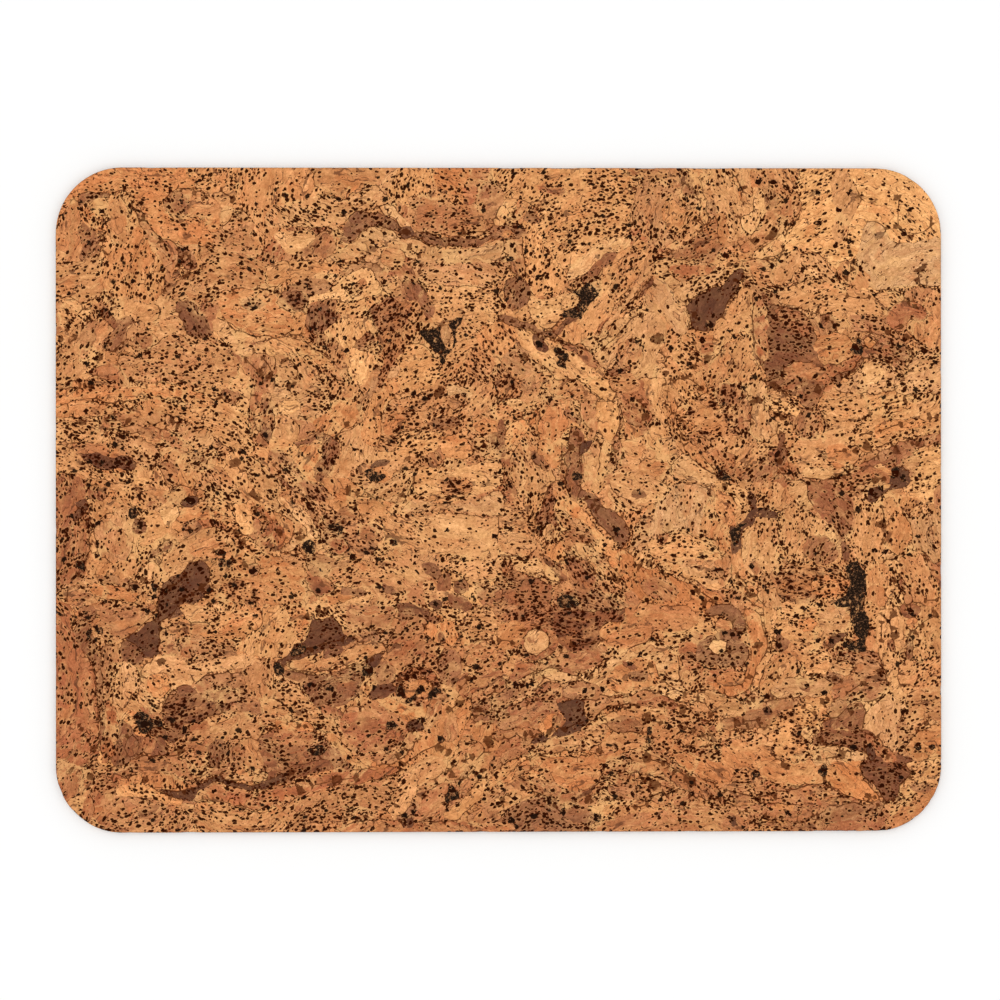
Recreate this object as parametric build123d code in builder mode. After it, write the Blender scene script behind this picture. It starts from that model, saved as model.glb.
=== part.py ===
"""Cork desk mat: a flexible laminated sheet that lies flat on a desk.

Five layers are bonded face to face and die-cut together to one rounded
rectangle.  From the desk upwards they are a non-slip cork-rubber backing,
an adhesive film, an agglomerated cork core, a second adhesive film, and the
decorative sheet of pressed and sliced bark that forms the working surface.

Frame: origin at the centre of the underside, +X along the long side,
+Y towards the far long side, +Z up out of the working surface.
All dimensions are in millimetres.
"""

from build123d import *
import os

# ---------------------------------------------------------------- outline
MAT_WIDTH = 400.0          # long side, along X
MAT_DEPTH = 300.0          # short side, along Y
CORNER_RADIUS = 30.0       # plan radius of each die-cut corner

# ---------------------------------------------------------------- layer stack
BACKING_THICKNESS = 0.6    # non-slip cork-rubber sheet on the desk side
FILM_THICKNESS = 0.1       # each adhesive film
CORE_THICKNESS = 2.4       # agglomerated cork granules
FACE_THICKNESS = 0.8       # sliced decorative bark sheet

# ---------------------------------------------------------------- edges
FILM_SETBACK = 0.25        # the films stop just inside the die-cut edge
CORE_SETBACK = 0.05        # the softer core springs back from the cut
FACE_EDGE_ROUND = 0.35     # sanded arris round the working surface
BACKING_EDGE_ROUND = 0.2   # softened arris round the underside

# level of each layer's underside, measured from the desk
Z_BACKING = 0.0
Z_LOWER_FILM = Z_BACKING + BACKING_THICKNESS
Z_CORE = Z_LOWER_FILM + FILM_THICKNESS
Z_UPPER_FILM = Z_CORE + CORE_THICKNESS
Z_FACE = Z_UPPER_FILM + FILM_THICKNESS


def make_layer(bottom, thickness, setback=0.0, bottom_round=0.0, top_round=0.0):
    """Return one layer, its outline set back evenly from the mat's edge.

    A non-zero bottom_round or top_round fillets the rim of that face.
    """
    with BuildPart() as layer:
        with BuildSketch(Plane.XY.offset(bottom)):
            RectangleRounded(
                MAT_WIDTH - 2 * setback,
                MAT_DEPTH - 2 * setback,
                CORNER_RADIUS - setback,
            )
        extrude(amount=thickness)
        if bottom_round:
            fillet(layer.faces().sort_by(Axis.Z)[0].edges(), radius=bottom_round)
        if top_round:
            fillet(layer.faces().sort_by(Axis.Z)[-1].edges(), radius=top_round)
    return layer.part


# the layers from the desk upwards
layers = {
    "backing_sheet": make_layer(
        Z_BACKING, BACKING_THICKNESS, bottom_round=BACKING_EDGE_ROUND
    ),
    "lower_adhesive_film": make_layer(Z_LOWER_FILM, FILM_THICKNESS, FILM_SETBACK),
    "core_sheet": make_layer(Z_CORE, CORE_THICKNESS, CORE_SETBACK),
    "upper_adhesive_film": make_layer(Z_UPPER_FILM, FILM_THICKNESS, FILM_SETBACK),
    "face_sheet": make_layer(Z_FACE, FACE_THICKNESS, top_round=FACE_EDGE_ROUND),
}

os.makedirs("parts", exist_ok=True)
for name, part in layers.items():
    part.label = name
    export_step(part, f"parts/{name}.step")
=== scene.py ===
"""Looks of the laminated cork desk mat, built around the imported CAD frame.

The face sheet is a slice of natural cork bark pressed from flakes. Its lay of flakes is drawn
below as outlines in millimetres (x right, y up, from the middle of the mat). Each outline has a
bark kind, how many pores it carries, how big they are, and the direction of its growth bands.
"""

import math
import random

import bpy
import numpy as np
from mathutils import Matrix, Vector, geometry, kdtree, noise


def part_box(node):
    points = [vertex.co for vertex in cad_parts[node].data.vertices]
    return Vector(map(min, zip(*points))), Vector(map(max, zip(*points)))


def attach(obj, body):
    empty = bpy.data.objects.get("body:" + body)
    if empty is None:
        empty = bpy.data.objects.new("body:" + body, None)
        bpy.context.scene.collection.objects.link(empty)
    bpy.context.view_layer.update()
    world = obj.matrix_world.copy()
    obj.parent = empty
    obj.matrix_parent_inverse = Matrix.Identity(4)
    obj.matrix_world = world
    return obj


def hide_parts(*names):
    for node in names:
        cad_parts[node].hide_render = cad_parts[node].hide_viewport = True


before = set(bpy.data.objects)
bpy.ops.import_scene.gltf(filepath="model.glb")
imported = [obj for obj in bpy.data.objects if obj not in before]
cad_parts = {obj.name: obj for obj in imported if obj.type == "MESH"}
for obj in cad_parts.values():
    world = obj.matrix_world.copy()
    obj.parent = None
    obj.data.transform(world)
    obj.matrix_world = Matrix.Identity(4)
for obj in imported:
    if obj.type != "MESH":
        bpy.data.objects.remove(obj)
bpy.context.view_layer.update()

MM = 0.001
LO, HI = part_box("face_sheet")
W, H = (HI.x - LO.x) / MM, (HI.y - LO.y) / MM
TOP, UNDER = HI.z / MM, LO.z / MM
R = 30.0
rng = random.Random(41)

# kind, pore density 0-9, pore size 1-3, growth direction in degrees, outline
FLAKES = [
    ("O", 2, 1, -8, [(-199.4, 124.6), (-197.6, 130.4), (-194.0, 137.2), (-189.5, 142.2), (-184.0, 146.7), (-178.2, 149.9), (-169.1, 151.2), (-153.3, 151.2), (-133.4, 151.2), (-135.3, 146.7), (-138.0, 143.1), (-137.1, 140.4), (-142.5, 140.4), (-146.5, 139.9), (-149.7, 137.2), (-153.3, 133.6), (-152.0, 130.4), (-147.9, 128.2), (-143.4, 127.3), (-137.1, 126.8), (-130.7, 127.3), (-126.2, 128.6), (-124.9, 124.1), (-127.1, 121.4), (-132.5, 120.9), (-128.9, 117.8), (-129.4, 114.6), (-137.1, 115.1), (-142.5, 115.1), (-146.1, 116.0), (-149.7, 117.3), (-153.3, 118.7), (-156.0, 121.4), (-158.7, 125.0), (-161.0, 128.6), (-161.9, 132.2), (-163.7, 135.0), (-166.9, 137.7), (-170.5, 139.9), (-175.0, 138.6), (-180.4, 139.0), (-185.8, 139.0), (-189.5, 137.7), (-193.1, 134.1), (-195.8, 130.4), (-197.6, 125.9)]),
    ("l", 4, 1, 0, [(-135.3, 151.2), (-107.3, 151.2), (-107.3, 146.7), (-112.7, 144.0), (-117.2, 143.6), (-122.6, 143.1), (-129.4, 143.1), (-135.3, 145.8)]),
    ("T", 4, 2, 80, [(-115.4, 151.2), (-82.9, 151.2), (-82.9, 144.9), (-81.1, 139.5), (-84.7, 134.1), (-88.3, 129.5), (-90.1, 123.2), (-98.2, 122.3), (-102.7, 117.8), (-107.3, 113.3), (-111.8, 115.1), (-112.7, 119.6), (-110.0, 124.1), (-114.5, 127.7), (-116.3, 130.4), (-115.8, 134.1), (-118.1, 138.1), (-117.2, 144.0)]),
    ("T", 3, 1, 10, [(-150.6, 135.9), (-147.9, 138.6), (-144.3, 140.4), (-139.8, 139.9), (-135.3, 139.0), (-131.6, 137.7), (-128.0, 135.4), (-126.2, 132.7), (-126.7, 129.5), (-129.8, 127.7), (-133.4, 127.7), (-137.1, 128.6), (-140.7, 127.3), (-145.2, 127.7), (-149.3, 129.5), (-152.0, 131.8)]),
    ("G", 5, 1, -60, [(-150.6, 135.4), (-148.4, 138.1), (-145.6, 139.5), (-142.5, 138.6), (-140.2, 136.3), (-139.8, 133.2), (-140.7, 130.0), (-143.4, 128.2), (-147.0, 128.6), (-149.7, 130.4), (-151.5, 132.7)]),
    ("l", 2, 1, 20, [(-137.1, 142.2), (-132.5, 144.5), (-129.4, 143.1), (-125.8, 142.2), (-123.1, 142.6), (-121.3, 140.4), (-119.0, 138.1), (-117.2, 134.5), (-115.8, 132.7), (-117.2, 129.5), (-119.9, 127.7), (-123.5, 125.0), (-125.3, 123.2), (-125.8, 126.8), (-125.3, 130.4), (-126.2, 133.6), (-128.9, 136.3), (-132.5, 138.6), (-136.6, 140.4)]),
    ("L", 0, 1, 50, [(-124.9, 131.3), (-122.6, 132.7), (-119.9, 131.8), (-119.0, 130.0), (-121.3, 126.8), (-123.5, 124.6), (-125.3, 124.1), (-125.3, 128.2)]),
    ("T", 3, 1, 0, [(-125.3, 123.2), (-120.8, 126.8), (-116.3, 129.5), (-111.8, 127.7), (-110.0, 124.1), (-111.8, 119.6), (-110.9, 115.1), (-107.3, 112.3), (-110.0, 109.6), (-115.4, 110.5), (-121.7, 111.4), (-128.0, 112.3), (-129.4, 115.1), (-128.0, 117.8), (-131.6, 120.5), (-127.1, 121.4)]),
    ("O", 1, 1, 85, [(-200.3, 107.8), (-200.3, 119.6), (-198.5, 125.9), (-195.8, 130.4), (-191.3, 134.1), (-188.5, 135.9), (-189.5, 129.1), (-189.5, 122.3), (-188.5, 116.9), (-187.6, 110.5), (-189.5, 107.4), (-194.9, 107.8)]),
    ("B", 5, 2, 5, [(-189.5, 137.7), (-185.8, 139.0), (-180.4, 139.0), (-175.0, 138.6), (-176.4, 136.3), (-181.3, 136.3), (-184.9, 135.0), (-187.6, 133.2), (-188.5, 129.5), (-189.9, 133.2)]),
    ("l", 1, 1, 0, [(-184.0, 134.5), (-180.4, 136.3), (-176.8, 135.9), (-175.9, 132.2), (-176.4, 128.6), (-179.5, 127.7), (-183.6, 130.4), (-184.9, 132.7)]),
    ("T", 6, 2, 75, [(-176.8, 136.3), (-170.5, 139.9), (-163.7, 134.5), (-161.0, 128.6), (-157.8, 123.2), (-156.9, 119.6), (-153.3, 116.9), (-149.7, 115.1), (-147.9, 112.3), (-148.4, 107.8), (-150.6, 101.5), (-151.5, 95.2), (-153.3, 92.0), (-157.8, 87.9), (-162.4, 89.7), (-167.8, 91.5), (-173.2, 90.6), (-178.6, 92.5), (-180.0, 99.7), (-180.4, 107.8), (-178.6, 116.0), (-179.1, 125.0), (-177.7, 131.3)]),
    ("T", 2, 1, -70, [(-175.9, 132.2), (-172.3, 135.9), (-168.7, 134.1), (-166.9, 129.5), (-167.8, 124.1), (-166.0, 119.6), (-169.6, 116.0), (-174.1, 116.0), (-176.8, 121.4), (-176.8, 127.7)]),
    ("t", 1, 1, -55, [(-161.9, 133.2), (-161.0, 128.6), (-158.7, 125.0), (-156.0, 121.4), (-153.3, 118.7), (-149.7, 117.3), (-145.2, 115.1), (-144.3, 112.3), (-145.2, 107.8), (-147.0, 103.3), (-148.8, 97.9), (-151.5, 93.8), (-153.3, 92.0), (-152.4, 96.1), (-150.6, 101.5), (-150.2, 105.1), (-152.0, 107.8), (-154.2, 110.5), (-156.9, 114.2), (-158.7, 117.8), (-161.0, 121.4), (-162.8, 125.9), (-163.7, 130.4)]),
    ("T", 5, 2, 20, [(-199.8, 107.8), (-194.0, 107.8), (-187.6, 107.8), (-182.2, 110.5), (-179.5, 107.8), (-180.4, 99.7), (-178.6, 93.4), (-182.2, 90.6), (-187.6, 88.8), (-193.1, 90.6), (-199.8, 93.4)]),
    ("G", 9, 2, 60, [(-189.5, 109.2), (-187.2, 114.6), (-184.0, 117.8), (-180.0, 119.6), (-180.9, 115.1), (-184.0, 111.4), (-186.7, 108.3)]),
    ("G", 9, 2, 40, [(-144.7, 115.1), (-140.7, 114.2), (-137.1, 110.1), (-136.2, 105.1), (-139.8, 103.3), (-142.9, 106.0), (-144.3, 110.5)]),
    ("T", 5, 1, 0, [(-148.8, 90.6), (-146.1, 95.2), (-143.4, 101.5), (-142.5, 105.1), (-138.9, 102.4), (-134.4, 106.0), (-135.3, 113.3), (-128.9, 113.3), (-119.0, 110.5), (-109.1, 108.7), (-103.6, 104.2), (-103.6, 96.1), (-110.0, 94.3), (-117.2, 94.7), (-124.4, 94.3), (-128.0, 91.5), (-132.5, 89.7), (-136.2, 87.9), (-140.7, 90.6)]),
    ("B", 4, 3, -55, [(-146.1, 88.4), (-143.4, 89.7), (-139.8, 89.7), (-136.6, 87.9), (-135.7, 84.3), (-132.5, 82.5), (-130.7, 78.0), (-129.4, 73.9), (-132.5, 73.0), (-137.1, 73.5), (-140.7, 75.3), (-142.5, 78.9), (-144.3, 82.5), (-145.6, 85.2)]),
    ("B", 6, 2, 50, [(-178.6, 68.0), (-177.7, 72.6), (-175.0, 76.2), (-173.2, 78.9), (-171.4, 81.6), (-166.9, 82.5), (-164.2, 80.7), (-167.8, 77.1), (-168.7, 73.5), (-167.8, 69.8), (-169.6, 67.1), (-172.3, 66.7), (-175.9, 67.1)]),
    ("R", 1, 1, 10, [(-184.0, 57.2), (-181.3, 59.9), (-177.7, 60.8), (-174.1, 60.8), (-172.3, 58.1), (-172.7, 54.5), (-175.9, 53.6), (-180.4, 55.4)]),
    ("l", 2, 1, 48, [(-200.3, 67.1), (-195.8, 71.7), (-191.3, 77.1), (-187.6, 81.6), (-184.0, 84.3), (-179.5, 86.6), (-177.7, 84.3), (-181.3, 82.1), (-185.8, 78.0), (-189.5, 72.6), (-194.0, 68.0), (-200.3, 62.6)]),
    ("T", 2, 1, 48, [(-194.0, 67.1), (-189.5, 72.1), (-185.8, 77.1), (-181.3, 81.6), (-176.8, 83.0), (-174.5, 80.7), (-175.5, 76.2), (-177.7, 71.7), (-180.0, 67.1), (-184.0, 64.4), (-189.5, 63.1), (-195.8, 62.6)]),
    ("G", 2, 1, 70, [(-188.5, 69.8), (-189.5, 74.4), (-187.2, 78.0), (-184.0, 80.7), (-180.4, 80.7), (-181.3, 76.2), (-182.7, 71.7), (-185.4, 68.0)]),
    ("T", 3, 1, 30, [(-178.6, 90.6), (-173.2, 90.6), (-166.9, 90.6), (-160.5, 88.8), (-155.1, 88.8), (-153.3, 86.1), (-154.2, 81.6), (-157.8, 76.2), (-160.5, 79.8), (-166.0, 84.3), (-172.3, 86.1), (-177.7, 87.0)]),
    ("T", 3, 1, 60, [(-164.2, 80.7), (-160.5, 79.8), (-156.9, 75.3), (-154.2, 71.7), (-157.8, 68.0), (-162.4, 67.1), (-166.9, 69.8), (-168.2, 74.4), (-166.9, 78.0)]),
    ("t", 2, 1, -5, [(-164.2, 74.4), (-159.6, 77.1), (-156.9, 73.5), (-156.9, 69.8), (-160.5, 68.0), (-163.7, 70.3)]),
    ("T", 6, 1, 0, [(-170.5, 66.2), (-162.4, 66.2), (-154.2, 70.7), (-150.6, 74.4), (-143.4, 74.4), (-139.8, 71.7), (-130.7, 71.7), (-125.3, 68.0), (-120.8, 65.3), (-117.2, 60.8), (-119.0, 55.4), (-125.3, 52.7), (-135.3, 51.8), (-148.8, 51.8), (-162.4, 52.7), (-169.6, 56.3), (-171.4, 61.7)]),
    ("O", 2, 1, 2, [(-128.0, 91.5), (-124.4, 94.3), (-117.2, 95.2), (-107.3, 95.2), (-99.1, 92.5), (-93.7, 86.1), (-93.7, 77.1), (-99.1, 73.5), (-107.3, 73.9), (-114.5, 76.2), (-119.9, 78.4), (-123.5, 81.6), (-125.3, 84.3)]),
    ("G", 7, 2, 0, [(-117.2, 89.7), (-112.7, 91.5), (-107.3, 90.6), (-106.3, 87.5), (-110.9, 86.1), (-115.4, 87.0)]),
    ("L", 1, 1, -8, [(-119.9, 77.1), (-114.5, 75.7), (-109.1, 73.9), (-102.7, 73.5), (-104.5, 71.7), (-110.9, 71.2), (-115.4, 71.7), (-119.0, 73.0), (-121.3, 75.3)]),
    ("l", 3, 1, -10, [(-125.3, 81.6), (-120.8, 77.1), (-118.1, 71.7), (-111.8, 70.7), (-102.7, 70.7), (-91.9, 71.7), (-85.6, 68.0), (-87.4, 65.3), (-95.5, 66.2), (-103.6, 66.2), (-111.8, 65.3), (-115.4, 64.4), (-119.9, 67.1), (-124.4, 71.7), (-128.9, 77.1), (-129.8, 80.7)]),
    ("t", 2, 1, 75, [(-116.3, 64.4), (-112.7, 65.3), (-107.3, 66.2), (-102.7, 65.3), (-100.0, 60.8), (-100.9, 55.4), (-101.8, 49.0), (-109.1, 49.0), (-111.8, 54.5), (-114.5, 59.0)]),
    ("B", 7, 2, 45, [(-178.6, 87.0), (-175.9, 85.2), (-173.2, 82.5), (-171.4, 78.9), (-174.1, 77.1), (-176.8, 80.7), (-179.5, 83.4)]),
    ("T", 5, 2, 60, [(-199.8, 60.8), (-197.6, 64.4), (-194.0, 62.6), (-189.5, 62.6), (-185.8, 59.9), (-189.5, 55.4), (-194.0, 52.7), (-199.8, 52.7)]),
    ("T", 0, 1, 0, [(-82.9, 151.2), (-54.9, 151.2), (-51.2, 145.8), (-55.8, 142.2), (-62.1, 142.2), (-67.5, 140.4), (-69.3, 135.9), (-72.9, 137.7), (-76.5, 136.8), (-81.1, 140.4), (-83.8, 144.9)]),
    ("l", 5, 1, 0, [(-90.1, 135.0), (-81.1, 137.7), (-69.3, 135.9), (-64.8, 140.4), (-55.8, 142.2), (-51.2, 137.7), (-46.7, 135.0), (-46.7, 131.3), (-42.2, 126.8), (-40.4, 123.2), (-44.0, 122.3), (-46.7, 125.9), (-51.2, 128.6), (-57.6, 130.0), (-64.8, 129.5), (-67.5, 127.7), (-71.1, 125.0), (-73.8, 121.4), (-77.4, 123.2), (-82.9, 123.2), (-90.1, 123.2), (-99.1, 123.2), (-104.5, 124.1), (-104.5, 130.4), (-97.3, 133.2)]),
    ("L", 1, 1, -50, [(-52.2, 133.6), (-48.5, 133.2), (-45.8, 130.4), (-43.1, 127.3), (-41.3, 123.2), (-44.0, 122.3), (-46.7, 125.9), (-50.3, 128.2), (-53.1, 130.4)]),
    ("G", 1, 1, 35, [(-91.4, 111.9), (-87.4, 115.1), (-83.8, 117.8), (-80.2, 120.5), (-76.5, 121.8), (-74.3, 121.4), (-73.4, 117.8), (-72.9, 114.2), (-74.7, 111.4), (-78.3, 109.2), (-82.0, 110.5), (-85.6, 110.5), (-89.2, 110.1)]),
    ("B", 2, 1, 25, [(-72.0, 116.9), (-70.7, 120.5), (-69.8, 124.1), (-67.5, 127.7), (-64.8, 129.5), (-59.4, 130.0), (-54.0, 129.1), (-49.4, 127.3), (-45.8, 124.6), (-43.1, 121.8), (-44.9, 120.5), (-47.6, 121.8), (-51.2, 123.2), (-55.8, 123.7), (-59.4, 122.8), (-62.1, 120.9), (-63.9, 118.7), (-66.6, 116.9), (-68.4, 114.6), (-70.2, 117.3)]),
    ("D", 0, 1, 0, [(-45.4, 121.4), (-42.7, 124.1), (-39.5, 122.8), (-38.2, 120.0), (-40.9, 117.8), (-44.0, 118.7)]),
    ("t", 5, 1, 0, [(-41.3, 135.9), (-35.9, 137.7), (-30.5, 135.9), (-25.1, 135.9), (-19.6, 134.1), (-15.1, 133.2), (-9.7, 135.9), (-8.8, 140.4), (-5.2, 143.1), (1.1, 140.4), (1.1, 129.1), (-2.5, 124.1), (-4.3, 119.6), (-9.7, 117.8), (-16.9, 118.7), (-23.2, 119.6), (-29.6, 120.0), (-35.9, 121.4), (-39.5, 124.1), (-38.6, 129.5)]),
    ("G", 4, 2, 30, [(-10.6, 134.1), (-8.8, 139.5), (-5.2, 143.1), (1.1, 140.4), (1.6, 134.1), (-0.7, 129.5), (-2.5, 124.1), (-6.1, 125.9), (-7.9, 130.4)]),
    ("B", 1, 1, -3, [(-39.5, 120.5), (-35.0, 120.9), (-30.5, 120.0), (-26.9, 118.7), (-21.4, 119.1), (-16.9, 118.7), (-12.4, 117.8), (-7.0, 117.8), (-3.4, 119.6), (-5.2, 116.4), (-9.7, 115.1), (-15.1, 114.2), (-21.4, 114.6), (-26.9, 114.6), (-31.4, 115.5), (-35.0, 117.8), (-38.6, 118.7)]),
    ("L", 1, 1, 0, [(-62.1, 120.5), (-58.5, 122.8), (-54.0, 123.7), (-49.4, 122.3), (-46.7, 119.6), (-44.9, 116.9), (-39.5, 117.8), (-35.0, 116.9), (-30.5, 114.2), (-22.3, 113.3), (-13.3, 113.7), (-5.2, 115.5), (2.0, 116.9), (2.9, 107.8), (-4.3, 107.4), (-13.3, 107.8), (-22.3, 107.4), (-31.4, 107.8), (-38.2, 108.7), (-44.9, 109.6), (-52.2, 109.6), (-59.4, 110.5), (-66.6, 109.6), (-72.9, 107.8), (-78.3, 107.8), (-74.7, 110.5), (-70.2, 113.7), (-66.6, 115.1)]),
    ("T", 3, 1, 0, [(-52.2, 113.3), (-44.9, 113.3), (-43.1, 107.8), (-45.8, 104.2), (-51.2, 106.0), (-54.0, 109.6)]),
    ("L", 0, 1, 5, [(-101.8, 119.6), (-98.2, 121.4), (-92.8, 121.4), (-88.3, 121.8), (-83.8, 120.5), (-82.9, 117.8), (-86.5, 115.1), (-90.1, 112.3), (-93.7, 110.5), (-97.3, 112.3), (-100.0, 116.0)]),
    ("l", 3, 1, 5, [(-104.5, 105.1), (-94.6, 107.8), (-85.6, 107.8), (-76.5, 106.9), (-69.8, 106.9), (-66.6, 105.1), (-70.2, 102.4), (-76.5, 101.5), (-82.0, 101.5), (-90.1, 101.5), (-96.4, 98.8), (-104.5, 96.1)]),
    ("G", 1, 1, 20, [(-72.0, 102.9), (-66.6, 106.0), (-62.1, 107.4), (-56.7, 106.9), (-52.2, 104.2), (-54.9, 102.9), (-60.3, 105.1), (-64.8, 104.2), (-69.3, 101.0)]),
    ("L", 2, 1, 25, [(-75.6, 96.1), (-72.0, 98.8), (-67.5, 101.9), (-63.0, 104.2), (-59.4, 105.1), (-56.7, 102.4), (-54.0, 97.9), (-53.1, 94.3), (-57.6, 92.0), (-63.0, 90.2), (-67.5, 88.8), (-72.0, 89.7), (-76.5, 90.6), (-82.0, 89.7), (-86.5, 87.9), (-87.4, 89.7), (-82.9, 92.5), (-78.3, 93.4)]),
    ("t", 5, 2, 30, [(-69.3, 94.3), (-65.7, 97.4), (-61.2, 99.7), (-59.4, 97.0), (-63.0, 94.3), (-67.5, 92.5)]),
    ("G", 7, 3, 10, [(-100.0, 89.7), (-96.4, 95.2), (-91.9, 97.9), (-85.6, 100.1), (-78.3, 99.2), (-74.7, 96.1), (-76.5, 93.4), (-82.0, 91.5), (-86.5, 88.8), (-83.8, 87.5), (-87.4, 84.8), (-91.9, 84.8), (-96.4, 86.1)]),
    ("B", 9, 3, 0, [(-96.4, 92.5), (-91.9, 94.3), (-87.4, 92.5), (-86.5, 88.8), (-89.2, 85.7), (-93.7, 85.7), (-96.0, 88.8)]),
    ("B", 8, 3, 70, [(-87.4, 83.4), (-83.8, 87.9), (-79.3, 88.8), (-76.5, 86.1), (-73.8, 83.4), (-74.7, 79.8), (-78.3, 77.1), (-81.1, 74.4), (-84.7, 75.3), (-87.4, 78.9)]),
    ("L", 1, 3, 80, [(-72.9, 80.7), (-68.4, 81.6), (-63.0, 81.6), (-58.5, 81.6), (-56.7, 78.9), (-57.6, 74.4), (-56.7, 68.0), (-54.9, 63.5), (-57.6, 58.1), (-59.4, 53.6), (-64.8, 50.8), (-67.5, 56.3), (-69.3, 62.6), (-70.2, 68.0), (-73.8, 72.6), (-78.3, 74.4), (-80.2, 77.1), (-76.5, 79.8)]),
    ("G", 9, 1, 30, [(-65.3, 70.3), (-62.5, 73.5), (-58.5, 75.7), (-56.2, 73.9), (-57.1, 69.8), (-60.7, 67.6), (-63.9, 68.0)]),
    ("t", 8, 3, 40, [(-58.5, 85.2), (-54.0, 89.7), (-48.5, 92.0), (-43.1, 90.6), (-39.5, 87.9), (-40.4, 82.5), (-43.1, 78.9), (-46.7, 76.2), (-51.2, 75.3), (-54.9, 76.6), (-57.1, 80.7)]),
    ("O", 7, 3, 70, [(-54.0, 75.3), (-46.7, 75.3), (-43.1, 71.7), (-43.1, 67.1), (-46.7, 63.5), (-51.2, 64.4), (-54.4, 68.9)]),
    ("t", 5, 2, 10, [(-52.2, 99.7), (-46.7, 101.0), (-44.0, 97.9), (-42.2, 92.5), (-44.9, 89.7), (-49.4, 92.0), (-52.6, 95.2)]),
    ("l", 0, 1, 0, [(-50.3, 96.5), (-47.6, 98.3), (-44.9, 96.5), (-45.8, 94.3), (-49.0, 94.3)]),
    ("B", 4, 2, -60, [(-44.9, 97.9), (-40.4, 98.8), (-35.9, 97.9), (-34.1, 94.3), (-31.4, 90.6), (-29.6, 87.0), (-30.5, 82.5), (-33.2, 82.1), (-35.0, 86.6), (-37.7, 89.7), (-41.3, 90.6), (-44.0, 93.8)]),
    ("K", 0, 1, -50, [(-35.9, 76.2), (-31.4, 77.1), (-26.9, 78.9), (-26.4, 75.3), (-25.1, 70.7), (-22.3, 68.0), (-20.5, 71.7), (-21.4, 76.2), (-22.8, 78.9), (-20.1, 81.6), (-16.5, 82.5), (-17.4, 79.8), (-19.2, 76.2), (-19.6, 71.7), (-21.4, 67.1), (-23.7, 63.5), (-25.1, 60.3), (-26.9, 62.2), (-26.0, 66.2), (-29.6, 66.7), (-31.4, 70.3), (-34.1, 72.6)]),
    ("l", 0, 1, 80, [(-26.4, 78.0), (-24.2, 78.9), (-22.3, 76.2), (-22.3, 72.6), (-23.7, 69.8), (-25.5, 71.7), (-26.4, 74.8)]),
    ("l", 1, 1, -25, [(-104.5, 71.7), (-94.6, 73.5), (-88.3, 71.7), (-82.9, 68.0), (-76.5, 62.6), (-73.4, 57.2), (-78.3, 59.9), (-84.7, 63.5), (-91.0, 66.2), (-98.2, 66.2), (-104.5, 65.3)]),
    ("T", 6, 1, -50, [(-104.5, 64.4), (-97.3, 65.8), (-90.1, 64.9), (-82.9, 61.7), (-77.4, 56.3), (-73.8, 49.0), (-104.5, 49.0)]),
    ("T", 4, 1, -5, [(-39.5, 107.8), (-31.4, 107.8), (-22.3, 106.9), (-13.3, 107.4), (-4.3, 106.9), (2.9, 106.9), (2.0, 101.5), (-1.6, 97.9), (-7.0, 96.1), (-15.1, 97.0), (-23.2, 97.0), (-30.5, 97.9), (-35.9, 98.8), (-38.6, 102.4)]),
    ("l", 6, 1, 0, [(-34.1, 97.0), (-26.9, 97.9), (-17.8, 97.0), (-8.8, 96.1), (-2.5, 97.0), (0.2, 90.6), (-0.7, 83.4), (-5.2, 78.9), (-13.3, 79.8), (-17.8, 82.5), (-22.3, 81.6), (-26.9, 78.9), (-30.5, 82.5), (-28.7, 87.9), (-31.4, 91.5)]),
    ("l", 5, 1, 20, [(-44.9, 68.0), (-39.5, 70.7), (-34.1, 69.8), (-30.5, 65.3), (-26.9, 60.8), (-28.7, 54.5), (-34.1, 49.0), (-44.0, 49.0), (-45.8, 56.3), (-46.7, 62.6)]),
    ("R", 8, 2, 60, [(-58.5, 49.0), (-54.9, 56.3), (-52.2, 61.7), (-49.4, 65.3), (-47.2, 68.0), (-46.3, 64.4), (-49.0, 59.9), (-50.8, 55.4), (-53.1, 49.0)]),
    ("l", 0, 1, 20, [(-51.2, 57.2), (-48.1, 60.8), (-44.5, 59.9), (-45.4, 56.3), (-49.0, 54.9)]),
    ("l", 6, 1, 20, [(0.2, 151.2), (63.5, 151.2), (62.6, 144.9), (60.8, 137.7), (59.0, 130.4), (59.9, 123.2), (54.4, 119.6), (48.1, 117.8), (42.7, 114.2), (36.4, 108.7), (30.0, 104.2), (21.9, 103.3), (16.5, 107.8), (12.0, 112.3), (10.2, 117.8), (12.9, 122.3), (18.3, 125.0), (18.3, 130.4), (13.8, 134.1), (7.5, 135.9), (2.0, 137.7)]),
    ("l", 6, 2, 70, [(9.3, 124.1), (14.7, 125.0), (18.3, 119.6), (21.0, 113.3), (25.5, 107.8), (30.0, 102.4), (29.1, 95.2), (23.7, 92.5), (16.5, 92.5), (12.9, 97.0), (11.1, 103.3), (10.2, 110.5), (10.2, 117.8)]),
    ("R", 3, 1, -8, [(16.9, 141.7), (21.9, 142.6), (27.3, 141.3), (29.6, 139.0), (23.7, 138.1), (18.8, 139.5)]),
    ("L", 1, 1, 70, [(-2.5, 125.9), (-0.7, 130.4), (1.6, 133.2), (3.9, 131.3), (3.9, 126.8), (1.1, 124.1), (-2.0, 123.7)]),
    ("B", 2, 1, 0, [(11.1, 126.4), (12.9, 130.0), (15.6, 132.2), (17.4, 128.6), (18.8, 125.0), (14.2, 124.6)]),
    ("G", 8, 2, 0, [(-4.7, 122.3), (0.2, 124.1), (5.7, 125.0), (11.1, 122.3), (12.9, 119.6), (9.3, 118.2), (4.8, 117.3), (1.1, 118.2), (-2.9, 118.2)]),
    ("O", 0, 1, 0, [(2.0, 121.4), (4.8, 121.8), (6.1, 120.0), (4.3, 118.2), (2.0, 119.1)]),
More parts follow.
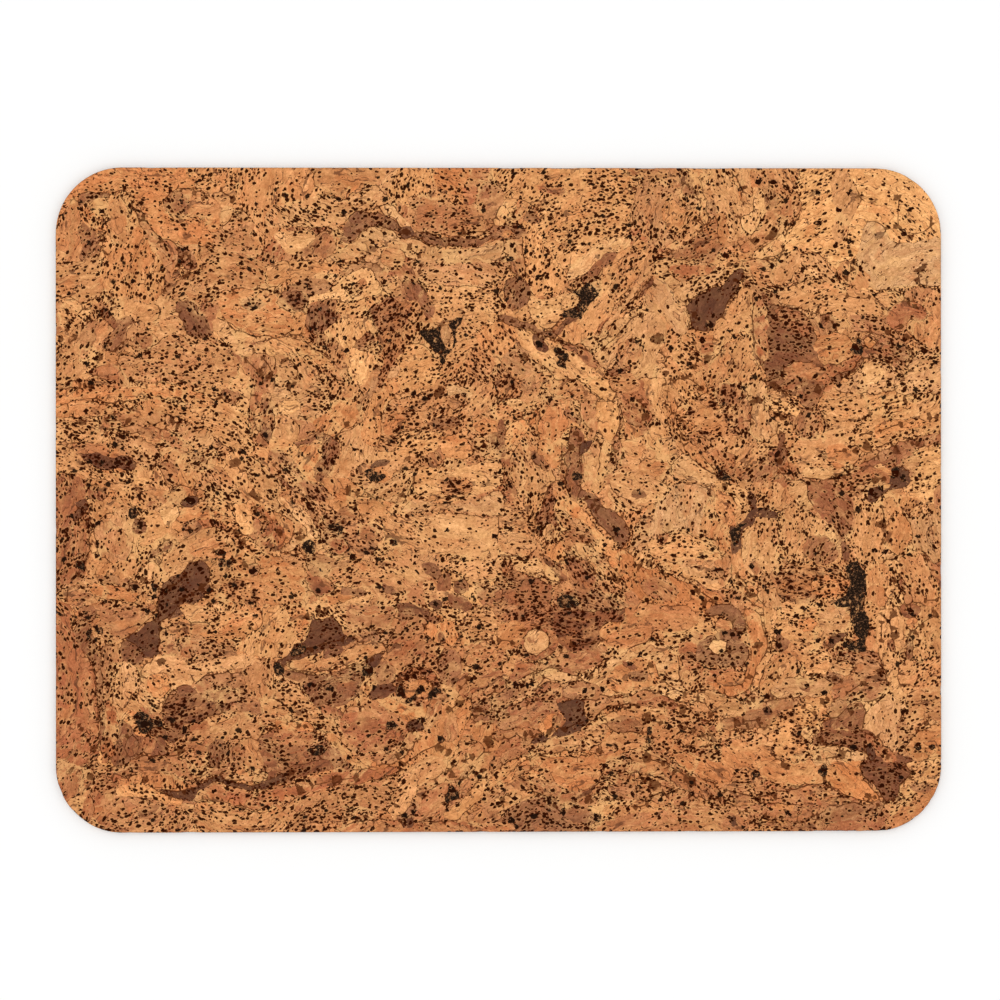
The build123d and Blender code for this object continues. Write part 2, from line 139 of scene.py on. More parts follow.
    ("R", 1, 2, -75, [(2.5, 116.9), (7.5, 117.8), (9.7, 115.1), (10.6, 110.5), (11.1, 106.0), (11.1, 101.9), (8.4, 101.9), (5.7, 104.2), (3.9, 107.8), (2.0, 112.3)]),
    ("K", 0, 1, 0, [(2.9, 110.1), (4.8, 110.5), (6.1, 108.7), (5.2, 106.9), (3.4, 107.8)]),
    ("B", 6, 2, 60, [(2.0, 97.9), (5.7, 100.6), (10.2, 99.7), (13.8, 96.1), (13.8, 91.5), (12.0, 87.9), (9.3, 86.1), (4.8, 87.9), (2.0, 91.5)]),
    ("B", 2, 1, 60, [(2.0, 92.0), (3.9, 94.3), (5.7, 92.5), (6.1, 89.3), (7.9, 86.6), (6.1, 85.7), (3.4, 87.5)]),
    ("L", 3, 2, 10, [(14.7, 92.5), (21.0, 90.6), (26.4, 92.5), (30.9, 93.4), (34.6, 91.5), (33.7, 87.9), (30.0, 85.2), (27.3, 81.6), (25.5, 78.9), (21.0, 77.1), (17.4, 78.9), (13.8, 82.5), (12.9, 87.9)]),
    ("B", 2, 1, 10, [(-0.7, 82.5), (4.8, 83.0), (9.3, 81.1), (13.8, 79.8), (18.3, 77.1), (23.7, 76.2), (27.3, 78.9), (30.0, 81.6), (32.8, 85.2), (36.4, 87.9), (39.1, 90.6), (40.9, 88.8), (38.2, 85.2), (34.6, 81.6), (30.9, 78.9), (27.3, 75.3), (24.6, 73.0), (19.2, 74.8), (13.8, 77.1), (8.4, 78.0), (3.9, 79.8)]),
    ("l", 1, 2, 55, [(45.4, 101.0), (47.2, 106.0), (50.8, 109.6), (55.3, 112.3), (59.9, 115.1), (63.5, 117.8), (67.1, 115.1), (68.9, 111.4), (66.2, 107.8), (63.5, 103.3), (59.9, 98.8), (57.1, 94.3), (53.5, 89.7), (50.8, 85.2), (47.2, 80.7), (42.7, 75.3), (37.3, 71.7), (31.9, 69.8), (28.2, 72.6), (27.3, 75.3), (30.0, 78.9), (34.6, 81.6), (39.1, 86.1), (42.7, 91.5), (45.4, 96.1)]),
    ("T", 4, 2, 55, [(55.3, 107.8), (59.0, 112.3), (63.5, 113.3), (65.3, 109.6), (61.7, 104.2), (58.0, 97.9), (54.4, 92.5), (50.8, 90.6), (49.9, 95.2), (52.6, 101.5)]),
    ("L", 1, 1, 30, [(30.0, 102.4), (36.4, 108.7), (40.9, 113.3), (45.4, 116.9), (50.8, 118.7), (56.2, 118.7), (59.9, 117.8), (58.0, 114.2), (52.6, 111.4), (48.1, 107.8), (44.5, 103.3), (40.9, 99.7), (36.4, 101.5), (32.8, 100.1)]),
    ("B", 6, 2, 40, [(38.2, 101.5), (41.8, 105.1), (46.3, 109.6), (50.8, 112.3), (53.5, 110.5), (50.8, 106.9), (46.3, 104.2), (44.0, 99.7), (40.0, 97.4), (37.3, 98.3)]),
    ("K", 0, 1, 40, [(30.5, 96.1), (33.7, 94.3), (36.4, 95.2), (39.1, 97.9), (41.8, 97.0), (43.6, 95.2), (45.9, 96.5), (44.9, 93.4), (43.1, 90.2), (40.9, 88.8), (39.1, 85.2), (36.4, 81.6), (32.8, 82.5), (28.2, 82.1), (30.0, 85.2), (33.7, 87.0), (36.4, 89.7), (35.5, 92.0), (31.9, 93.8)]),
    ("t", 3, 1, 57, [(66.2, 110.5), (69.8, 111.4), (71.6, 107.8), (68.9, 102.4), (65.3, 97.0), (62.6, 92.5), (59.0, 88.8), (55.3, 83.4), (50.8, 78.9), (47.2, 73.5), (44.5, 69.8), (41.8, 66.7), (40.9, 69.8), (45.4, 75.3), (49.9, 80.7), (53.5, 87.0), (57.1, 91.5), (60.8, 97.9), (64.4, 104.2)]),
    ("l", 0, 1, 57, [(68.0, 106.0), (69.8, 107.8), (68.0, 103.3), (64.4, 97.9), (60.8, 92.5), (57.1, 87.9), (52.6, 82.5), (48.1, 77.1), (44.5, 72.6), (45.4, 75.3), (49.9, 81.6), (54.4, 87.0), (59.0, 93.4), (63.5, 99.7)]),
    ("B", 1, 1, 55, [(63.5, 92.9), (65.7, 97.4), (68.9, 101.5), (69.3, 97.9), (66.6, 93.8), (63.5, 91.1)]),
    ("l", 0, 1, -60, [(65.3, 90.6), (68.9, 97.0), (72.5, 100.6), (76.1, 97.9), (78.8, 93.4), (80.6, 88.8), (84.2, 84.3), (86.0, 78.9), (83.3, 74.4), (79.7, 76.6), (76.1, 81.1), (72.5, 83.9), (68.0, 85.7)]),
    ("l", 1, 1, 60, [(50.8, 77.1), (54.4, 81.6), (59.0, 85.2), (64.4, 86.1), (69.8, 84.8), (73.4, 81.6), (76.1, 78.0), (76.1, 73.5), (73.4, 68.9), (70.7, 63.5), (70.7, 54.5), (69.8, 49.0), (63.5, 49.0), (63.5, 54.5), (59.9, 58.1), (62.6, 63.5), (65.3, 68.0), (63.5, 72.6), (59.0, 72.6), (54.4, 70.7), (52.6, 65.3), (50.8, 59.9), (47.2, 59.9), (43.6, 63.5), (44.5, 68.9), (48.1, 73.5)]),
    ("t", 2, 1, 60, [(54.4, 69.8), (58.0, 71.7), (62.6, 72.6), (64.4, 68.9), (63.5, 65.3), (59.9, 62.6), (58.0, 59.9), (55.3, 61.7), (54.4, 65.3)]),
    ("T", 4, 2, 70, [(59.9, 128.6), (60.8, 135.9), (63.5, 144.0), (68.0, 145.8), (72.5, 144.0), (77.0, 142.2), (81.5, 140.4), (82.4, 135.9), (86.0, 131.3), (90.6, 133.2), (91.0, 127.7), (87.0, 122.3), (81.5, 118.2), (76.1, 115.5), (70.7, 113.7), (67.1, 117.3), (63.5, 121.8)]),
    ("T", 5, 2, 60, [(74.3, 133.2), (79.7, 135.0), (84.2, 131.3), (89.7, 131.3), (90.6, 126.8), (86.0, 122.3), (80.6, 119.6), (76.1, 121.4), (73.4, 126.8)]),
    ("t", 4, 1, 0, [(55.3, 151.2), (63.5, 151.2), (82.4, 151.2), (83.3, 144.9), (81.5, 141.3), (76.1, 143.6), (70.7, 145.4), (63.5, 145.4), (59.0, 146.3)]),
    ("B", 2, 1, 80, [(81.5, 148.5), (86.0, 146.7), (88.8, 142.2), (87.9, 137.2), (84.2, 137.7), (81.5, 142.2)]),
    ("T", 1, 1, 88, [(87.0, 144.0), (89.7, 145.8), (91.5, 142.2), (91.5, 136.8), (89.2, 136.8)]),
    ("T", 1, 1, 60, [(90.6, 145.8), (92.4, 138.6), (94.2, 132.2), (94.2, 127.3), (91.5, 122.8), (87.9, 118.7), (83.3, 115.1), (78.8, 112.8), (75.2, 114.2), (81.5, 117.8), (87.0, 122.3), (90.6, 126.8), (91.5, 131.3), (90.6, 136.8), (89.7, 142.2)]),
    ("t", 4, 2, 30, [(95.1, 126.8), (100.5, 128.6), (102.3, 117.8), (99.6, 110.5), (96.0, 106.9), (88.8, 107.8), (79.7, 107.8), (76.1, 110.5), (80.6, 113.3), (87.0, 116.9), (92.4, 122.3)]),
    ("L", 2, 1, 0, [(69.8, 106.9), (72.5, 108.7), (76.1, 109.6), (81.5, 108.7), (88.8, 107.8), (90.6, 106.9), (83.3, 106.5), (77.9, 105.6), (76.1, 103.3), (79.7, 99.2), (83.3, 95.2), (86.0, 92.5), (83.3, 89.7), (79.7, 92.5), (77.0, 97.0), (73.4, 100.6), (70.7, 103.3)]),
    ("R", 1, 1, 2, [(76.1, 105.1), (81.5, 106.5), (90.6, 106.0), (97.8, 106.0), (96.9, 103.3), (91.5, 101.5), (86.0, 100.1), (80.6, 101.0)]),
    ("L", 3, 1, 30, [(81.5, 97.9), (87.0, 99.2), (92.4, 101.5), (97.8, 104.2), (101.4, 106.9), (102.3, 103.3), (99.6, 98.8), (95.1, 96.1), (90.6, 93.4), (86.0, 90.6), (83.3, 93.4)]),
    ("D", 1, 1, 60, [(85.1, 87.9), (88.8, 91.5), (93.3, 94.3), (97.8, 96.5), (101.4, 97.0), (105.9, 103.3), (110.4, 104.2), (109.1, 98.8), (106.4, 93.4), (103.2, 88.8), (100.5, 83.4), (97.8, 79.8), (96.0, 76.6), (91.5, 76.2), (87.9, 77.5), (86.5, 82.5)]),
    ("K", 3, 1, 0, [(93.3, 79.8), (96.0, 80.7), (96.9, 78.0), (94.2, 76.6)]),
    ("K", 0, 1, -50, [(25.1, 69.4), (28.2, 67.6), (31.4, 65.3), (30.5, 62.6), (27.3, 63.5), (25.1, 66.2)]),
    ("K", 0, 1, -60, [(25.5, 62.6), (28.2, 63.5), (30.0, 60.8), (30.0, 59.0), (26.9, 60.3)]),
    ("D", 6, 1, -60, [(15.1, 73.9), (18.8, 75.7), (21.0, 71.7), (22.4, 67.6), (19.2, 66.7), (16.0, 69.8)]),
    ("l", 1, 1, -35, [(9.3, 77.1), (15.6, 76.2), (19.2, 74.4), (21.9, 72.6), (25.5, 70.7), (27.3, 72.6), (31.9, 68.9), (36.4, 67.1), (40.9, 66.2), (44.5, 60.8), (49.0, 58.1), (48.1, 52.7), (46.3, 49.0), (28.2, 49.0), (25.5, 54.5), (21.9, 59.0), (16.5, 62.6), (12.0, 67.1), (8.4, 71.7)]),
    ("B", 6, 1, -60, [(15.1, 73.9), (18.8, 75.7), (21.0, 71.7), (22.4, 67.6), (19.2, 66.7), (16.0, 69.8)]),
    ("R", 3, 1, -40, [(27.8, 72.6), (32.8, 70.3), (38.2, 68.0), (42.7, 64.9), (46.3, 60.3), (42.7, 59.4), (38.2, 63.1), (33.7, 66.7), (28.2, 68.9)]),
    ("T", 5, 2, -5, [(47.2, 56.3), (50.8, 59.0), (54.4, 57.6), (58.0, 59.4), (61.7, 56.3), (63.9, 52.7), (61.7, 49.0), (48.1, 49.0)]),
    ("B", 7, 1, 0, [(48.1, 58.5), (53.5, 59.4), (58.0, 58.5), (56.2, 56.3), (50.8, 55.8)]),
    ("l", 3, 1, -65, [(92.4, 151.2), (103.2, 151.2), (105.9, 144.9), (108.6, 138.6), (110.4, 132.2), (111.3, 125.9), (109.5, 119.6), (105.9, 116.0), (102.3, 117.8), (100.5, 125.9), (97.8, 134.1), (95.1, 141.3)]),
    ("O", 1, 1, 85, [(98.7, 129.5), (101.4, 129.5), (103.7, 122.3), (103.2, 116.9), (99.6, 116.9), (98.2, 123.2)]),
    ("t", 1, 1, -75, [(104.1, 151.2), (113.1, 151.2), (113.1, 145.8), (114.5, 140.4), (115.4, 135.4), (114.5, 130.0), (111.3, 127.3), (110.4, 133.2), (109.5, 138.6), (108.2, 143.6)]),
    ("T", 6, 2, -60, [(114.1, 151.2), (135.7, 151.2), (134.8, 143.1), (132.1, 138.6), (128.5, 136.8), (125.8, 133.2), (122.2, 137.7), (118.6, 141.3), (115.0, 144.0)]),
    ("L", 1, 1, 80, [(114.5, 139.9), (117.2, 141.3), (119.9, 138.6), (119.5, 134.1), (121.3, 130.9), (119.5, 127.3), (116.8, 123.2), (114.1, 119.6), (110.4, 122.3), (109.1, 126.4), (113.1, 129.1), (115.4, 133.2)]),
    ("G", 2, 1, 70, [(119.5, 142.2), (123.5, 140.4), (126.2, 135.9), (124.9, 132.2), (121.3, 130.4), (119.5, 134.1)]),
    ("t", 3, 2, 45, [(126.7, 137.7), (130.3, 139.5), (134.8, 138.6), (136.6, 133.2), (134.4, 128.6), (130.3, 123.7), (126.7, 119.6), (122.2, 116.9), (116.8, 114.6), (112.2, 111.9), (109.1, 113.7), (113.1, 117.8), (115.9, 121.4), (119.5, 125.9), (122.2, 130.4), (125.8, 133.2)]),
    ("L", 0, 1, 45, [(114.1, 110.1), (117.7, 113.3), (121.3, 116.0), (124.9, 118.7), (128.1, 120.0), (129.0, 116.0), (126.7, 111.0), (122.2, 109.6), (117.7, 108.7)]),
    ("L", 2, 3, -10, [(135.7, 151.2), (171.9, 151.2), (183.2, 147.6), (192.2, 139.5), (198.1, 129.5), (200.3, 117.8), (200.3, 97.0), (189.9, 96.5), (180.9, 95.6), (171.9, 93.8), (163.7, 94.7), (158.3, 97.4), (154.7, 100.6), (150.2, 106.0), (146.6, 110.5), (141.1, 112.8), (135.7, 115.1), (129.4, 112.3), (128.5, 118.7), (133.9, 125.9), (136.6, 131.3), (135.7, 140.4)]),
    ("T", 5, 1, -5, [(109.5, 107.8), (114.1, 108.7), (122.2, 108.7), (128.5, 110.5), (133.0, 113.3), (136.6, 113.3), (137.1, 107.8), (136.2, 101.5), (132.6, 97.4), (124.9, 95.6), (119.5, 97.4), (115.0, 101.0), (111.3, 104.2)]),
    ("l", 1, 3, 60, [(126.7, 109.6), (133.0, 112.8), (136.6, 110.5), (134.8, 103.3), (131.2, 97.9), (124.9, 97.0), (121.3, 101.5), (123.1, 106.0)]),
    ("l", 1, 1, 65, [(150.6, 150.3), (156.5, 149.4), (161.9, 141.3), (163.3, 134.1), (159.2, 126.8), (156.5, 119.6), (152.9, 115.1), (150.2, 121.4), (152.0, 129.5), (150.2, 138.6)]),
    ("L", 0, 1, 35, [(166.4, 125.9), (173.7, 124.1), (177.3, 117.8), (183.6, 116.0), (194.4, 117.8), (199.9, 117.8), (200.3, 97.9), (189.9, 97.0), (180.9, 96.1), (170.1, 95.2), (163.7, 101.5), (161.9, 108.7), (163.7, 117.8)]),
    ("l", 6, 1, -40, [(133.9, 107.8), (136.2, 110.5), (141.1, 111.4), (145.7, 110.1), (149.3, 105.1), (154.7, 97.9), (157.0, 94.7), (152.0, 96.1), (145.7, 98.8), (139.3, 101.0), (134.8, 103.3)]),
    ("T", 1, 1, -60, [(154.7, 107.8), (159.2, 107.8), (163.7, 104.2), (168.2, 99.7), (166.4, 95.2), (161.0, 96.1), (156.5, 97.9), (152.9, 102.4)]),
    ("l", 3, 1, -5, [(129.4, 95.2), (135.7, 97.9), (141.1, 99.7), (147.5, 97.9), (154.7, 95.2), (161.0, 94.3), (170.1, 93.4), (179.1, 94.3), (183.6, 91.5), (180.9, 88.8), (176.4, 87.0), (173.7, 81.6), (167.3, 78.9), (159.2, 78.0), (153.8, 74.4), (149.3, 76.2), (145.7, 83.4), (139.3, 85.2), (133.9, 87.9), (128.5, 88.8)]),
    ("t", 4, 1, -10, [(157.4, 82.5), (163.7, 84.3), (171.9, 82.5), (175.5, 79.8), (179.1, 77.1), (180.9, 72.6), (175.5, 73.5), (168.2, 75.3), (161.0, 77.1)]),
    ("B", 6, 2, -10, [(114.5, 95.2), (119.5, 93.4), (124.0, 90.6), (127.6, 87.9), (133.9, 86.6), (138.4, 83.4), (141.1, 78.9), (143.0, 74.4), (144.8, 68.9), (143.9, 65.3), (145.7, 60.8), (151.1, 59.9), (156.5, 62.6), (161.0, 65.3), (165.5, 64.4), (163.7, 60.8), (158.3, 56.7), (154.7, 53.6), (152.9, 49.0), (131.2, 49.0), (124.9, 52.2), (120.4, 57.2), (116.8, 62.6), (115.0, 68.0), (114.5, 81.6)]),
    ("R", 2, 1, 88, [(115.0, 94.7), (118.6, 91.5), (121.3, 84.3), (121.3, 72.6), (122.2, 65.3), (118.6, 62.6), (115.9, 68.0), (114.5, 81.6)]),
    ("R", 7, 2, 10, [(125.8, 87.0), (133.9, 86.1), (139.3, 82.5), (141.1, 77.1), (139.3, 73.5), (134.8, 76.2), (129.4, 78.9), (125.8, 82.5)]),
    ("O", 1, 2, 10, [(142.5, 71.2), (147.0, 74.4), (152.9, 75.7), (157.4, 73.9), (159.7, 70.7), (158.3, 67.1), (153.8, 64.4), (148.4, 63.1), (143.9, 65.8)]),
    ("B", 1, 1, 80, [(145.2, 82.5), (148.8, 84.3), (152.4, 81.6), (152.0, 76.2), (148.8, 75.7), (145.7, 78.9)]),
    ("R", 1, 1, 10, [(129.4, 59.0), (135.7, 62.6), (143.0, 60.8), (147.5, 57.2), (151.1, 52.7), (149.3, 49.0), (133.9, 49.0), (129.4, 52.7)]),
    ("R", 2, 1, 30, [(146.6, 59.9), (153.8, 61.7), (159.2, 65.3), (164.6, 66.2), (162.8, 61.7), (158.3, 58.1), (152.9, 56.3), (148.4, 56.3)]),
    ("K", 2, 1, 80, [(161.0, 70.7), (162.8, 73.9), (164.2, 69.8), (164.6, 66.2), (161.5, 65.8), (158.8, 68.5)]),
    ("R", 3, 2, -15, [(163.7, 72.6), (168.2, 73.9), (173.7, 72.6), (179.1, 70.7), (183.6, 70.7), (186.3, 67.1), (184.5, 62.6), (181.8, 58.1), (178.2, 59.9), (174.6, 63.1), (169.2, 64.4), (165.5, 64.4), (163.7, 68.0)]),
    ("O", 0, 1, 0, [(165.1, 72.1), (168.2, 73.0), (171.0, 71.2), (169.2, 68.9), (166.0, 68.9)]),
    ("G", 5, 1, -10, [(176.4, 70.7), (182.7, 69.8), (185.4, 66.2), (183.6, 62.6), (180.0, 63.5), (177.3, 67.1)]),
    ("l", 4, 1, 15, [(166.4, 62.2), (171.9, 63.5), (178.2, 58.5), (182.7, 56.7), (186.3, 62.2), (189.9, 67.1), (197.2, 65.3), (200.3, 63.5), (200.3, 49.0), (154.7, 49.0), (158.3, 54.5), (162.8, 59.0)]),
    ("L", 1, 1, 20, [(164.6, 58.1), (168.2, 62.6), (171.9, 61.7), (173.7, 57.2), (171.0, 52.7), (165.5, 52.7)]),
    ("R", 0, 1, -10, [(175.5, 83.0), (177.3, 87.0), (180.9, 89.3), (186.3, 89.3), (190.8, 87.5), (194.4, 85.2), (192.6, 82.1), (188.1, 81.1), (184.5, 82.5), (184.1, 78.9), (181.3, 75.7), (178.2, 77.5), (175.5, 80.2)]),
    ("T", 2, 1, 70, [(186.3, 81.6), (192.6, 80.7), (197.2, 82.5), (200.3, 83.4), (200.3, 68.0), (196.2, 68.0), (190.8, 70.7), (187.2, 73.5), (184.5, 77.1)]),
    ("l", 1, 1, 60, [(109.5, 95.6), (112.2, 97.0), (115.0, 94.3), (114.5, 86.1), (114.1, 77.1), (110.4, 76.6), (106.8, 74.8), (103.2, 71.7), (100.5, 68.0), (97.8, 65.3), (96.9, 72.6), (97.8, 78.9), (101.4, 83.9), (105.0, 88.8), (107.7, 92.5)]),
    ("T", 3, 1, 65, [(96.0, 63.5), (101.4, 67.1), (105.9, 71.7), (110.4, 75.3), (114.1, 75.3), (115.0, 67.1), (116.8, 60.8), (121.3, 55.4), (124.9, 49.0), (96.0, 49.0)]),
    ("G", 3, 1, -35, [(110.0, 100.1), (115.9, 97.4), (120.4, 94.7), (124.9, 91.5), (128.1, 87.5), (124.4, 87.9), (120.4, 90.6), (115.9, 93.8), (111.8, 96.5)]),
    ("O", 2, 1, 8, [(-199.8, 49.0), (-193.1, 49.9), (-184.9, 49.0), (-177.7, 49.0), (-170.5, 50.8), (-162.4, 51.8), (-154.2, 52.7), (-146.1, 51.8), (-137.1, 49.0), (-128.9, 45.4), (-132.5, 41.8), (-140.7, 43.6), (-148.8, 45.9), (-157.8, 46.3), (-166.9, 45.4), (-175.0, 43.6), (-182.2, 45.4), (-189.5, 45.4), (-194.9, 43.6), (-199.8, 41.8)]),
    ("T", 1, 1, 6, [(-199.8, 40.9), (-194.9, 43.2), (-188.5, 45.0), (-181.3, 43.6), (-175.0, 41.8), (-167.8, 41.4), (-159.6, 42.7), (-156.9, 40.0), (-159.6, 36.8), (-166.9, 34.6), (-174.1, 34.1), (-181.3, 36.4), (-187.6, 37.7), (-194.0, 37.3), (-199.8, 36.4)]),
    ("T", 6, 2, -15, [(-157.8, 44.5), (-150.6, 45.0), (-143.4, 42.7), (-137.1, 39.1), (-132.5, 34.6), (-135.3, 31.4), (-140.7, 34.6), (-146.1, 37.7), (-152.4, 39.5), (-156.0, 40.9)]),
    ("l", 5, 2, -25, [(-137.1, 50.8), (-129.8, 52.7), (-121.7, 49.9), (-114.5, 46.3), (-112.7, 40.9), (-113.6, 34.6), (-111.8, 28.2), (-110.0, 21.9), (-114.5, 20.1), (-120.8, 22.8), (-125.3, 25.5), (-129.8, 30.0), (-134.4, 34.6), (-131.6, 40.0), (-135.3, 44.5)]),
    ("G", 4, 3, 60, [(-125.3, 49.0), (-120.8, 49.9), (-117.2, 47.2), (-119.0, 43.6), (-122.6, 43.6), (-125.3, 45.9)]),
    ("t", 2, 1, -8, [(-178.6, 38.2), (-171.4, 39.1), (-164.2, 38.2), (-158.7, 36.4), (-162.4, 33.7), (-168.7, 33.7), (-175.0, 31.9), (-179.5, 30.0), (-181.3, 33.7)]),
    ("T", 5, 2, -10, [(-199.8, 36.4), (-193.1, 36.8), (-185.8, 36.8), (-180.4, 34.6), (-181.3, 29.1), (-184.9, 25.5), (-191.3, 25.5), (-196.7, 26.4), (-199.8, 25.5)]),
    ("t", 3, 2, -20, [(-175.0, 31.0), (-168.7, 32.8), (-161.5, 33.7), (-154.2, 32.8), (-147.0, 30.0), (-141.6, 26.4), (-137.1, 21.9), (-137.1, 16.5), (-141.6, 19.2), (-146.1, 22.8), (-152.4, 26.4), (-159.6, 29.1), (-166.9, 30.0), (-172.3, 29.1)]),
    ("T", 7, 2, -20, [(-173.2, 28.2), (-166.9, 29.1), (-160.5, 27.3), (-155.1, 24.6), (-152.4, 20.1), (-155.1, 15.6), (-160.5, 14.7), (-164.2, 18.3), (-169.6, 21.0), (-174.1, 23.7)]),
    ("R", 5, 1, -12, [(-192.2, 25.5), (-185.8, 26.4), (-179.5, 24.6), (-175.0, 21.9), (-169.6, 20.1), (-173.2, 17.4), (-179.5, 19.2), (-185.8, 21.0), (-190.4, 21.9)]),
    ("l", 6, 1, -20, [(-199.8, 24.6), (-194.0, 23.7), (-188.5, 20.1), (-184.0, 16.5), (-178.6, 12.9), (-172.3, 12.0), (-166.0, 12.0), (-162.4, 8.3), (-167.8, 4.7), (-175.9, 7.4), (-184.0, 10.1), (-192.2, 12.0), (-199.8, 12.9)]),
    ("D", 9, 3, -6, [(-188.1, 20.1), (-183.1, 21.5), (-178.6, 20.6), (-174.1, 19.2), (-169.6, 20.1), (-165.1, 18.7), (-163.7, 15.6), (-166.9, 13.3), (-172.3, 14.2), (-176.8, 13.3), (-181.8, 14.2), (-185.8, 16.9)]),
    ("R", 3, 1, -8, [(-199.8, 10.6), (-194.9, 11.1), (-189.5, 9.7), (-186.7, 7.4), (-190.4, 5.6), (-195.8, 7.4), (-199.8, 7.9)]),
    ("T", 3, 1, -5, [(-199.8, 7.4), (-194.0, 6.1), (-187.6, 5.2), (-181.3, 4.3), (-175.9, 2.0), (-181.3, 0.2), (-187.6, 1.1), (-194.0, 2.5), (-199.8, 2.9)]),
    ("l", 2, 1, 4, [(-184.9, 7.4), (-177.7, 6.1), (-171.4, 3.8), (-165.1, 2.9), (-159.6, 4.7), (-157.8, 8.3), (-162.4, 10.1), (-167.8, 6.5), (-175.0, 8.3), (-180.4, 9.2)]),
    ("L", 1, 1, 0, [(-165.1, 9.2), (-161.5, 10.1), (-157.8, 9.2), (-160.5, 6.5), (-164.2, 6.5)]),
    ("G", 6, 2, -30, [(-152.4, 17.4), (-147.9, 18.3), (-144.3, 14.7), (-144.3, 9.2), (-147.9, 6.5), (-151.5, 9.2), (-153.3, 13.8)]),
    ("O", 1, 1, -4, [(-161.5, 8.3), (-155.1, 5.6), (-148.8, 4.7), (-141.6, 5.2), (-135.3, 4.7), (-132.5, 2.0), (-138.0, 1.1), (-145.2, 0.7), (-152.4, 1.6), (-158.7, 2.9), (-163.3, 4.7)]),
    ("O", 0, 1, -75, [(-144.3, 12.0), (-140.7, 12.9), (-138.0, 9.2), (-138.0, 4.7), (-141.6, 5.2), (-144.3, 8.3)]),
    ("D", 2, 1, 4, [(-142.5, 0.2), (-139.8, 2.0), (-136.6, 1.6), (-136.2, -1.2), (-138.9, -3.4), (-142.0, -3.0), (-143.8, -1.6)]),
    ("G", 5, 2, 20, [(-138.9, 18.3), (-134.4, 19.6), (-131.6, 17.8), (-132.1, 15.1), (-135.7, 13.3), (-138.4, 15.1)]),
    ("l", 1, 1, -55, [(-123.5, 20.1), (-119.0, 21.9), (-114.5, 20.1), (-114.5, 14.7), (-112.7, 9.2), (-109.1, 3.8), (-104.5, 0.2), (-107.3, -2.5), (-112.7, 0.2), (-116.3, 4.7), (-119.9, 9.2), (-123.5, 14.7)]),
    ("l", 6, 1, -45, [(-117.2, 17.4), (-112.7, 19.2), (-107.3, 16.5), (-102.7, 12.0), (-99.1, 7.4), (-100.0, 1.1), (-104.5, 1.1), (-110.0, 5.6), (-114.5, 12.0)]),
    ("T", 5, 2, -40, [(-137.1, 17.4), (-131.6, 16.5), (-125.3, 13.8), (-120.8, 9.2), (-117.2, 3.8), (-113.6, -0.7), (-119.0, -2.5), (-126.2, 0.2), (-132.5, 2.9), (-136.2, 7.4), (-138.0, 12.9)]),
    ("R", 4, 2, 88, [(-111.8, 54.5), (-106.3, 54.5), (-107.3, 48.1), (-108.2, 43.6), (-110.0, 40.0), (-110.9, 36.4), (-109.5, 31.9), (-106.3, 27.3), (-104.5, 24.2), (-109.1, 24.2), (-111.8, 28.2), (-112.7, 34.6), (-113.6, 40.0), (-112.7, 45.4), (-111.8, 49.9)]),
    ("G", 8, 2, 85, [(-107.3, 44.5), (-103.6, 45.4), (-101.8, 40.0), (-101.8, 32.8), (-102.7, 27.3), (-101.8, 23.7), (-104.5, 24.6), (-107.3, 29.1), (-108.2, 35.5)]),
    ("l", 0, 1, 80, [(-102.7, 37.3), (-97.3, 38.2), (-91.9, 35.5), (-90.1, 31.0), (-92.8, 26.4), (-99.1, 23.7), (-101.8, 27.3), (-101.8, 32.8)]),
    ("R", 6, 2, 80, [(-199.8, 2.9), (-194.0, 2.0), (-187.6, 1.1), (-184.9, -4.3), (-184.0, -12.5), (-184.9, -20.6), (-185.8, -29.6), (-187.6, -36.0), (-194.0, -37.8), (-199.8, -36.9)]),
    ("D", 6, 2, 70, [(-191.3, -1.2), (-187.2, 0.2), (-185.4, -1.6), (-186.3, -5.2), (-188.5, -7.9), (-190.8, -9.3), (-191.7, -7.0), (-189.9, -4.3)]),
    ("R", 5, 2, 80, [(-192.2, -10.7), (-185.8, -9.7), (-184.9, -17.9), (-185.8, -25.1), (-186.7, -31.5), (-190.4, -29.6), (-193.1, -23.3), (-193.1, -16.1)]),
    ("K", 0, 1, 50, [(-191.3, -28.3), (-188.5, -26.9), (-186.7, -28.7), (-187.6, -31.5), (-190.4, -31.0)]),
    ("l", 2, 1, 88, [(-184.0, -3.4), (-180.4, 0.2), (-174.1, 1.6), (-167.8, -0.3), (-163.3, -4.3), (-161.0, -9.7), (-161.9, -17.9), (-162.4, -25.1), (-163.3, -31.5), (-165.1, -36.9), (-171.4, -35.1), (-178.6, -33.3), (-184.9, -34.2), (-185.8, -26.9), (-185.4, -17.9), (-184.9, -10.7)]),
    ("T", 0, 1, 88, [(-181.3, -9.7), (-176.8, -6.1), (-170.5, -5.7), (-166.0, -9.7), (-164.6, -17.0), (-166.0, -24.2), (-171.4, -27.8), (-177.7, -26.9), (-181.8, -22.4), (-182.7, -15.2)]),
    ("t", 2, 1, 75, [(-176.8, -13.4), (-172.3, -12.5), (-168.2, -15.2), (-167.8, -20.6), (-170.5, -24.7), (-175.9, -24.2), (-178.6, -20.6), (-178.6, -16.1)]),
    ("t", 1, 1, 20, [(-178.6, -2.5), (-173.2, -0.7), (-167.8, -2.5), (-163.7, -6.6), (-162.4, -11.6), (-165.1, -10.7), (-168.7, -6.1), (-174.1, -4.3), (-178.6, -4.8)]),
    ("K", 0, 1, 80, [(-166.4, -3.4), (-164.2, -3.0), (-162.8, -5.2), (-163.7, -7.5), (-166.0, -7.5), (-166.9, -5.2)]),
    ("B", 8, 2, 10, [(-165.5, -9.7), (-161.5, -8.8), (-158.7, -11.1), (-159.6, -13.8), (-162.8, -15.2), (-166.0, -12.9)]),
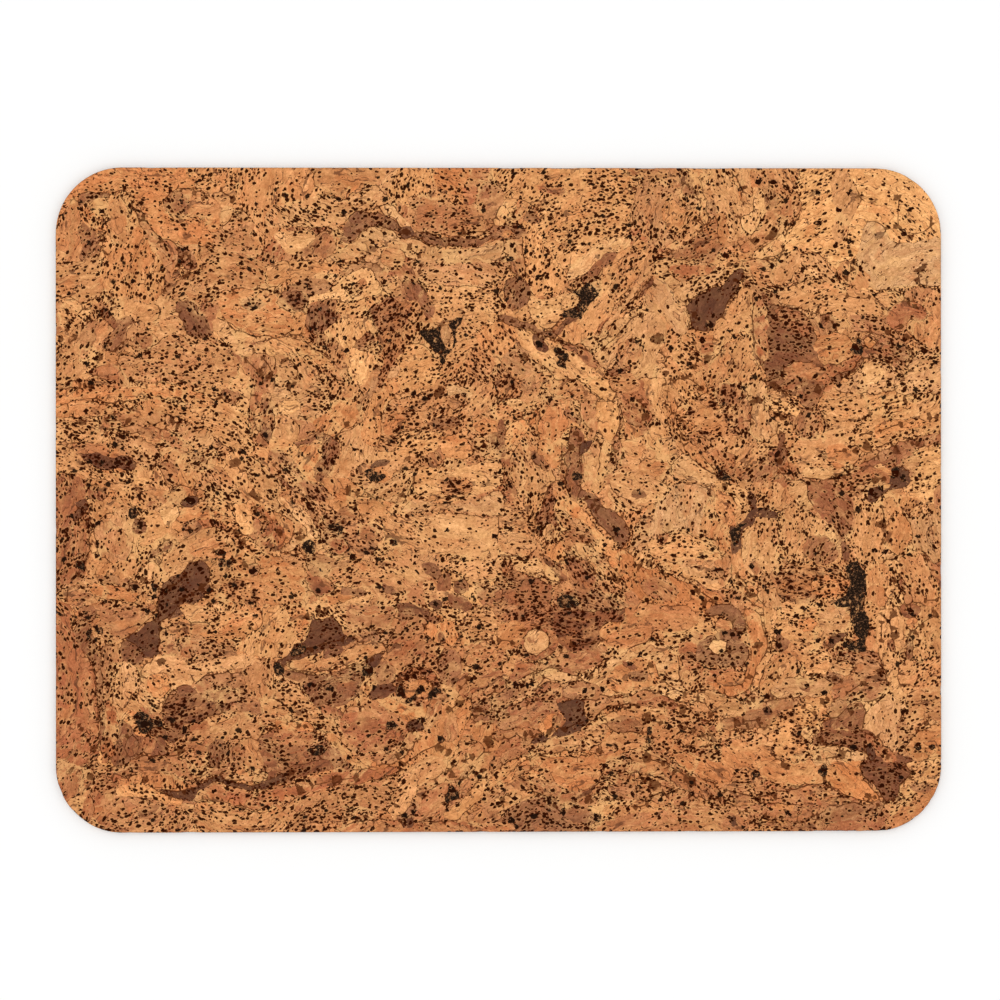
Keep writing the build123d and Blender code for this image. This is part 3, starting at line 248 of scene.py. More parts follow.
    ("l", 3, 2, 20, [(-161.5, -7.0), (-156.0, -5.2), (-151.5, -7.0), (-147.9, -10.7), (-149.7, -15.2), (-155.1, -18.8), (-160.5, -21.5), (-162.4, -17.0), (-161.0, -11.6)]),
    ("L", 1, 1, 40, [(-152.4, -2.5), (-148.8, -0.7), (-145.2, -3.4), (-145.2, -7.9), (-148.4, -11.6), (-151.5, -9.3), (-153.3, -5.7)]),
    ("O", 3, 1, 12, [(-145.2, -3.4), (-138.9, -2.5), (-131.6, -3.4), (-125.3, -5.2), (-120.8, -8.8), (-123.5, -11.6), (-129.8, -8.8), (-136.2, -8.8), (-141.6, -11.6), (-145.2, -14.3), (-147.9, -12.5), (-145.2, -7.9)]),
    ("G", 8, 2, 40, [(-142.9, -11.6), (-139.3, -8.8), (-135.7, -9.7), (-134.4, -12.9), (-137.5, -15.6), (-141.6, -16.5), (-143.4, -14.3)]),
    ("G", 4, 1, 45, [(-157.8, -23.3), (-153.3, -20.6), (-149.7, -17.9), (-147.0, -20.6), (-150.6, -23.3), (-155.1, -26.9), (-158.7, -26.9)]),
    ("l", 2, 2, 30, [(-153.3, -32.4), (-150.6, -25.1), (-146.1, -19.7), (-139.8, -16.1), (-133.4, -13.4), (-127.1, -12.5), (-121.7, -16.1), (-118.1, -21.5), (-113.6, -26.0), (-115.4, -33.3), (-120.8, -37.8), (-127.1, -40.5), (-130.7, -36.0), (-131.6, -30.5), (-135.3, -27.8), (-140.7, -28.7), (-145.2, -33.3), (-149.7, -36.0)]),
    ("O", 1, 1, 20, [(-139.8, -19.7), (-133.4, -17.0), (-127.1, -17.0), (-122.6, -20.6), (-120.8, -25.1), (-125.3, -26.9), (-132.5, -25.1), (-138.0, -25.1)]),
    ("T", 7, 1, 20, [(-123.5, -11.6), (-119.0, -9.7), (-114.5, -15.2), (-110.0, -19.7), (-107.3, -23.3), (-111.8, -25.1), (-117.2, -22.4), (-121.7, -17.9)]),
    ("L", 1, 1, -50, [(-120.4, -2.5), (-116.7, -1.2), (-113.1, -4.3), (-111.3, -9.7), (-111.8, -14.3), (-114.5, -16.1), (-117.2, -13.4), (-119.0, -7.9)]),
    ("R", 1, 1, -55, [(-109.5, -3.4), (-106.8, -3.4), (-104.1, -6.6), (-102.3, -9.7), (-104.1, -10.2), (-107.3, -7.5)]),
    ("t", 4, 2, 10, [(-198.5, -41.4), (-193.1, -38.7), (-187.6, -37.8), (-184.0, -40.5), (-184.9, -45.9), (-190.4, -47.7), (-196.7, -45.9)]),
    ("O", 1, 1, 5, [(-184.9, -38.7), (-178.6, -37.8), (-172.3, -38.7), (-166.0, -40.5), (-162.4, -43.2), (-166.9, -45.9), (-175.0, -45.0), (-182.2, -44.1)]),
    ("G", 4, 1, -8, [(-181.3, -35.1), (-176.8, -34.2), (-171.4, -34.6), (-166.4, -36.0), (-164.2, -39.1), (-166.9, -40.5), (-172.3, -38.2), (-177.7, -37.8)]),
    ("G", 3, 2, -20, [(-166.9, -37.8), (-162.4, -37.3), (-160.5, -40.0), (-162.8, -42.3), (-166.0, -40.9)]),
    ("l", 4, 2, 70, [(-163.3, -32.4), (-158.7, -27.8), (-153.3, -29.6), (-151.5, -34.2), (-153.3, -38.7), (-157.8, -42.3), (-161.5, -40.5), (-163.3, -36.9)]),
    ("K", 0, 1, 10, [(-156.9, -37.8), (-154.2, -37.3), (-153.3, -39.6), (-155.1, -40.9), (-156.9, -40.5)]),
    ("D", 7, 2, 35, [(-153.3, -44.1), (-152.9, -40.5), (-150.6, -37.3), (-147.0, -34.6), (-143.8, -32.4), (-141.6, -29.6), (-138.0, -27.8), (-134.4, -27.8), (-131.6, -30.1), (-131.2, -34.2), (-131.2, -38.2), (-128.9, -40.5), (-128.0, -42.8), (-132.5, -44.1), (-136.2, -46.8), (-138.9, -50.4), (-143.4, -52.3), (-148.8, -53.2), (-154.2, -51.4)]),
    ("T", 3, 1, 5, [(-132.5, -42.3), (-127.1, -41.4), (-123.5, -43.7), (-126.2, -46.8), (-131.6, -46.8), (-136.2, -47.7)]),
    ("R", 4, 2, 40, [(-107.3, -12.5), (-102.7, -9.7), (-98.2, -10.7), (-96.9, -14.7), (-97.8, -20.1), (-102.3, -23.8), (-107.3, -22.9), (-110.0, -19.7)]),
    ("O", 2, 2, 0, [(-118.1, -25.1), (-110.9, -23.3), (-103.6, -25.1), (-96.4, -26.9), (-89.2, -29.6), (-88.3, -35.1), (-94.6, -37.8), (-101.8, -37.8), (-109.1, -36.9), (-115.4, -35.1), (-119.0, -30.5)]),
    ("G", 6, 2, 0, [(-113.1, -29.6), (-110.4, -28.3), (-107.7, -29.6), (-108.2, -32.8), (-111.3, -34.6), (-113.6, -32.4)]),
    ("K", 0, 1, 5, [(-127.6, -22.9), (-124.9, -22.4), (-123.5, -24.2), (-124.9, -25.6), (-127.1, -25.1)]),
    ("K", 0, 1, 80, [(-126.7, -26.9), (-124.4, -26.5), (-124.0, -29.2), (-125.8, -30.5), (-127.1, -29.2)]),
    ("K", 0, 1, 80, [(-123.1, -26.9), (-121.3, -26.9), (-120.8, -29.6), (-122.6, -31.0), (-123.5, -29.2)]),
    ("T", 8, 2, 0, [(-124.4, -37.8), (-118.1, -35.1), (-110.9, -36.9), (-104.5, -38.7), (-107.3, -45.0), (-114.5, -46.8), (-121.7, -45.0), (-127.1, -42.3)]),
    ("O", 3, 1, -5, [(-107.3, -38.7), (-100.0, -37.8), (-91.9, -37.8), (-87.4, -40.5), (-89.2, -46.8), (-97.3, -48.6), (-105.4, -45.9)]),
    ("l", 5, 2, 5, [(-104.5, 54.5), (-96.4, 54.5), (-88.3, 52.7), (-81.1, 52.7), (-76.5, 49.0), (-78.3, 42.7), (-82.9, 38.2), (-90.1, 37.3), (-97.3, 37.3), (-103.6, 40.0)]),
    ("L", 0, 1, 5, [(-99.6, 43.6), (-94.6, 45.0), (-90.1, 44.1), (-90.1, 40.9), (-94.6, 39.1), (-99.1, 40.0)]),
    ("T", 6, 3, 70, [(-77.4, 53.6), (-71.1, 54.5), (-65.7, 52.7), (-62.1, 49.0), (-63.0, 45.4), (-67.5, 45.4), (-72.0, 44.5), (-76.5, 46.3)]),
    ("O", 1, 2, 60, [(-74.7, 43.6), (-70.2, 46.3), (-65.7, 44.5), (-62.5, 40.9), (-63.4, 36.4), (-66.6, 33.2), (-71.1, 31.4), (-73.8, 28.7), (-77.4, 27.3), (-82.0, 30.0), (-84.7, 34.6), (-80.2, 37.3), (-76.5, 40.0)]),
    ("G", 2, 1, 62, [(-57.6, 54.5), (-54.0, 54.5), (-55.8, 49.9), (-58.5, 45.4), (-61.6, 41.8), (-63.9, 40.0), (-64.3, 43.6), (-61.2, 47.2), (-58.9, 50.8)]),
    ("O", 2, 2, 82, [(-60.3, 41.8), (-56.7, 47.2), (-54.0, 52.7), (-49.4, 54.5), (-44.9, 52.7), (-46.7, 48.1), (-50.3, 43.6), (-52.2, 38.2), (-53.5, 31.9), (-54.9, 25.5), (-59.4, 24.6), (-62.1, 28.2), (-62.1, 34.6)]),
    ("t", 1, 1, 15, [(-102.7, 34.6), (-97.3, 36.4), (-91.0, 36.4), (-84.7, 34.6), (-82.9, 31.0), (-87.4, 28.2), (-92.8, 26.9), (-99.1, 28.2)]),
    ("l", 1, 1, 10, [(-103.6, 27.3), (-97.3, 27.3), (-92.8, 25.5), (-95.5, 23.3), (-100.0, 21.9), (-104.5, 22.8)]),
    ("B", 3, 1, 25, [(-92.3, 26.4), (-88.3, 26.9), (-84.7, 28.7), (-81.5, 31.4), (-78.3, 30.0), (-75.2, 27.8), (-77.4, 26.0), (-82.0, 26.9), (-85.6, 26.0), (-89.2, 24.6), (-91.9, 24.2)]),
    ("B", 8, 3, 70, [(-80.2, 26.9), (-74.7, 26.9), (-72.0, 22.8), (-73.4, 17.4), (-76.5, 12.9), (-79.3, 8.3), (-82.9, 9.2), (-82.9, 14.7), (-80.2, 20.1)]),
    ("O", 1, 1, 60, [(-94.6, 20.6), (-90.5, 23.3), (-85.6, 24.2), (-82.0, 22.8), (-81.1, 18.3), (-82.4, 12.9), (-83.8, 8.3), (-87.8, 11.1), (-90.5, 15.6)]),
    ("t", 8, 3, -35, [(-103.6, 21.9), (-99.1, 21.9), (-93.7, 19.2), (-91.0, 14.7), (-87.4, 10.1), (-82.9, 7.4), (-77.4, 4.7), (-73.8, 1.1), (-78.3, -0.7), (-84.7, 0.2), (-91.9, 3.8), (-99.1, 7.4), (-103.6, 11.1)]),
    ("t", 6, 2, -30, [(-103.6, 19.2), (-99.1, 16.9), (-94.6, 12.9), (-90.1, 8.3), (-92.8, 5.6), (-98.2, 9.2), (-102.7, 12.9)]),
    ("O", 0, 1, -60, [(-80.2, 8.3), (-75.6, 10.1), (-72.0, 6.5), (-72.9, 2.9), (-76.5, 2.9)]),
    ("l", 1, 3, 80, [(-72.9, 28.2), (-67.5, 31.9), (-62.1, 35.5), (-56.7, 38.2), (-54.0, 36.4), (-54.9, 29.1), (-56.7, 22.8), (-60.3, 18.3), (-63.9, 14.7), (-68.4, 11.1), (-71.1, 7.4), (-74.7, 10.1), (-75.6, 13.8), (-72.0, 19.2), (-71.1, 23.7)]),
    ("O", 0, 1, -20, [(-75.6, 7.4), (-71.1, 10.1), (-65.7, 7.4), (-61.2, 3.8), (-64.8, 1.1), (-70.2, 0.2), (-73.8, 1.1)]),
    ("K", 0, 1, -25, [(-61.2, 12.0), (-58.9, 14.2), (-56.7, 12.9), (-53.5, 12.0), (-51.2, 10.6), (-53.1, 8.3), (-56.7, 8.3), (-59.8, 9.7)]),
    ("D", 4, 1, 15, [(-58.5, 15.6), (-56.2, 17.8), (-52.6, 18.7), (-49.4, 17.4), (-51.2, 15.6), (-54.9, 14.7), (-57.6, 13.8)]),
    ("l", 5, 1, 20, [(-68.0, 10.1), (-63.9, 11.1), (-60.3, 9.2), (-54.9, 7.4), (-50.3, 8.3), (-47.6, 11.5), (-43.1, 12.9), (-38.6, 12.0), (-39.5, 6.5), (-41.8, 1.6), (-44.9, -2.5), (-49.4, -0.7), (-55.8, 1.1), (-62.1, 3.8), (-66.6, 6.5)]),
    ("l", 2, 1, 20, [(-52.2, 15.6), (-46.7, 19.2), (-40.4, 21.0), (-36.8, 17.4), (-37.7, 13.8), (-43.1, 13.8), (-47.6, 12.0), (-51.2, 12.0)]),
    ("T", 7, 1, 25, [(-52.2, 54.5), (-44.9, 47.2), (-37.7, 52.7), (-28.7, 54.5), (-13.3, 54.5), (0.2, 52.7), (0.2, 43.6), (-7.0, 40.0), (-13.3, 35.5), (-18.7, 29.1), (-26.9, 29.1), (-34.1, 27.3), (-40.4, 23.7), (-47.6, 21.9), (-54.9, 22.8), (-53.1, 31.0), (-51.2, 38.2), (-50.3, 44.5)]),
    ("O", 2, 1, 30, [(-50.3, 37.3), (-45.8, 39.1), (-42.2, 35.5), (-44.0, 31.0), (-49.4, 29.1), (-52.2, 31.9)]),
    ("L", 2, 1, 0, [(-24.2, 51.8), (-19.6, 52.7), (-15.1, 50.8), (-11.5, 48.1), (-13.3, 46.3), (-17.8, 48.1), (-22.3, 47.2)]),
    ("G", 0, 1, 0, [(-23.2, 44.5), (-19.6, 45.4), (-16.9, 43.6), (-18.7, 40.9), (-22.3, 41.4)]),
    ("G", 8, 2, 10, [(-29.6, 36.4), (-24.2, 38.2), (-18.7, 37.3), (-17.8, 33.7), (-22.3, 31.9), (-27.8, 31.9)]),
    ("l", 5, 1, 20, [(-44.0, 29.1), (-34.1, 31.0), (-25.1, 30.0), (-26.0, 24.6), (-31.4, 20.1), (-38.6, 18.3), (-44.9, 20.1), (-47.6, 23.7)]),
    ("O", 1, 1, 0, [(-26.9, 27.3), (-21.4, 29.1), (-15.1, 27.3), (-11.5, 23.7), (-13.3, 19.2), (-19.6, 18.3), (-25.1, 20.1)]),
    ("l", 2, 1, -2, [(-35.9, 15.6), (-26.9, 14.7), (-17.8, 14.7), (-9.7, 16.5), (-1.6, 18.3), (2.0, 13.8), (0.2, 6.5), (-7.0, 2.9), (-15.1, 0.2), (-23.2, -0.7), (-31.4, 0.2), (-36.8, 2.9), (-38.6, 7.4), (-36.8, 12.0)]),
    ("T", 8, 1, 0, [(-26.9, 9.2), (-19.6, 10.1), (-13.3, 8.3), (-12.4, 3.8), (-18.7, 2.0), (-25.1, 2.9)]),
    ("O", 1, 1, 10, [(-11.5, 34.6), (-5.2, 36.4), (0.2, 34.6), (0.2, 31.0), (-6.1, 30.0), (-10.6, 31.0)]),
    ("G", 5, 2, 60, [(-3.4, 31.0), (0.2, 31.9), (2.9, 27.3), (2.0, 21.0), (-2.5, 21.9), (-4.3, 26.4)]),
    ("t", 3, 1, 0, [(-11.5, 27.3), (-5.2, 27.3), (-3.4, 22.8), (-7.0, 19.2), (-11.5, 20.1)]),
    ("l", 1, 1, -45, [(-107.3, -1.6), (-103.6, 1.1), (-98.2, -0.7), (-91.9, -2.5), (-87.4, -7.0), (-83.8, -12.5), (-82.9, -17.0), (-87.4, -18.3), (-91.0, -20.6), (-94.6, -23.8), (-98.2, -23.8), (-101.8, -22.0), (-100.0, -17.9), (-94.6, -14.3), (-95.5, -8.8), (-100.9, -6.1)]),
    ("L", 1, 1, -50, [(-100.9, 1.1), (-94.6, 0.2), (-88.3, -4.3), (-83.8, -10.7), (-82.0, -16.5), (-85.6, -17.0), (-88.3, -11.6), (-93.7, -6.1), (-99.1, -2.5)]),
    ("O", 0, 1, -50, [(-101.8, -5.2), (-96.4, -7.0), (-92.8, -11.6), (-93.7, -17.0), (-96.4, -19.7), (-98.2, -15.2), (-100.0, -10.7)]),
    ("R", 3, 1, -80, [(-102.3, -11.1), (-99.1, -10.7), (-96.9, -13.8), (-97.3, -18.3), (-100.5, -20.6), (-102.3, -17.9)]),
    ("t", 8, 2, -65, [(-88.3, -1.6), (-84.7, -2.5), (-81.1, -6.1), (-78.3, -11.6), (-79.3, -17.9), (-82.0, -20.6), (-82.4, -14.3), (-84.7, -7.9)]),
    ("K", 0, 1, 60, [(-88.3, -18.8), (-85.1, -17.9), (-82.9, -20.1), (-83.3, -23.3), (-86.5, -24.7), (-88.7, -22.9)]),
    ("O", 1, 1, -5, [(-78.3, 0.2), (-72.9, 0.2), (-66.6, 1.1), (-60.3, 2.0), (-54.0, 0.2), (-48.5, -3.4), (-50.3, -7.0), (-56.7, -8.8), (-63.9, -7.9), (-70.2, -6.1), (-75.6, -4.3)]),
    ("G", 4, 1, 10, [(-71.1, -3.4), (-65.7, -3.4), (-63.0, -6.1), (-66.6, -8.8), (-71.1, -7.9)]),
    ("T", 9, 2, -10, [(-78.3, -5.2), (-71.1, -7.0), (-63.0, -8.8), (-55.8, -10.7), (-52.2, -15.2), (-54.0, -21.5), (-59.4, -25.1), (-66.6, -26.0), (-73.8, -25.1), (-79.3, -21.5), (-80.2, -14.3)]),
    ("K", 0, 1, 0, [(-74.7, -11.6), (-72.0, -10.7), (-70.2, -13.4), (-71.6, -16.1), (-74.3, -15.2)]),
    ("R", 3, 1, -30, [(-76.5, -17.0), (-71.1, -17.0), (-68.4, -20.6), (-70.2, -24.2), (-75.6, -23.3)]),
    ("G", 2, 1, 0, [(-62.1, -11.6), (-56.7, -11.6), (-54.9, -16.1), (-58.5, -18.8), (-63.0, -17.0)]),
    ("l", 2, 2, -5, [(-51.2, -7.9), (-43.1, -6.1), (-34.1, -7.0), (-24.2, -6.1), (-14.2, -7.0), (-5.2, -7.9), (2.0, -10.7), (2.0, -26.9), (-5.2, -27.8), (-13.3, -26.0), (-22.3, -25.1), (-31.4, -25.1), (-39.5, -23.3), (-46.7, -20.6), (-52.2, -17.0)]),
    ("L", 0, 1, -8, [(-26.9, -8.8), (-17.8, -9.7), (-8.8, -12.5), (-3.4, -15.2), (-8.8, -17.9), (-17.8, -16.1), (-25.1, -13.4)]),
    ("l", 1, 1, 5, [(-38.6, 0.2), (-28.7, -1.6), (-18.7, -1.6), (-9.7, 0.2), (0.2, 3.8), (2.0, -7.0), (-7.0, -6.1), (-17.8, -5.2), (-26.9, -4.3), (-35.9, -5.2), (-44.9, -5.2)]),
    ("K", 0, 1, 5, [(-49.9, -18.3), (-47.2, -17.4), (-45.8, -19.2), (-47.6, -20.6), (-49.4, -20.1)]),
    ("T", 6, 2, -5, [(-78.3, -26.9), (-70.2, -26.9), (-61.2, -26.9), (-52.2, -27.8), (-44.0, -26.9), (-37.7, -29.6), (-35.9, -35.1), (-39.5, -39.6), (-46.7, -39.6), (-54.9, -38.7), (-63.0, -38.7), (-71.1, -36.9), (-76.5, -34.2)]),
    ("G", 5, 1, 12, [(-88.3, -25.1), (-82.9, -24.2), (-77.4, -26.0), (-72.0, -27.8), (-67.5, -26.9), (-70.2, -30.1), (-75.6, -31.9), (-79.3, -34.6), (-83.3, -35.1), (-86.0, -32.4)]),
    ("T", 7, 1, 0, [(-97.3, -25.1), (-91.0, -24.2), (-87.4, -26.9), (-90.1, -30.5), (-95.5, -28.7)]),
    ("R", 8, 2, -20, [(-87.4, -35.1), (-82.0, -34.2), (-76.5, -36.0), (-74.7, -40.5), (-79.3, -43.2), (-84.7, -41.4)]),
    ("O", 3, 1, -5, [(-80.2, -40.5), (-72.0, -38.7), (-64.8, -40.5), (-67.5, -45.0), (-74.7, -46.8), (-81.1, -45.9)]),
    ("B", 3, 1, -5, [(-70.2, -39.6), (-64.8, -39.6), (-59.4, -41.4), (-61.2, -43.7), (-66.6, -43.2), (-71.1, -42.3)]),
    ("B", 3, 1, -20, [(-53.1, -37.8), (-49.4, -38.7), (-46.7, -41.4), (-50.3, -42.3), (-53.5, -40.5)]),
    ("B", 1, 1, -30, [(-35.4, -29.2), (-31.4, -28.3), (-28.2, -30.1), (-26.4, -32.8), (-26.9, -36.0), (-29.6, -36.4), (-32.3, -34.6), (-34.5, -31.9)]),
    ("B", 1, 1, 80, [(-26.9, -34.2), (-24.2, -32.8), (-22.3, -35.5), (-22.3, -39.6), (-25.1, -41.9), (-27.8, -40.0), (-27.8, -36.9)]),
    ("B", 1, 1, -40, [(-20.5, -36.9), (-17.4, -35.5), (-14.2, -37.3), (-13.8, -40.5), (-16.5, -42.8), (-20.1, -40.9)]),
    ("B", 1, 1, -25, [(-23.2, -42.3), (-18.7, -42.8), (-14.2, -45.0), (-12.4, -48.6), (-17.8, -50.4), (-22.3, -47.7)]),
    ("l", 3, 1, 20, [(-34.1, -36.9), (-29.6, -36.9), (-26.9, -41.4), (-22.3, -41.4), (-19.6, -43.2), (-24.2, -44.1), (-29.6, -43.2), (-34.1, -41.4)]),
    ("l", 5, 2, 0, [(-25.1, -27.8), (-16.9, -26.9), (-8.8, -27.8), (0.2, -29.6), (0.2, -35.1), (-7.0, -36.9), (-12.4, -38.7), (-16.9, -35.1), (-21.4, -32.4)]),
    ("G", 5, 2, 0, [(-10.6, -38.7), (-5.2, -37.8), (0.2, -39.6), (1.1, -45.0), (-5.2, -47.7), (-10.6, -44.1)]),
    ("B", 2, 1, -12, [(-46.7, -46.4), (-41.3, -46.4), (-35.9, -48.2), (-31.4, -50.9), (-33.2, -54.1), (-39.5, -52.3), (-44.9, -50.4)]),
    ("D", 2, 1, 0, [(-31.4, -45.9), (-27.8, -45.0), (-26.0, -47.3), (-28.7, -49.5), (-31.4, -48.6)]),
    ("T", 8, 1, 60, [(-0.7, 54.5), (7.5, 54.5), (11.1, 49.9), (7.5, 45.4), (2.0, 44.5), (-0.7, 45.4)]),
    ("L", 2, 1, 10, [(2.9, 44.5), (6.6, 45.9), (11.1, 44.5), (12.4, 41.8), (9.3, 40.0), (4.8, 41.4)]),
    ("O", 4, 2, 20, [(5.7, 38.2), (10.2, 40.0), (16.5, 40.9), (18.3, 38.2), (12.9, 36.4), (6.6, 35.5)]),
    ("O", 1, 1, 45, [(1.1, 29.1), (5.7, 34.6), (12.0, 37.3), (16.5, 36.4), (13.8, 32.8), (9.3, 28.2), (4.8, 24.6), (1.1, 22.8)]),
    ("B", 5, 2, 70, [(-0.7, 34.6), (2.0, 36.4), (2.9, 31.0), (2.0, 25.5), (2.9, 21.9), (-0.7, 20.1)]),
    ("G", 6, 2, -50, [(11.1, 54.5), (15.6, 54.5), (16.5, 49.9), (12.0, 48.1), (8.4, 49.9)]),
    ("G", 6, 2, -20, [(20.1, 49.0), (25.5, 46.3), (28.2, 43.6), (24.6, 41.8), (20.1, 43.6)]),
    ("T", 3, 1, 30, [(18.3, 52.7), (25.5, 54.5), (36.4, 54.5), (40.9, 49.0), (43.6, 45.4), (39.1, 43.6), (33.7, 45.4), (27.3, 47.2), (21.9, 49.0)]),
    ("L", 1, 1, 0, [(35.5, 54.5), (48.1, 54.5), (50.8, 49.9), (52.6, 46.3), (48.1, 44.5), (43.6, 47.2), (39.1, 51.8)]),
    ("O", 1, 1, 75, [(19.2, 40.9), (25.5, 44.5), (31.9, 45.4), (34.6, 40.9), (33.7, 35.5), (30.9, 31.9), (28.2, 26.4), (27.3, 21.9), (22.8, 20.1), (18.3, 25.5), (17.4, 31.9), (18.3, 36.4)]),
    ("G", 7, 1, -40, [(29.1, 40.9), (33.7, 40.0), (36.4, 36.4), (36.4, 33.7), (32.8, 35.9), (29.1, 37.7)]),
    ("B", 1, 1, 85, [(32.3, 31.9), (35.0, 32.8), (37.7, 30.0), (38.2, 26.4), (37.7, 21.9), (36.8, 17.4), (37.3, 12.9), (36.4, 8.3), (37.3, 4.7), (40.0, 2.0), (37.3, 0.2), (33.7, -0.3), (30.9, 2.5), (29.6, 6.1), (30.0, 11.1), (30.9, 14.7), (29.1, 18.3), (28.2, 17.4), (29.1, 20.1), (30.9, 23.7), (31.9, 28.2)]),
    ("D", 0, 1, 85, [(36.4, 24.6), (40.0, 26.4), (41.8, 27.3), (41.8, 24.6), (39.1, 21.9), (36.8, 20.1)]),
    ("K", 0, 1, 0, [(33.2, 12.0), (36.8, 12.0), (36.8, 9.2), (33.2, 9.2)]),
    ("B", 1, 1, -50, [(37.3, 4.3), (41.8, 2.5), (45.4, -0.3), (47.2, -3.0), (50.8, -4.8), (54.4, -7.5), (56.7, -10.2), (58.0, -13.4), (59.0, -16.5), (57.6, -19.2), (55.3, -21.1), (52.6, -19.2), (49.9, -16.5), (47.2, -13.4), (44.0, -9.7), (41.8, -6.6), (40.0, -3.0), (37.7, -0.3), (35.0, 0.2)]),
    ("K", 0, 1, 0, [(52.2, -12.5), (54.4, -12.0), (54.9, -14.3), (53.1, -14.7)]),
    ("T", 0, 1, -75, [(37.3, 20.1), (40.0, 23.7), (42.7, 27.3), (45.4, 22.8), (46.3, 17.4), (44.5, 12.0), (42.7, 7.4), (40.0, 5.6), (37.7, 8.3), (38.2, 14.7)]),
    ("l", 1, 1, 88, [(42.7, 43.6), (48.1, 44.5), (52.6, 43.6), (54.4, 38.2), (53.5, 31.9), (50.8, 27.3), (47.2, 28.2), (44.5, 32.8), (42.7, 38.2)]),
    ("t", 2, 1, 85, [(37.3, 43.6), (42.7, 44.5), (43.6, 38.2), (44.5, 31.9), (41.8, 28.2), (38.2, 31.0), (36.4, 36.4)]),
    ("l", 3, 1, 85, [(45.4, 22.8), (48.1, 27.3), (50.8, 21.9), (50.8, 16.5), (48.1, 12.0), (47.2, 6.5), (44.5, 2.9), (40.9, 4.7), (43.6, 10.1), (45.4, 16.5)]),
    ("R", 3, 2, 80, [(53.5, 45.4), (55.3, 40.0), (56.2, 34.6), (54.4, 31.0), (55.3, 25.5), (56.2, 20.1), (57.1, 17.4), (53.5, 16.5), (49.9, 12.0), (48.1, 13.8), (49.9, 18.3), (51.3, 22.8), (51.3, 28.2), (53.5, 31.9), (54.0, 38.2)]),
    ("R", 4, 2, -50, [(48.1, 54.5), (63.5, 54.5), (65.3, 49.0), (67.1, 44.5), (68.0, 40.0), (68.9, 36.4), (65.3, 32.8), (60.8, 34.6), (56.2, 37.3), (55.3, 41.8), (53.5, 46.3), (50.8, 49.9)]),
    ("B", 2, 1, -20, [(58.0, 36.4), (61.7, 35.5), (64.4, 33.7), (61.7, 32.8), (58.5, 34.1)]),
    ("O", 2, 1, -75, [(56.2, 34.6), (59.9, 32.8), (63.5, 31.0), (59.9, 27.3), (57.1, 29.1)]),
    ("R", 0, 1, 30, [(55.3, 18.3), (58.0, 17.4), (57.1, 14.7), (54.9, 15.6)]),
    ("G", 4, 1, 30, [(48.6, 16.0), (51.3, 17.4), (53.5, 15.6), (51.7, 13.3), (49.0, 12.0)]),
    ("l", 1, 1, -80, [(63.5, 54.5), (74.3, 54.5), (76.1, 47.2), (76.1, 40.9), (74.3, 34.6), (75.2, 28.2), (77.9, 22.8), (74.3, 20.1), (68.0, 23.7), (63.5, 27.3), (68.0, 31.9), (70.7, 36.4), (68.9, 41.8), (67.1, 47.2)]),
    ("l", 0, 1, 88, [(71.6, 54.5), (76.1, 52.7), (75.2, 46.3), (72.5, 45.4)]),
    ("T", 1, 1, -80, [(76.1, 52.7), (78.8, 47.2), (77.9, 40.9), (80.6, 34.6), (84.2, 29.1), (87.9, 23.7), (91.5, 17.4), (96.9, 12.0), (99.6, 6.5), (96.0, 6.5), (91.5, 11.1), (87.0, 16.5), (82.4, 22.8), (77.9, 29.1), (76.1, 36.4), (75.2, 43.6)]),
    ("O", 1, 1, -60, [(77.9, 45.4), (80.6, 42.7), (79.7, 38.2), (80.6, 32.8), (85.1, 27.3), (89.7, 21.9), (95.1, 15.6), (98.7, 12.0), (95.1, 12.0), (90.6, 15.6), (86.0, 20.1), (81.5, 27.3), (77.9, 34.6)]),
    ("l", 3, 1, -70, [(77.9, 54.5), (83.3, 53.6), (87.0, 49.0), (88.8, 44.5), (87.0, 41.8), (84.2, 44.5), (81.5, 48.1), (78.8, 50.8)]),
    ("T", 8, 1, 20, [(86.0, 41.8), (90.6, 47.2), (96.0, 49.9), (101.4, 49.0), (105.9, 47.2), (105.9, 40.0), (102.3, 31.9), (97.8, 27.3), (92.4, 31.0), (87.9, 34.6), (85.1, 38.2)]),
    ("T", 9, 1, 10, [(90.6, 45.4), (99.6, 47.2), (106.8, 44.5), (106.8, 27.3), (100.5, 21.9), (93.3, 26.4), (87.9, 32.8)]),
    ("t", 6, 1, -50, [(87.9, 27.3), (93.3, 27.3), (100.5, 21.9), (106.8, 18.3), (106.8, 6.5), (101.4, 10.1), (96.0, 15.6), (90.6, 21.0)]),
    ("l", 0, 1, -2, [(56.2, 27.3), (63.5, 29.1), (72.5, 28.2), (78.8, 24.6), (80.6, 19.2), (77.9, 14.7), (71.6, 12.0), (63.5, 12.9), (58.0, 15.6), (56.2, 21.9)]),
    ("O", 0, 1, -2, [(63.5, 17.4), (70.7, 18.3), (77.0, 16.5), (75.2, 12.0), (68.0, 11.1), (63.5, 12.9)]),
    ("L", 5, 1, 40, [(72.5, 27.3), (76.1, 29.1), (79.7, 26.4), (78.8, 22.8), (74.3, 22.8)]),
    ("l", 3, 1, -10, [(56.2, 13.8), (63.5, 11.1), (70.7, 9.2), (76.1, 6.5), (74.3, 1.1), (68.0, -2.5), (61.7, -1.6), (55.3, 1.1), (50.8, 5.6), (50.8, 11.1)]),
    ("L", 1, 1, -10, [(79.7, 19.2), (85.1, 21.0), (90.6, 19.2), (96.0, 13.8), (98.7, 8.3), (94.2, 6.5), (87.9, 7.4), (81.5, 9.2), (77.9, 12.9)]),
    ("L", 2, 1, 85, [(74.3, 4.7), (81.5, 7.4), (90.6, 6.5), (96.9, 3.8), (96.0, -1.6), (92.4, -5.2), (90.6, -11.6), (89.7, -16.1), (83.3, -13.4), (76.1, -15.2), (70.7, -17.9), (67.1, -16.1), (68.9, -9.7), (70.7, -3.4)]),
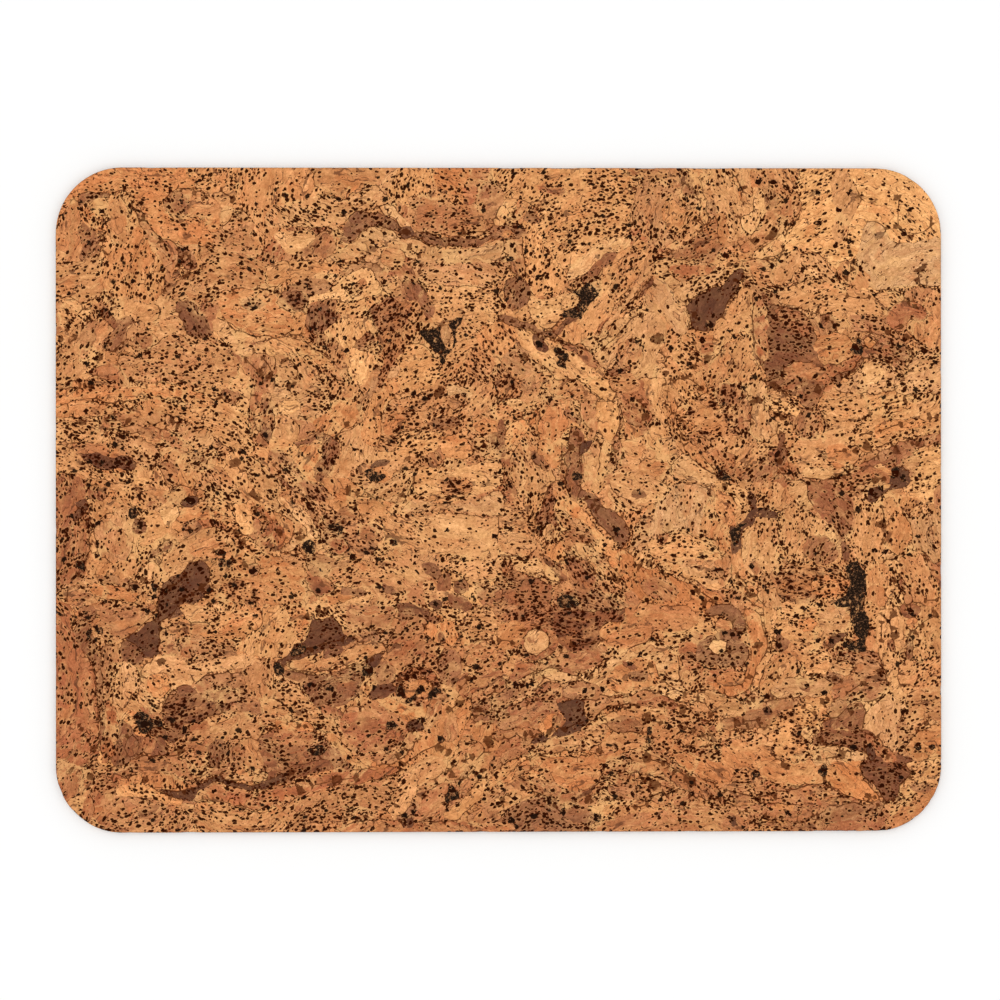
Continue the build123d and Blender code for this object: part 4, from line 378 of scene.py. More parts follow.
    ("B", 5, 2, 30, [(60.3, 3.8), (64.4, 4.7), (66.2, 2.0), (62.6, 0.2), (59.4, 1.1)]),
    ("O", 2, 1, 70, [(96.0, 0.2), (101.4, 2.0), (105.9, 0.2), (106.8, -17.9), (102.3, -21.5), (96.0, -17.9), (91.5, -15.2), (92.4, -8.8), (93.3, -3.4)]),
    ("l", 2, 1, 0, [(68.0, -18.8), (76.1, -16.1), (83.3, -15.2), (90.6, -17.9), (96.9, -21.5), (103.2, -25.1), (105.9, -29.6), (103.2, -37.8), (96.9, -40.5), (90.6, -37.8), (84.2, -35.1), (77.9, -31.5), (71.6, -26.9), (67.1, -23.3)]),
    ("l", 0, 1, 0, [(81.5, -26.9), (90.6, -26.9), (99.6, -29.6), (103.2, -35.1), (96.0, -37.8), (87.9, -34.2), (82.4, -31.5)]),
    ("R", 1, 1, 60, [(72.5, -16.1), (76.1, -14.3), (76.1, -17.9), (73.9, -20.6), (72.0, -19.2)]),
    ("G", 6, 2, -20, [(93.3, -32.4), (97.8, -30.5), (102.3, -32.4), (99.6, -36.0), (95.1, -36.0)]),
    ("O", 2, 1, -50, [(52.6, -22.4), (58.0, -23.3), (62.6, -29.6), (68.0, -31.5), (73.4, -32.4), (78.8, -35.1), (86.0, -37.8), (93.3, -40.5), (99.6, -43.2), (99.6, -50.4), (90.6, -50.4), (81.5, -47.7), (72.5, -48.6), (65.3, -45.0), (59.0, -40.5), (54.4, -36.0), (50.8, -29.6)]),
    ("R", 2, 1, -30, [(65.3, -36.0), (71.6, -35.1), (77.9, -37.8), (81.5, -42.3), (76.1, -45.9), (68.9, -44.1), (64.4, -40.5)]),
    ("O", 0, 1, -50, [(23.7, 1.1), (29.1, 0.2), (34.6, -1.6), (39.1, -5.2), (41.8, -9.7), (45.4, -14.3), (49.0, -19.7), (52.6, -22.4), (54.4, -27.8), (50.8, -29.6), (46.3, -26.0), (40.9, -21.5), (36.4, -17.0), (32.8, -12.5), (28.2, -7.9), (24.6, -3.4)]),
    ("T", 1, 1, -55, [(27.3, 9.2), (30.0, 5.6), (30.9, 1.1), (28.2, -0.7), (24.6, 2.0), (23.7, 6.5)]),
    ("l", 3, 1, -80, [(9.3, 27.3), (13.8, 31.9), (18.3, 27.3), (16.5, 21.9), (14.7, 16.5), (19.2, 13.8), (23.7, 12.0), (25.5, 9.2), (22.8, 5.6), (21.0, 2.0), (19.2, -2.5), (17.4, -6.1), (14.7, -10.7), (12.9, -4.3), (9.3, 0.2), (6.6, 6.5), (4.8, 13.8), (6.6, 21.0)]),
    ("L", 0, 1, 80, [(21.9, 13.8), (25.1, 11.1), (24.2, 8.3), (21.5, 5.6), (20.6, 8.3)]),
    ("G", 4, 1, -50, [(13.8, 22.8), (17.4, 20.1), (21.0, 16.5), (21.9, 13.8), (18.3, 14.7), (14.7, 18.3)]),
    ("O", 1, 2, -80, [(17.4, 25.5), (21.9, 27.3), (27.3, 24.6), (28.2, 20.1), (27.3, 15.6), (23.7, 13.8), (20.1, 18.3), (17.4, 21.9)]),
    ("G", 8, 1, 60, [(21.9, 5.6), (25.5, 8.3), (27.3, 3.8), (25.5, -1.6), (24.6, -6.1), (26.4, -9.7), (23.7, -13.4), (20.1, -15.2), (16.5, -12.5), (16.9, -7.9), (19.2, -3.4), (21.0, 1.1)]),
    ("l", 7, 1, 60, [(16.9, -10.7), (21.9, -12.5), (26.4, -13.4), (27.3, -17.9), (24.6, -21.5), (21.0, -22.4), (17.4, -20.6), (15.6, -16.1)]),
    ("L", 1, 1, 80, [(21.0, -11.6), (23.7, -10.7), (25.5, -13.4), (24.2, -17.0), (21.5, -18.8), (19.7, -15.2)]),
    ("t", 5, 1, -40, [(25.5, -3.4), (30.9, -6.1), (35.5, -8.8), (40.9, -14.3), (41.8, -17.0), (37.3, -15.2), (31.9, -13.4), (27.3, -10.7)]),
    ("G", 5, 1, -35, [(27.3, -14.3), (32.8, -12.5), (38.2, -14.3), (43.6, -17.0), (46.3, -17.9), (42.7, -21.5), (38.2, -20.1), (32.8, -19.2), (28.2, -17.9)]),
    ("T", 3, 1, -50, [(29.1, -19.7), (35.5, -20.6), (40.9, -21.5), (46.3, -24.2), (50.8, -29.6), (55.3, -36.0), (59.9, -41.4), (55.3, -41.4), (49.0, -36.9), (43.6, -31.5), (38.2, -26.9), (32.8, -23.3)]),
    ("G", 6, 1, -50, [(39.1, -21.5), (43.6, -23.3), (48.1, -27.8), (46.3, -29.6), (41.8, -26.9), (38.6, -24.2)]),
    ("O", 1, 1, -45, [(32.8, -20.1), (37.3, -21.1), (40.0, -25.1), (44.5, -29.6), (49.0, -34.2), (45.4, -32.4), (40.0, -27.8), (35.5, -24.2)]),
    ("G", 9, 1, -50, [(30.0, -23.3), (34.6, -22.4), (38.2, -26.9), (42.7, -31.5), (45.4, -36.0), (43.6, -41.4), (37.3, -42.3), (32.8, -38.7), (30.9, -33.3), (30.0, -27.8)]),
    ("B", 4, 2, -40, [(20.1, -25.1), (23.7, -26.9), (27.3, -28.7), (28.2, -33.3), (30.9, -36.0), (27.3, -37.8), (23.7, -34.2), (21.0, -29.6)]),
    ("O", 2, 1, 80, [(21.9, -19.7), (27.3, -20.6), (30.0, -25.1), (28.2, -28.7), (23.7, -26.9), (21.0, -23.3)]),
    ("L", 1, 1, -45, [(20.1, -29.6), (22.8, -30.5), (26.4, -34.2), (27.3, -36.9), (23.7, -36.4), (20.6, -34.2)]),
    ("l", 1, 2, 0, [(0.2, 0.2), (6.6, -4.3), (11.1, -8.8), (13.8, -15.2), (16.5, -21.5), (12.9, -25.1), (6.6, -26.0), (0.2, -25.1)]),
    ("L", 6, 1, 0, [(4.8, -25.1), (11.1, -26.0), (18.3, -26.9), (19.2, -32.4), (13.8, -34.2), (7.5, -31.5)]),
    ("R", 7, 2, 0, [(-0.7, -33.3), (6.6, -32.4), (13.8, -34.2), (20.1, -36.9), (23.7, -40.5), (21.9, -46.8), (14.7, -49.5), (-0.7, -49.5)]),
    ("G", 8, 2, 10, [(3.9, -33.3), (8.4, -32.4), (12.0, -35.1), (8.4, -39.6), (3.9, -38.7)]),
    ("G", 9, 2, -20, [(25.5, -42.3), (32.8, -40.5), (41.8, -41.4), (50.8, -39.6), (58.0, -42.3), (59.9, -46.8), (53.5, -49.5), (27.3, -49.5)]),
    ("K", 1, 1, 5, [(26.4, -44.1), (30.9, -43.2), (35.5, -45.5), (34.6, -48.6), (30.0, -49.1), (26.4, -47.7)]),
    ("t", 6, 1, -35, [(45.4, -36.0), (51.7, -38.7), (58.0, -41.4), (63.5, -45.0), (59.9, -47.7), (52.6, -45.0), (46.3, -41.4)]),
    ("B", 1, 1, 20, [(121.3, 54.5), (132.1, 54.5), (141.1, 54.5), (147.5, 51.8), (145.7, 47.2), (143.9, 43.6), (141.1, 40.9), (137.5, 42.7), (135.7, 46.3), (131.2, 48.1), (125.8, 49.9), (122.2, 49.9)]),
    ("R", 0, 1, 40, [(127.6, 50.8), (135.7, 51.8), (136.6, 46.3), (132.1, 48.1)]),
    ("l", 1, 1, 10, [(122.2, 47.2), (125.8, 49.0), (130.3, 46.3), (133.9, 43.6), (129.4, 41.8), (124.0, 42.7)]),
    ("L", 5, 1, 0, [(124.9, 45.4), (131.2, 43.6), (136.6, 40.0), (134.8, 37.3), (128.5, 39.1), (124.0, 40.9)]),
    ("l", 2, 1, 85, [(114.1, 54.5), (121.3, 53.6), (121.3, 48.1), (119.5, 42.7), (122.2, 38.2), (125.8, 34.6), (124.9, 29.1), (120.4, 26.4), (115.0, 28.2), (112.2, 34.6), (113.1, 41.8), (112.2, 48.1)]),
    ("t", 8, 2, 80, [(97.8, 50.8), (105.9, 52.7), (111.3, 49.0), (112.2, 43.6), (109.5, 40.9), (104.1, 41.8), (98.7, 43.6)]),
    ("R", 2, 1, 85, [(109.5, 41.8), (113.1, 43.6), (114.1, 38.2), (113.1, 32.8), (110.4, 30.0), (107.7, 33.7), (107.7, 38.2)]),
    ("T", 5, 1, 60, [(97.8, 27.3), (105.0, 29.1), (111.3, 28.2), (115.9, 24.6), (116.8, 18.3), (112.2, 13.8), (105.0, 15.6), (98.7, 20.1)]),
    ("t", 4, 1, 50, [(100.5, 17.4), (109.5, 14.7), (116.8, 15.6), (123.1, 18.3), (127.6, 15.6), (124.9, 10.1), (117.7, 8.3), (109.5, 9.2), (103.2, 12.0)]),
    ("K", 1, 1, -40, [(98.7, 12.0), (100.5, 13.8), (102.8, 12.0), (105.0, 9.2), (102.3, 9.2), (99.6, 9.2)]),
    ("L", 3, 1, -25, [(97.8, 9.2), (104.1, 7.4), (109.5, 5.6), (113.1, 2.0), (110.4, -3.4), (104.1, -5.2), (97.8, -4.3)]),
    ("O", 1, 1, -40, [(97.8, 3.8), (103.2, 2.9), (106.8, -0.7), (105.9, -5.2), (100.5, -7.9), (97.8, -7.0)]),
    ("T", 6, 3, 70, [(114.1, 6.5), (119.5, 8.3), (125.8, 7.4), (130.3, 4.7), (132.1, 0.2), (129.4, -3.4), (124.0, -4.3), (118.6, -2.5), (115.0, 1.1)]),
    ("B", 5, 2, 80, [(126.7, 29.1), (129.4, 30.0), (129.4, 24.6), (131.2, 21.0), (129.4, 17.4), (126.7, 14.7), (124.0, 16.5), (125.8, 21.9)]),
    ("R", 5, 1, -60, [(122.2, 23.7), (126.7, 22.8), (129.4, 18.3), (131.2, 13.8), (133.9, 10.1), (131.2, 9.2), (127.6, 12.0), (124.9, 16.5), (122.2, 19.2)]),
    ("t", 6, 2, 60, [(133.0, 40.0), (138.4, 41.8), (144.8, 40.9), (145.7, 36.4), (143.9, 31.9), (142.1, 27.3), (137.5, 27.3), (133.9, 31.0), (131.2, 35.5)]),
    ("l", 2, 2, 10, [(135.7, 32.8), (144.8, 29.1), (152.0, 34.6), (158.3, 31.9), (162.8, 26.4), (163.7, 20.1), (158.3, 14.7), (152.0, 11.1), (143.9, 10.1), (137.5, 12.0), (133.9, 17.4), (132.1, 23.7), (132.1, 29.1)]),
    ("O", 1, 1, 0, [(147.5, 23.7), (153.8, 25.5), (159.2, 21.9), (158.3, 16.5), (152.9, 13.8), (148.4, 17.4)]),
    ("L", 1, 1, 0, [(138.4, 14.7), (144.8, 13.8), (151.1, 14.7), (150.2, 10.1), (143.0, 9.2), (137.5, 11.1)]),
    ("l", 5, 1, 25, [(146.6, 50.8), (153.8, 52.7), (162.8, 54.5), (180.9, 54.5), (200.3, 54.5), (200.3, 40.0), (189.9, 39.1), (180.9, 40.0), (171.9, 37.3), (163.7, 33.7), (156.5, 31.9), (149.3, 34.6), (145.7, 41.8)]),
    ("l", 3, 1, 30, [(166.4, 45.4), (175.5, 49.0), (184.5, 47.2), (188.1, 42.7), (180.9, 40.0), (171.9, 39.1)]),
    ("l", 3, 2, 18, [(162.8, 31.9), (170.1, 36.4), (179.1, 39.1), (188.1, 40.9), (200.3, 40.0), (200.3, 31.9), (189.9, 30.0), (180.9, 28.2), (173.7, 24.6), (166.4, 21.9), (161.0, 25.5)]),
    ("O", 1, 1, 18, [(171.9, 33.7), (180.9, 36.4), (189.9, 36.8), (194.4, 34.6), (186.3, 31.9), (177.3, 30.0), (170.1, 27.3)]),
    ("R", 2, 1, 22, [(158.3, 11.1), (161.9, 14.7), (167.3, 17.4), (173.7, 21.9), (180.9, 25.5), (187.2, 27.3), (194.4, 29.1), (200.3, 29.6), (200.3, 24.6), (193.5, 22.8), (187.2, 20.6), (184.5, 16.5), (189.0, 14.7), (186.3, 10.1), (180.9, 10.1), (177.3, 12.9), (171.9, 16.5), (165.5, 13.8)]),
    ("R", 4, 2, 10, [(152.0, 10.1), (157.4, 12.0), (162.8, 13.8), (168.2, 14.7), (173.7, 12.9), (177.3, 10.1), (174.6, 6.5), (168.2, 4.7), (161.9, 2.9), (156.5, 3.8), (152.9, 6.5)]),
    ("t", 1, 1, 5, [(183.6, 17.4), (188.1, 21.0), (190.8, 18.3), (189.0, 12.9), (184.5, 13.8)]),
    ("D", 1, 1, 30, [(177.7, 13.8), (181.8, 14.7), (185.4, 12.4), (185.9, 8.8), (183.2, 5.6), (179.5, 5.6), (175.9, 3.8), (171.9, 1.1), (168.2, -1.2), (166.4, 0.2), (166.9, 4.7), (171.0, 6.1), (175.5, 7.4), (177.3, 10.1)]),
    ("K", 0, 1, 60, [(177.7, 13.8), (180.9, 13.8), (180.0, 10.1), (177.7, 10.1)]),
    ("L", 0, 1, -10, [(172.8, 6.5), (175.5, 7.4), (176.8, 6.1), (174.6, 4.7)]),
    ("L", 4, 2, 20, [(188.1, 22.8), (194.4, 24.6), (200.3, 24.2), (200.3, 11.1), (194.4, 10.1), (189.0, 12.0), (189.0, 17.4)]),
    ("T", 8, 2, 30, [(184.5, 9.2), (191.7, 11.1), (200.3, 9.2), (200.3, 0.2), (194.4, -2.5), (187.2, 0.2), (182.7, 3.8)]),
    ("l", 8, 2, 60, [(180.9, 0.2), (187.2, 1.1), (192.6, -2.5), (189.9, -7.9), (183.6, -6.1)]),
    ("R", 2, 1, 88, [(197.2, 5.6), (200.3, 6.5), (200.3, -4.3), (198.1, -6.1), (196.7, -0.7)]),
    ("R", 2, 1, -35, [(138.4, 7.4), (144.8, 8.3), (151.1, 9.2), (156.5, 6.5), (158.3, 2.0), (160.1, -3.4), (159.7, -9.7), (158.3, -15.2), (155.6, -18.8), (152.9, -17.9), (151.1, -14.3), (148.4, -10.7), (144.8, -7.0), (142.1, -2.5), (139.3, 2.0)]),
    ("B", 5, 2, -50, [(151.1, 0.2), (157.4, 1.1), (160.1, -4.3), (159.7, -10.7), (158.3, -16.1), (154.7, -17.9), (152.0, -13.4), (150.2, -7.0)]),
    ("L", 1, 1, 30, [(131.2, 6.5), (135.7, 9.2), (139.3, 6.5), (139.3, 1.1), (142.1, -3.4), (138.4, -5.2), (133.9, -0.7), (131.2, 2.9)]),
    ("l", 5, 2, 80, [(126.7, -5.2), (133.0, -2.5), (139.3, -4.3), (144.8, -7.9), (150.2, -13.4), (152.9, -19.7), (149.3, -25.1), (142.1, -27.8), (134.8, -27.8), (128.5, -23.3), (124.9, -16.1), (124.9, -9.7)]),
    ("G", 5, 1, 60, [(138.4, -17.9), (145.7, -16.1), (152.0, -19.7), (153.8, -25.1), (149.3, -29.6), (142.1, -28.7), (137.5, -23.3)]),
    ("l", 4, 1, 85, [(116.8, -7.9), (122.2, -7.0), (125.8, -10.7), (125.8, -19.7), (124.9, -27.8), (121.3, -34.2), (116.8, -32.4), (115.0, -23.3), (115.0, -15.2)]),
    ("L", 0, 1, 85, [(110.4, -17.9), (114.1, -13.4), (116.8, -17.9), (116.8, -26.9), (115.0, -34.2), (111.3, -31.5), (109.5, -25.1)]),
    ("D", 0, 1, 75, [(112.2, 2.9), (114.1, 3.4), (115.9, 0.2), (116.3, -3.0), (119.5, -3.4), (122.6, -4.8), (125.8, -6.6), (125.8, -8.4), (121.3, -7.9), (116.8, -7.9), (115.0, -10.7), (112.2, -12.9), (110.0, -14.7), (109.5, -17.9), (109.1, -21.5), (107.7, -23.8), (105.5, -24.2), (104.6, -20.6), (104.6, -16.1), (103.7, -13.4), (107.3, -11.6), (110.4, -9.3), (113.1, -6.1), (113.6, -2.5), (112.2, -0.3)]),
    ("K", 0, 1, 70, [(105.0, -13.4), (109.5, -10.7), (112.2, -10.7), (109.5, -13.8), (108.6, -18.8), (105.9, -20.6), (104.6, -17.0)]),
    ("O", 2, 1, 70, [(101.4, -8.8), (106.8, -7.0), (104.1, -12.5), (103.2, -17.9), (102.3, -25.1), (99.6, -25.1), (98.7, -17.9)]),
    ("T", 1, 1, 85, [(97.8, -26.9), (102.3, -25.1), (105.0, -29.6), (104.1, -36.0), (100.5, -38.7), (96.9, -34.2)]),
    ("O", 1, 1, -60, [(105.0, -25.1), (110.4, -26.9), (112.2, -33.3), (115.9, -40.5), (120.4, -47.7), (115.0, -47.7), (109.5, -42.3), (105.0, -36.0)]),
    ("G", 1, 1, 60, [(113.1, -28.3), (116.8, -27.8), (118.6, -31.5), (116.3, -34.2), (113.1, -31.9)]),
    ("l", 4, 3, 88, [(161.0, 2.0), (167.3, -2.5), (174.6, 2.0), (181.8, 2.0), (181.8, -6.1), (178.2, -13.4), (174.6, -20.6), (171.9, -26.9), (167.3, -29.6), (161.9, -26.9), (159.2, -20.6), (161.0, -13.4), (161.0, -5.2)]),
    ("O", 1, 1, 80, [(176.4, -8.8), (181.8, -6.1), (186.3, -10.7), (186.3, -17.9), (182.7, -25.1), (177.3, -23.3), (174.6, -16.1)]),
    ("l", 4, 2, -85, [(182.7, -3.4), (189.9, -5.2), (197.2, -6.1), (200.3, -5.2), (200.3, -13.4), (196.2, -17.9), (191.7, -21.5), (187.2, -20.6), (185.4, -13.4)]),
    ("R", 1, 1, 75, [(191.7, -17.0), (195.3, -14.3), (197.2, -17.9), (200.3, -16.1), (200.3, -25.1), (198.1, -29.6), (193.5, -26.0), (190.8, -21.5)]),
    ("R", 0, 1, -60, [(192.6, -25.1), (196.2, -28.7), (200.3, -29.6), (200.3, -38.7), (197.2, -35.1), (194.4, -30.5)]),
    ("T", 3, 2, -70, [(182.7, -25.1), (189.9, -23.3), (193.5, -29.6), (197.2, -36.9), (200.3, -41.4), (200.3, -46.8), (194.4, -48.6), (187.2, -45.0), (182.7, -37.8), (180.9, -30.5)]),
    ("B", 2, 1, -60, [(194.4, -23.8), (198.1, -25.1), (200.3, -27.8), (197.2, -28.3), (194.4, -26.0)]),
    ("K", 0, 1, 85, [(159.2, -28.7), (161.9, -27.8), (163.3, -30.5), (165.5, -32.4), (166.4, -36.9), (165.5, -42.3), (164.6, -46.8), (161.0, -48.6), (156.5, -48.6), (152.0, -47.7), (149.3, -45.9), (152.9, -45.0), (156.5, -43.7), (157.9, -39.6), (158.3, -35.1), (156.5, -31.5)]),
    ("B", 1, 1, 80, [(155.1, -17.9), (157.4, -20.6), (158.8, -25.1), (156.5, -27.8), (154.7, -24.2)]),
    ("O", 7, 3, 0, [(141.1, -36.9), (146.6, -34.2), (153.8, -34.2), (157.9, -36.9), (157.4, -41.4), (152.9, -44.1), (146.6, -44.1), (142.1, -41.4)]),
    ("T", 9, 1, 0, [(131.2, -28.7), (138.4, -30.5), (145.7, -30.5), (152.9, -31.5), (152.9, -35.1), (144.8, -35.1), (141.1, -38.7), (141.1, -44.1), (133.9, -45.9), (126.7, -44.1), (124.9, -37.8), (126.7, -32.4)]),
    ("l", 3, 3, -85, [(166.4, -29.6), (173.7, -27.8), (180.0, -26.9), (181.8, -34.2), (182.7, -42.3), (180.9, -48.6), (168.2, -48.6), (166.4, -42.3)]),
    ("O", 1, 1, 80, [(166.4, -40.5), (171.9, -38.7), (175.5, -42.3), (174.6, -47.7), (168.2, -47.7)]),
    ("R", 3, 1, -65, [(180.9, -34.2), (184.5, -39.6), (187.2, -45.9), (184.5, -47.7), (181.8, -41.4)]),
    ("l", 1, 1, -80, [(117.7, -34.2), (122.2, -36.0), (124.9, -42.3), (126.7, -48.6), (120.4, -48.6), (116.8, -42.3)]),
    ("G", 5, 2, 0, [(119.5, -36.9), (124.0, -36.9), (124.0, -40.5), (120.4, -40.5)]),
    ("R", 4, 1, 85, [(-199.8, -46.8), (-194.9, -46.8), (-192.2, -54.1), (-191.3, -63.1), (-187.6, -68.5), (-184.0, -73.1), (-182.2, -81.2), (-181.3, -90.2), (-180.4, -99.3), (-180.4, -110.1), (-182.2, -117.4), (-189.5, -120.1), (-195.8, -118.3), (-199.8, -115.6)]),
    ("R", 2, 1, 88, [(-189.5, -69.4), (-185.8, -71.2), (-183.1, -77.6), (-182.2, -85.7), (-181.3, -94.8), (-180.9, -103.8), (-184.0, -106.5), (-186.7, -101.1), (-188.5, -93.0), (-188.5, -83.0), (-190.4, -74.9)]),
    ("t", 2, 1, 88, [(-187.6, -85.7), (-184.0, -86.6), (-182.7, -93.0), (-182.7, -100.2), (-185.8, -100.2), (-187.6, -93.9)]),
    ("B", 2, 1, 75, [(-190.4, -55.9), (-186.7, -54.1), (-183.6, -59.5), (-181.8, -66.7), (-180.0, -73.1), (-179.1, -82.1), (-178.6, -91.1), (-177.7, -100.2), (-177.3, -109.2), (-179.5, -113.8), (-180.4, -106.5), (-180.4, -97.5), (-181.3, -88.4), (-182.2, -79.4), (-184.0, -73.1), (-187.2, -69.0), (-189.9, -64.9), (-191.3, -60.4)]),
    ("t", 3, 1, 5, [(-182.2, -47.7), (-173.2, -46.8), (-162.4, -46.8), (-155.1, -47.7), (-157.8, -53.2), (-163.3, -58.6), (-169.6, -63.1), (-176.8, -64.0), (-181.3, -58.6), (-184.0, -53.2)]),
    ("G", 7, 2, 10, [(-189.5, -48.6), (-184.0, -47.7), (-181.3, -51.4), (-184.0, -55.0), (-188.5, -53.2)]),
    ("K", 0, 1, 20, [(-182.2, -56.8), (-180.0, -57.2), (-179.1, -59.5), (-180.9, -60.4), (-182.7, -58.6)]),
    ("K", 0, 1, 80, [(-185.8, -58.6), (-184.0, -59.0), (-183.6, -61.3), (-185.4, -61.8), (-186.7, -60.4)]),
    ("t", 6, 1, 85, [(-180.4, -64.0), (-172.3, -64.9), (-168.7, -67.6), (-170.5, -74.0), (-174.1, -80.3), (-175.0, -87.5), (-175.0, -97.5), (-176.8, -106.5), (-178.6, -97.5), (-179.5, -87.5), (-179.5, -77.6), (-180.4, -70.3)]),
    ("l", 4, 1, 88, [(-172.7, -74.0), (-168.7, -71.7), (-165.1, -74.9), (-162.4, -79.4), (-162.8, -85.7), (-166.4, -89.3), (-169.1, -93.9), (-172.7, -92.0), (-174.1, -86.6), (-172.7, -81.2)]),
    ("D", 3, 1, 45, [(-153.3, -46.8), (-154.2, -51.4), (-157.8, -54.5), (-161.5, -58.1), (-165.1, -60.4), (-169.1, -63.1), (-165.1, -64.0), (-162.4, -66.7), (-161.0, -70.3), (-156.9, -70.8), (-152.4, -69.4), (-153.3, -63.1), (-152.9, -55.9), (-147.9, -51.4), (-145.2, -46.8)]),
    ("B", 3, 1, 40, [(-169.6, -63.6), (-165.1, -64.0), (-162.4, -67.2), (-160.5, -71.2), (-164.2, -74.9), (-168.7, -72.2), (-171.4, -67.6)]),
    ("R", 3, 2, 0, [(-153.3, -64.9), (-148.8, -63.6), (-144.7, -64.9), (-145.2, -68.5), (-149.7, -70.3), (-153.3, -69.0)]),
    ("T", 5, 2, 10, [(-151.5, -52.3), (-144.3, -48.6), (-137.1, -47.7), (-128.9, -49.5), (-125.3, -53.2), (-128.0, -57.7), (-135.3, -60.4), (-143.4, -61.3), (-149.7, -59.5), (-153.3, -56.8)]),
    ("l", 4, 2, 0, [(-144.3, -47.7), (-136.2, -46.8), (-128.9, -49.5), (-127.1, -53.2), (-133.4, -55.0), (-140.7, -54.1)]),
    ("O", 3, 1, 10, [(-135.3, -54.1), (-125.3, -50.4), (-114.5, -49.5), (-107.3, -51.4), (-107.3, -56.8), (-114.5, -61.3), (-123.5, -64.0), (-131.6, -63.1), (-137.1, -59.5)]),
    ("G", 6, 2, -50, [(-144.3, -63.1), (-139.8, -64.0), (-137.1, -69.4), (-140.7, -71.2), (-143.4, -67.6)]),
    ("T", 3, 1, 5, [(-142.5, -62.2), (-135.3, -63.1), (-127.1, -66.7), (-128.9, -70.3), (-135.3, -70.3), (-139.8, -67.6)]),
    ("l", 2, 1, 0, [(-161.5, -77.6), (-158.3, -73.5), (-153.8, -70.8), (-148.4, -70.3), (-143.4, -71.2), (-138.0, -74.0), (-130.7, -72.2), (-120.8, -70.3), (-110.0, -70.3), (-107.3, -74.0), (-112.7, -75.8), (-121.7, -76.2), (-129.8, -77.6), (-134.4, -80.3), (-138.9, -83.0), (-144.3, -84.8), (-148.4, -87.1), (-151.1, -90.2), (-154.2, -93.0), (-158.3, -92.0), (-161.0, -88.4), (-161.9, -83.0)]),
    ("O", 1, 1, -50, [(-157.8, -79.4), (-151.5, -78.5), (-147.9, -83.0), (-150.6, -87.5), (-155.1, -89.3), (-158.7, -85.7)]),
    ("l", 3, 1, 60, [(-107.3, -47.7), (-100.0, -47.7), (-95.5, -52.3), (-92.8, -58.6), (-91.0, -63.1), (-92.8, -67.6), (-97.3, -70.3), (-101.8, -71.2), (-107.3, -70.3), (-113.6, -69.4), (-117.2, -66.7), (-112.7, -61.3), (-109.1, -55.0)]),
    ("T", 3, 1, 85, [(-113.6, -75.8), (-109.1, -72.2), (-104.5, -72.2), (-100.9, -74.9), (-101.8, -81.2), (-100.9, -88.4), (-106.3, -91.1), (-111.8, -87.5), (-115.4, -83.0)]),
    ("t", 7, 2, 15, [(-137.1, -83.0), (-132.5, -79.8), (-127.1, -78.5), (-121.7, -77.6), (-116.3, -78.5), (-114.5, -83.0), (-117.2, -85.7), (-123.5, -83.9), (-128.9, -85.7), (-134.4, -86.6)]),
    ("B", 5, 2, 20, [(-145.2, -84.8), (-140.7, -83.9), (-137.1, -86.6), (-139.8, -89.3), (-144.3, -88.4)]),
    ("B", 8, 2, 30, [(-151.5, -92.0), (-147.0, -87.5), (-140.7, -89.3), (-135.3, -86.6), (-128.9, -84.8), (-122.6, -85.7), (-119.9, -91.1), (-123.5, -95.7), (-130.7, -97.5), (-136.2, -101.1), (-142.5, -103.8), (-148.8, -103.8), (-151.5, -98.4)]),
    ("t", 1, 1, 20, [(-135.3, -87.5), (-128.9, -85.7), (-121.7, -84.8), (-117.2, -87.5), (-120.8, -91.1), (-128.9, -91.1)]),
    ("G", 6, 2, 0, [(-119.0, -85.7), (-112.7, -87.5), (-107.3, -93.0), (-109.1, -97.5), (-115.4, -95.7), (-119.9, -92.0)]),
    ("T", 6, 1, 0, [(-107.3, -90.2), (-100.0, -90.2), (-93.7, -95.7), (-93.7, -101.1), (-100.0, -102.9), (-106.3, -102.0), (-110.0, -97.5)]),
    ("R", 2, 1, -30, [(-161.5, -93.0), (-156.9, -93.9), (-152.4, -97.5), (-155.1, -99.3), (-159.6, -97.5)]),
    ("K", 1, 1, -15, [(-164.6, -96.6), (-161.0, -95.2), (-157.8, -97.5), (-154.2, -99.3), (-151.5, -100.2), (-152.4, -102.9), (-156.5, -102.9), (-158.7, -105.2), (-161.9, -104.3), (-163.3, -101.1), (-165.1, -98.8)]),
    ("B", 6, 2, -10, [(-157.8, -99.3), (-152.4, -102.0), (-146.1, -103.8), (-139.8, -102.9), (-141.6, -106.5), (-147.9, -109.2), (-154.2, -107.4), (-158.7, -104.7)]),
    ("R", 7, 2, 85, [(-177.7, -90.2), (-173.2, -93.0), (-171.4, -99.3), (-172.3, -108.3), (-175.0, -116.5), (-178.6, -118.3), (-179.5, -110.1), (-177.7, -102.0)]),
    ("B", 1, 1, 78, [(-171.4, -100.2), (-166.9, -101.1), (-164.2, -105.6), (-160.5, -106.5), (-158.7, -111.0), (-161.5, -114.7), (-166.9, -117.4), (-173.2, -120.1), (-175.0, -117.4), (-172.3, -110.1)]),
    ("B", 1, 1, 75, [(-166.9, -106.5), (-163.3, -107.4), (-163.3, -112.9), (-166.9, -115.6), (-169.1, -111.9)]),
    ("B", 2, 1, -60, [(-155.1, -106.5), (-150.6, -109.2), (-149.7, -113.8), (-154.2, -115.6), (-157.8, -113.8), (-156.9, -110.1)]),
    ("R", 1, 1, 80, [(-160.5, -108.3), (-157.4, -106.5), (-154.7, -109.2), (-155.6, -112.9), (-158.7, -114.2), (-161.5, -111.9)]),
    ("R", 5, 1, 15, [(-146.1, -108.3), (-138.9, -107.4), (-131.6, -109.2), (-128.0, -114.7), (-130.7, -119.2), (-137.1, -121.9), (-143.4, -124.6), (-148.8, -121.0), (-151.5, -116.5), (-148.8, -111.9)]),
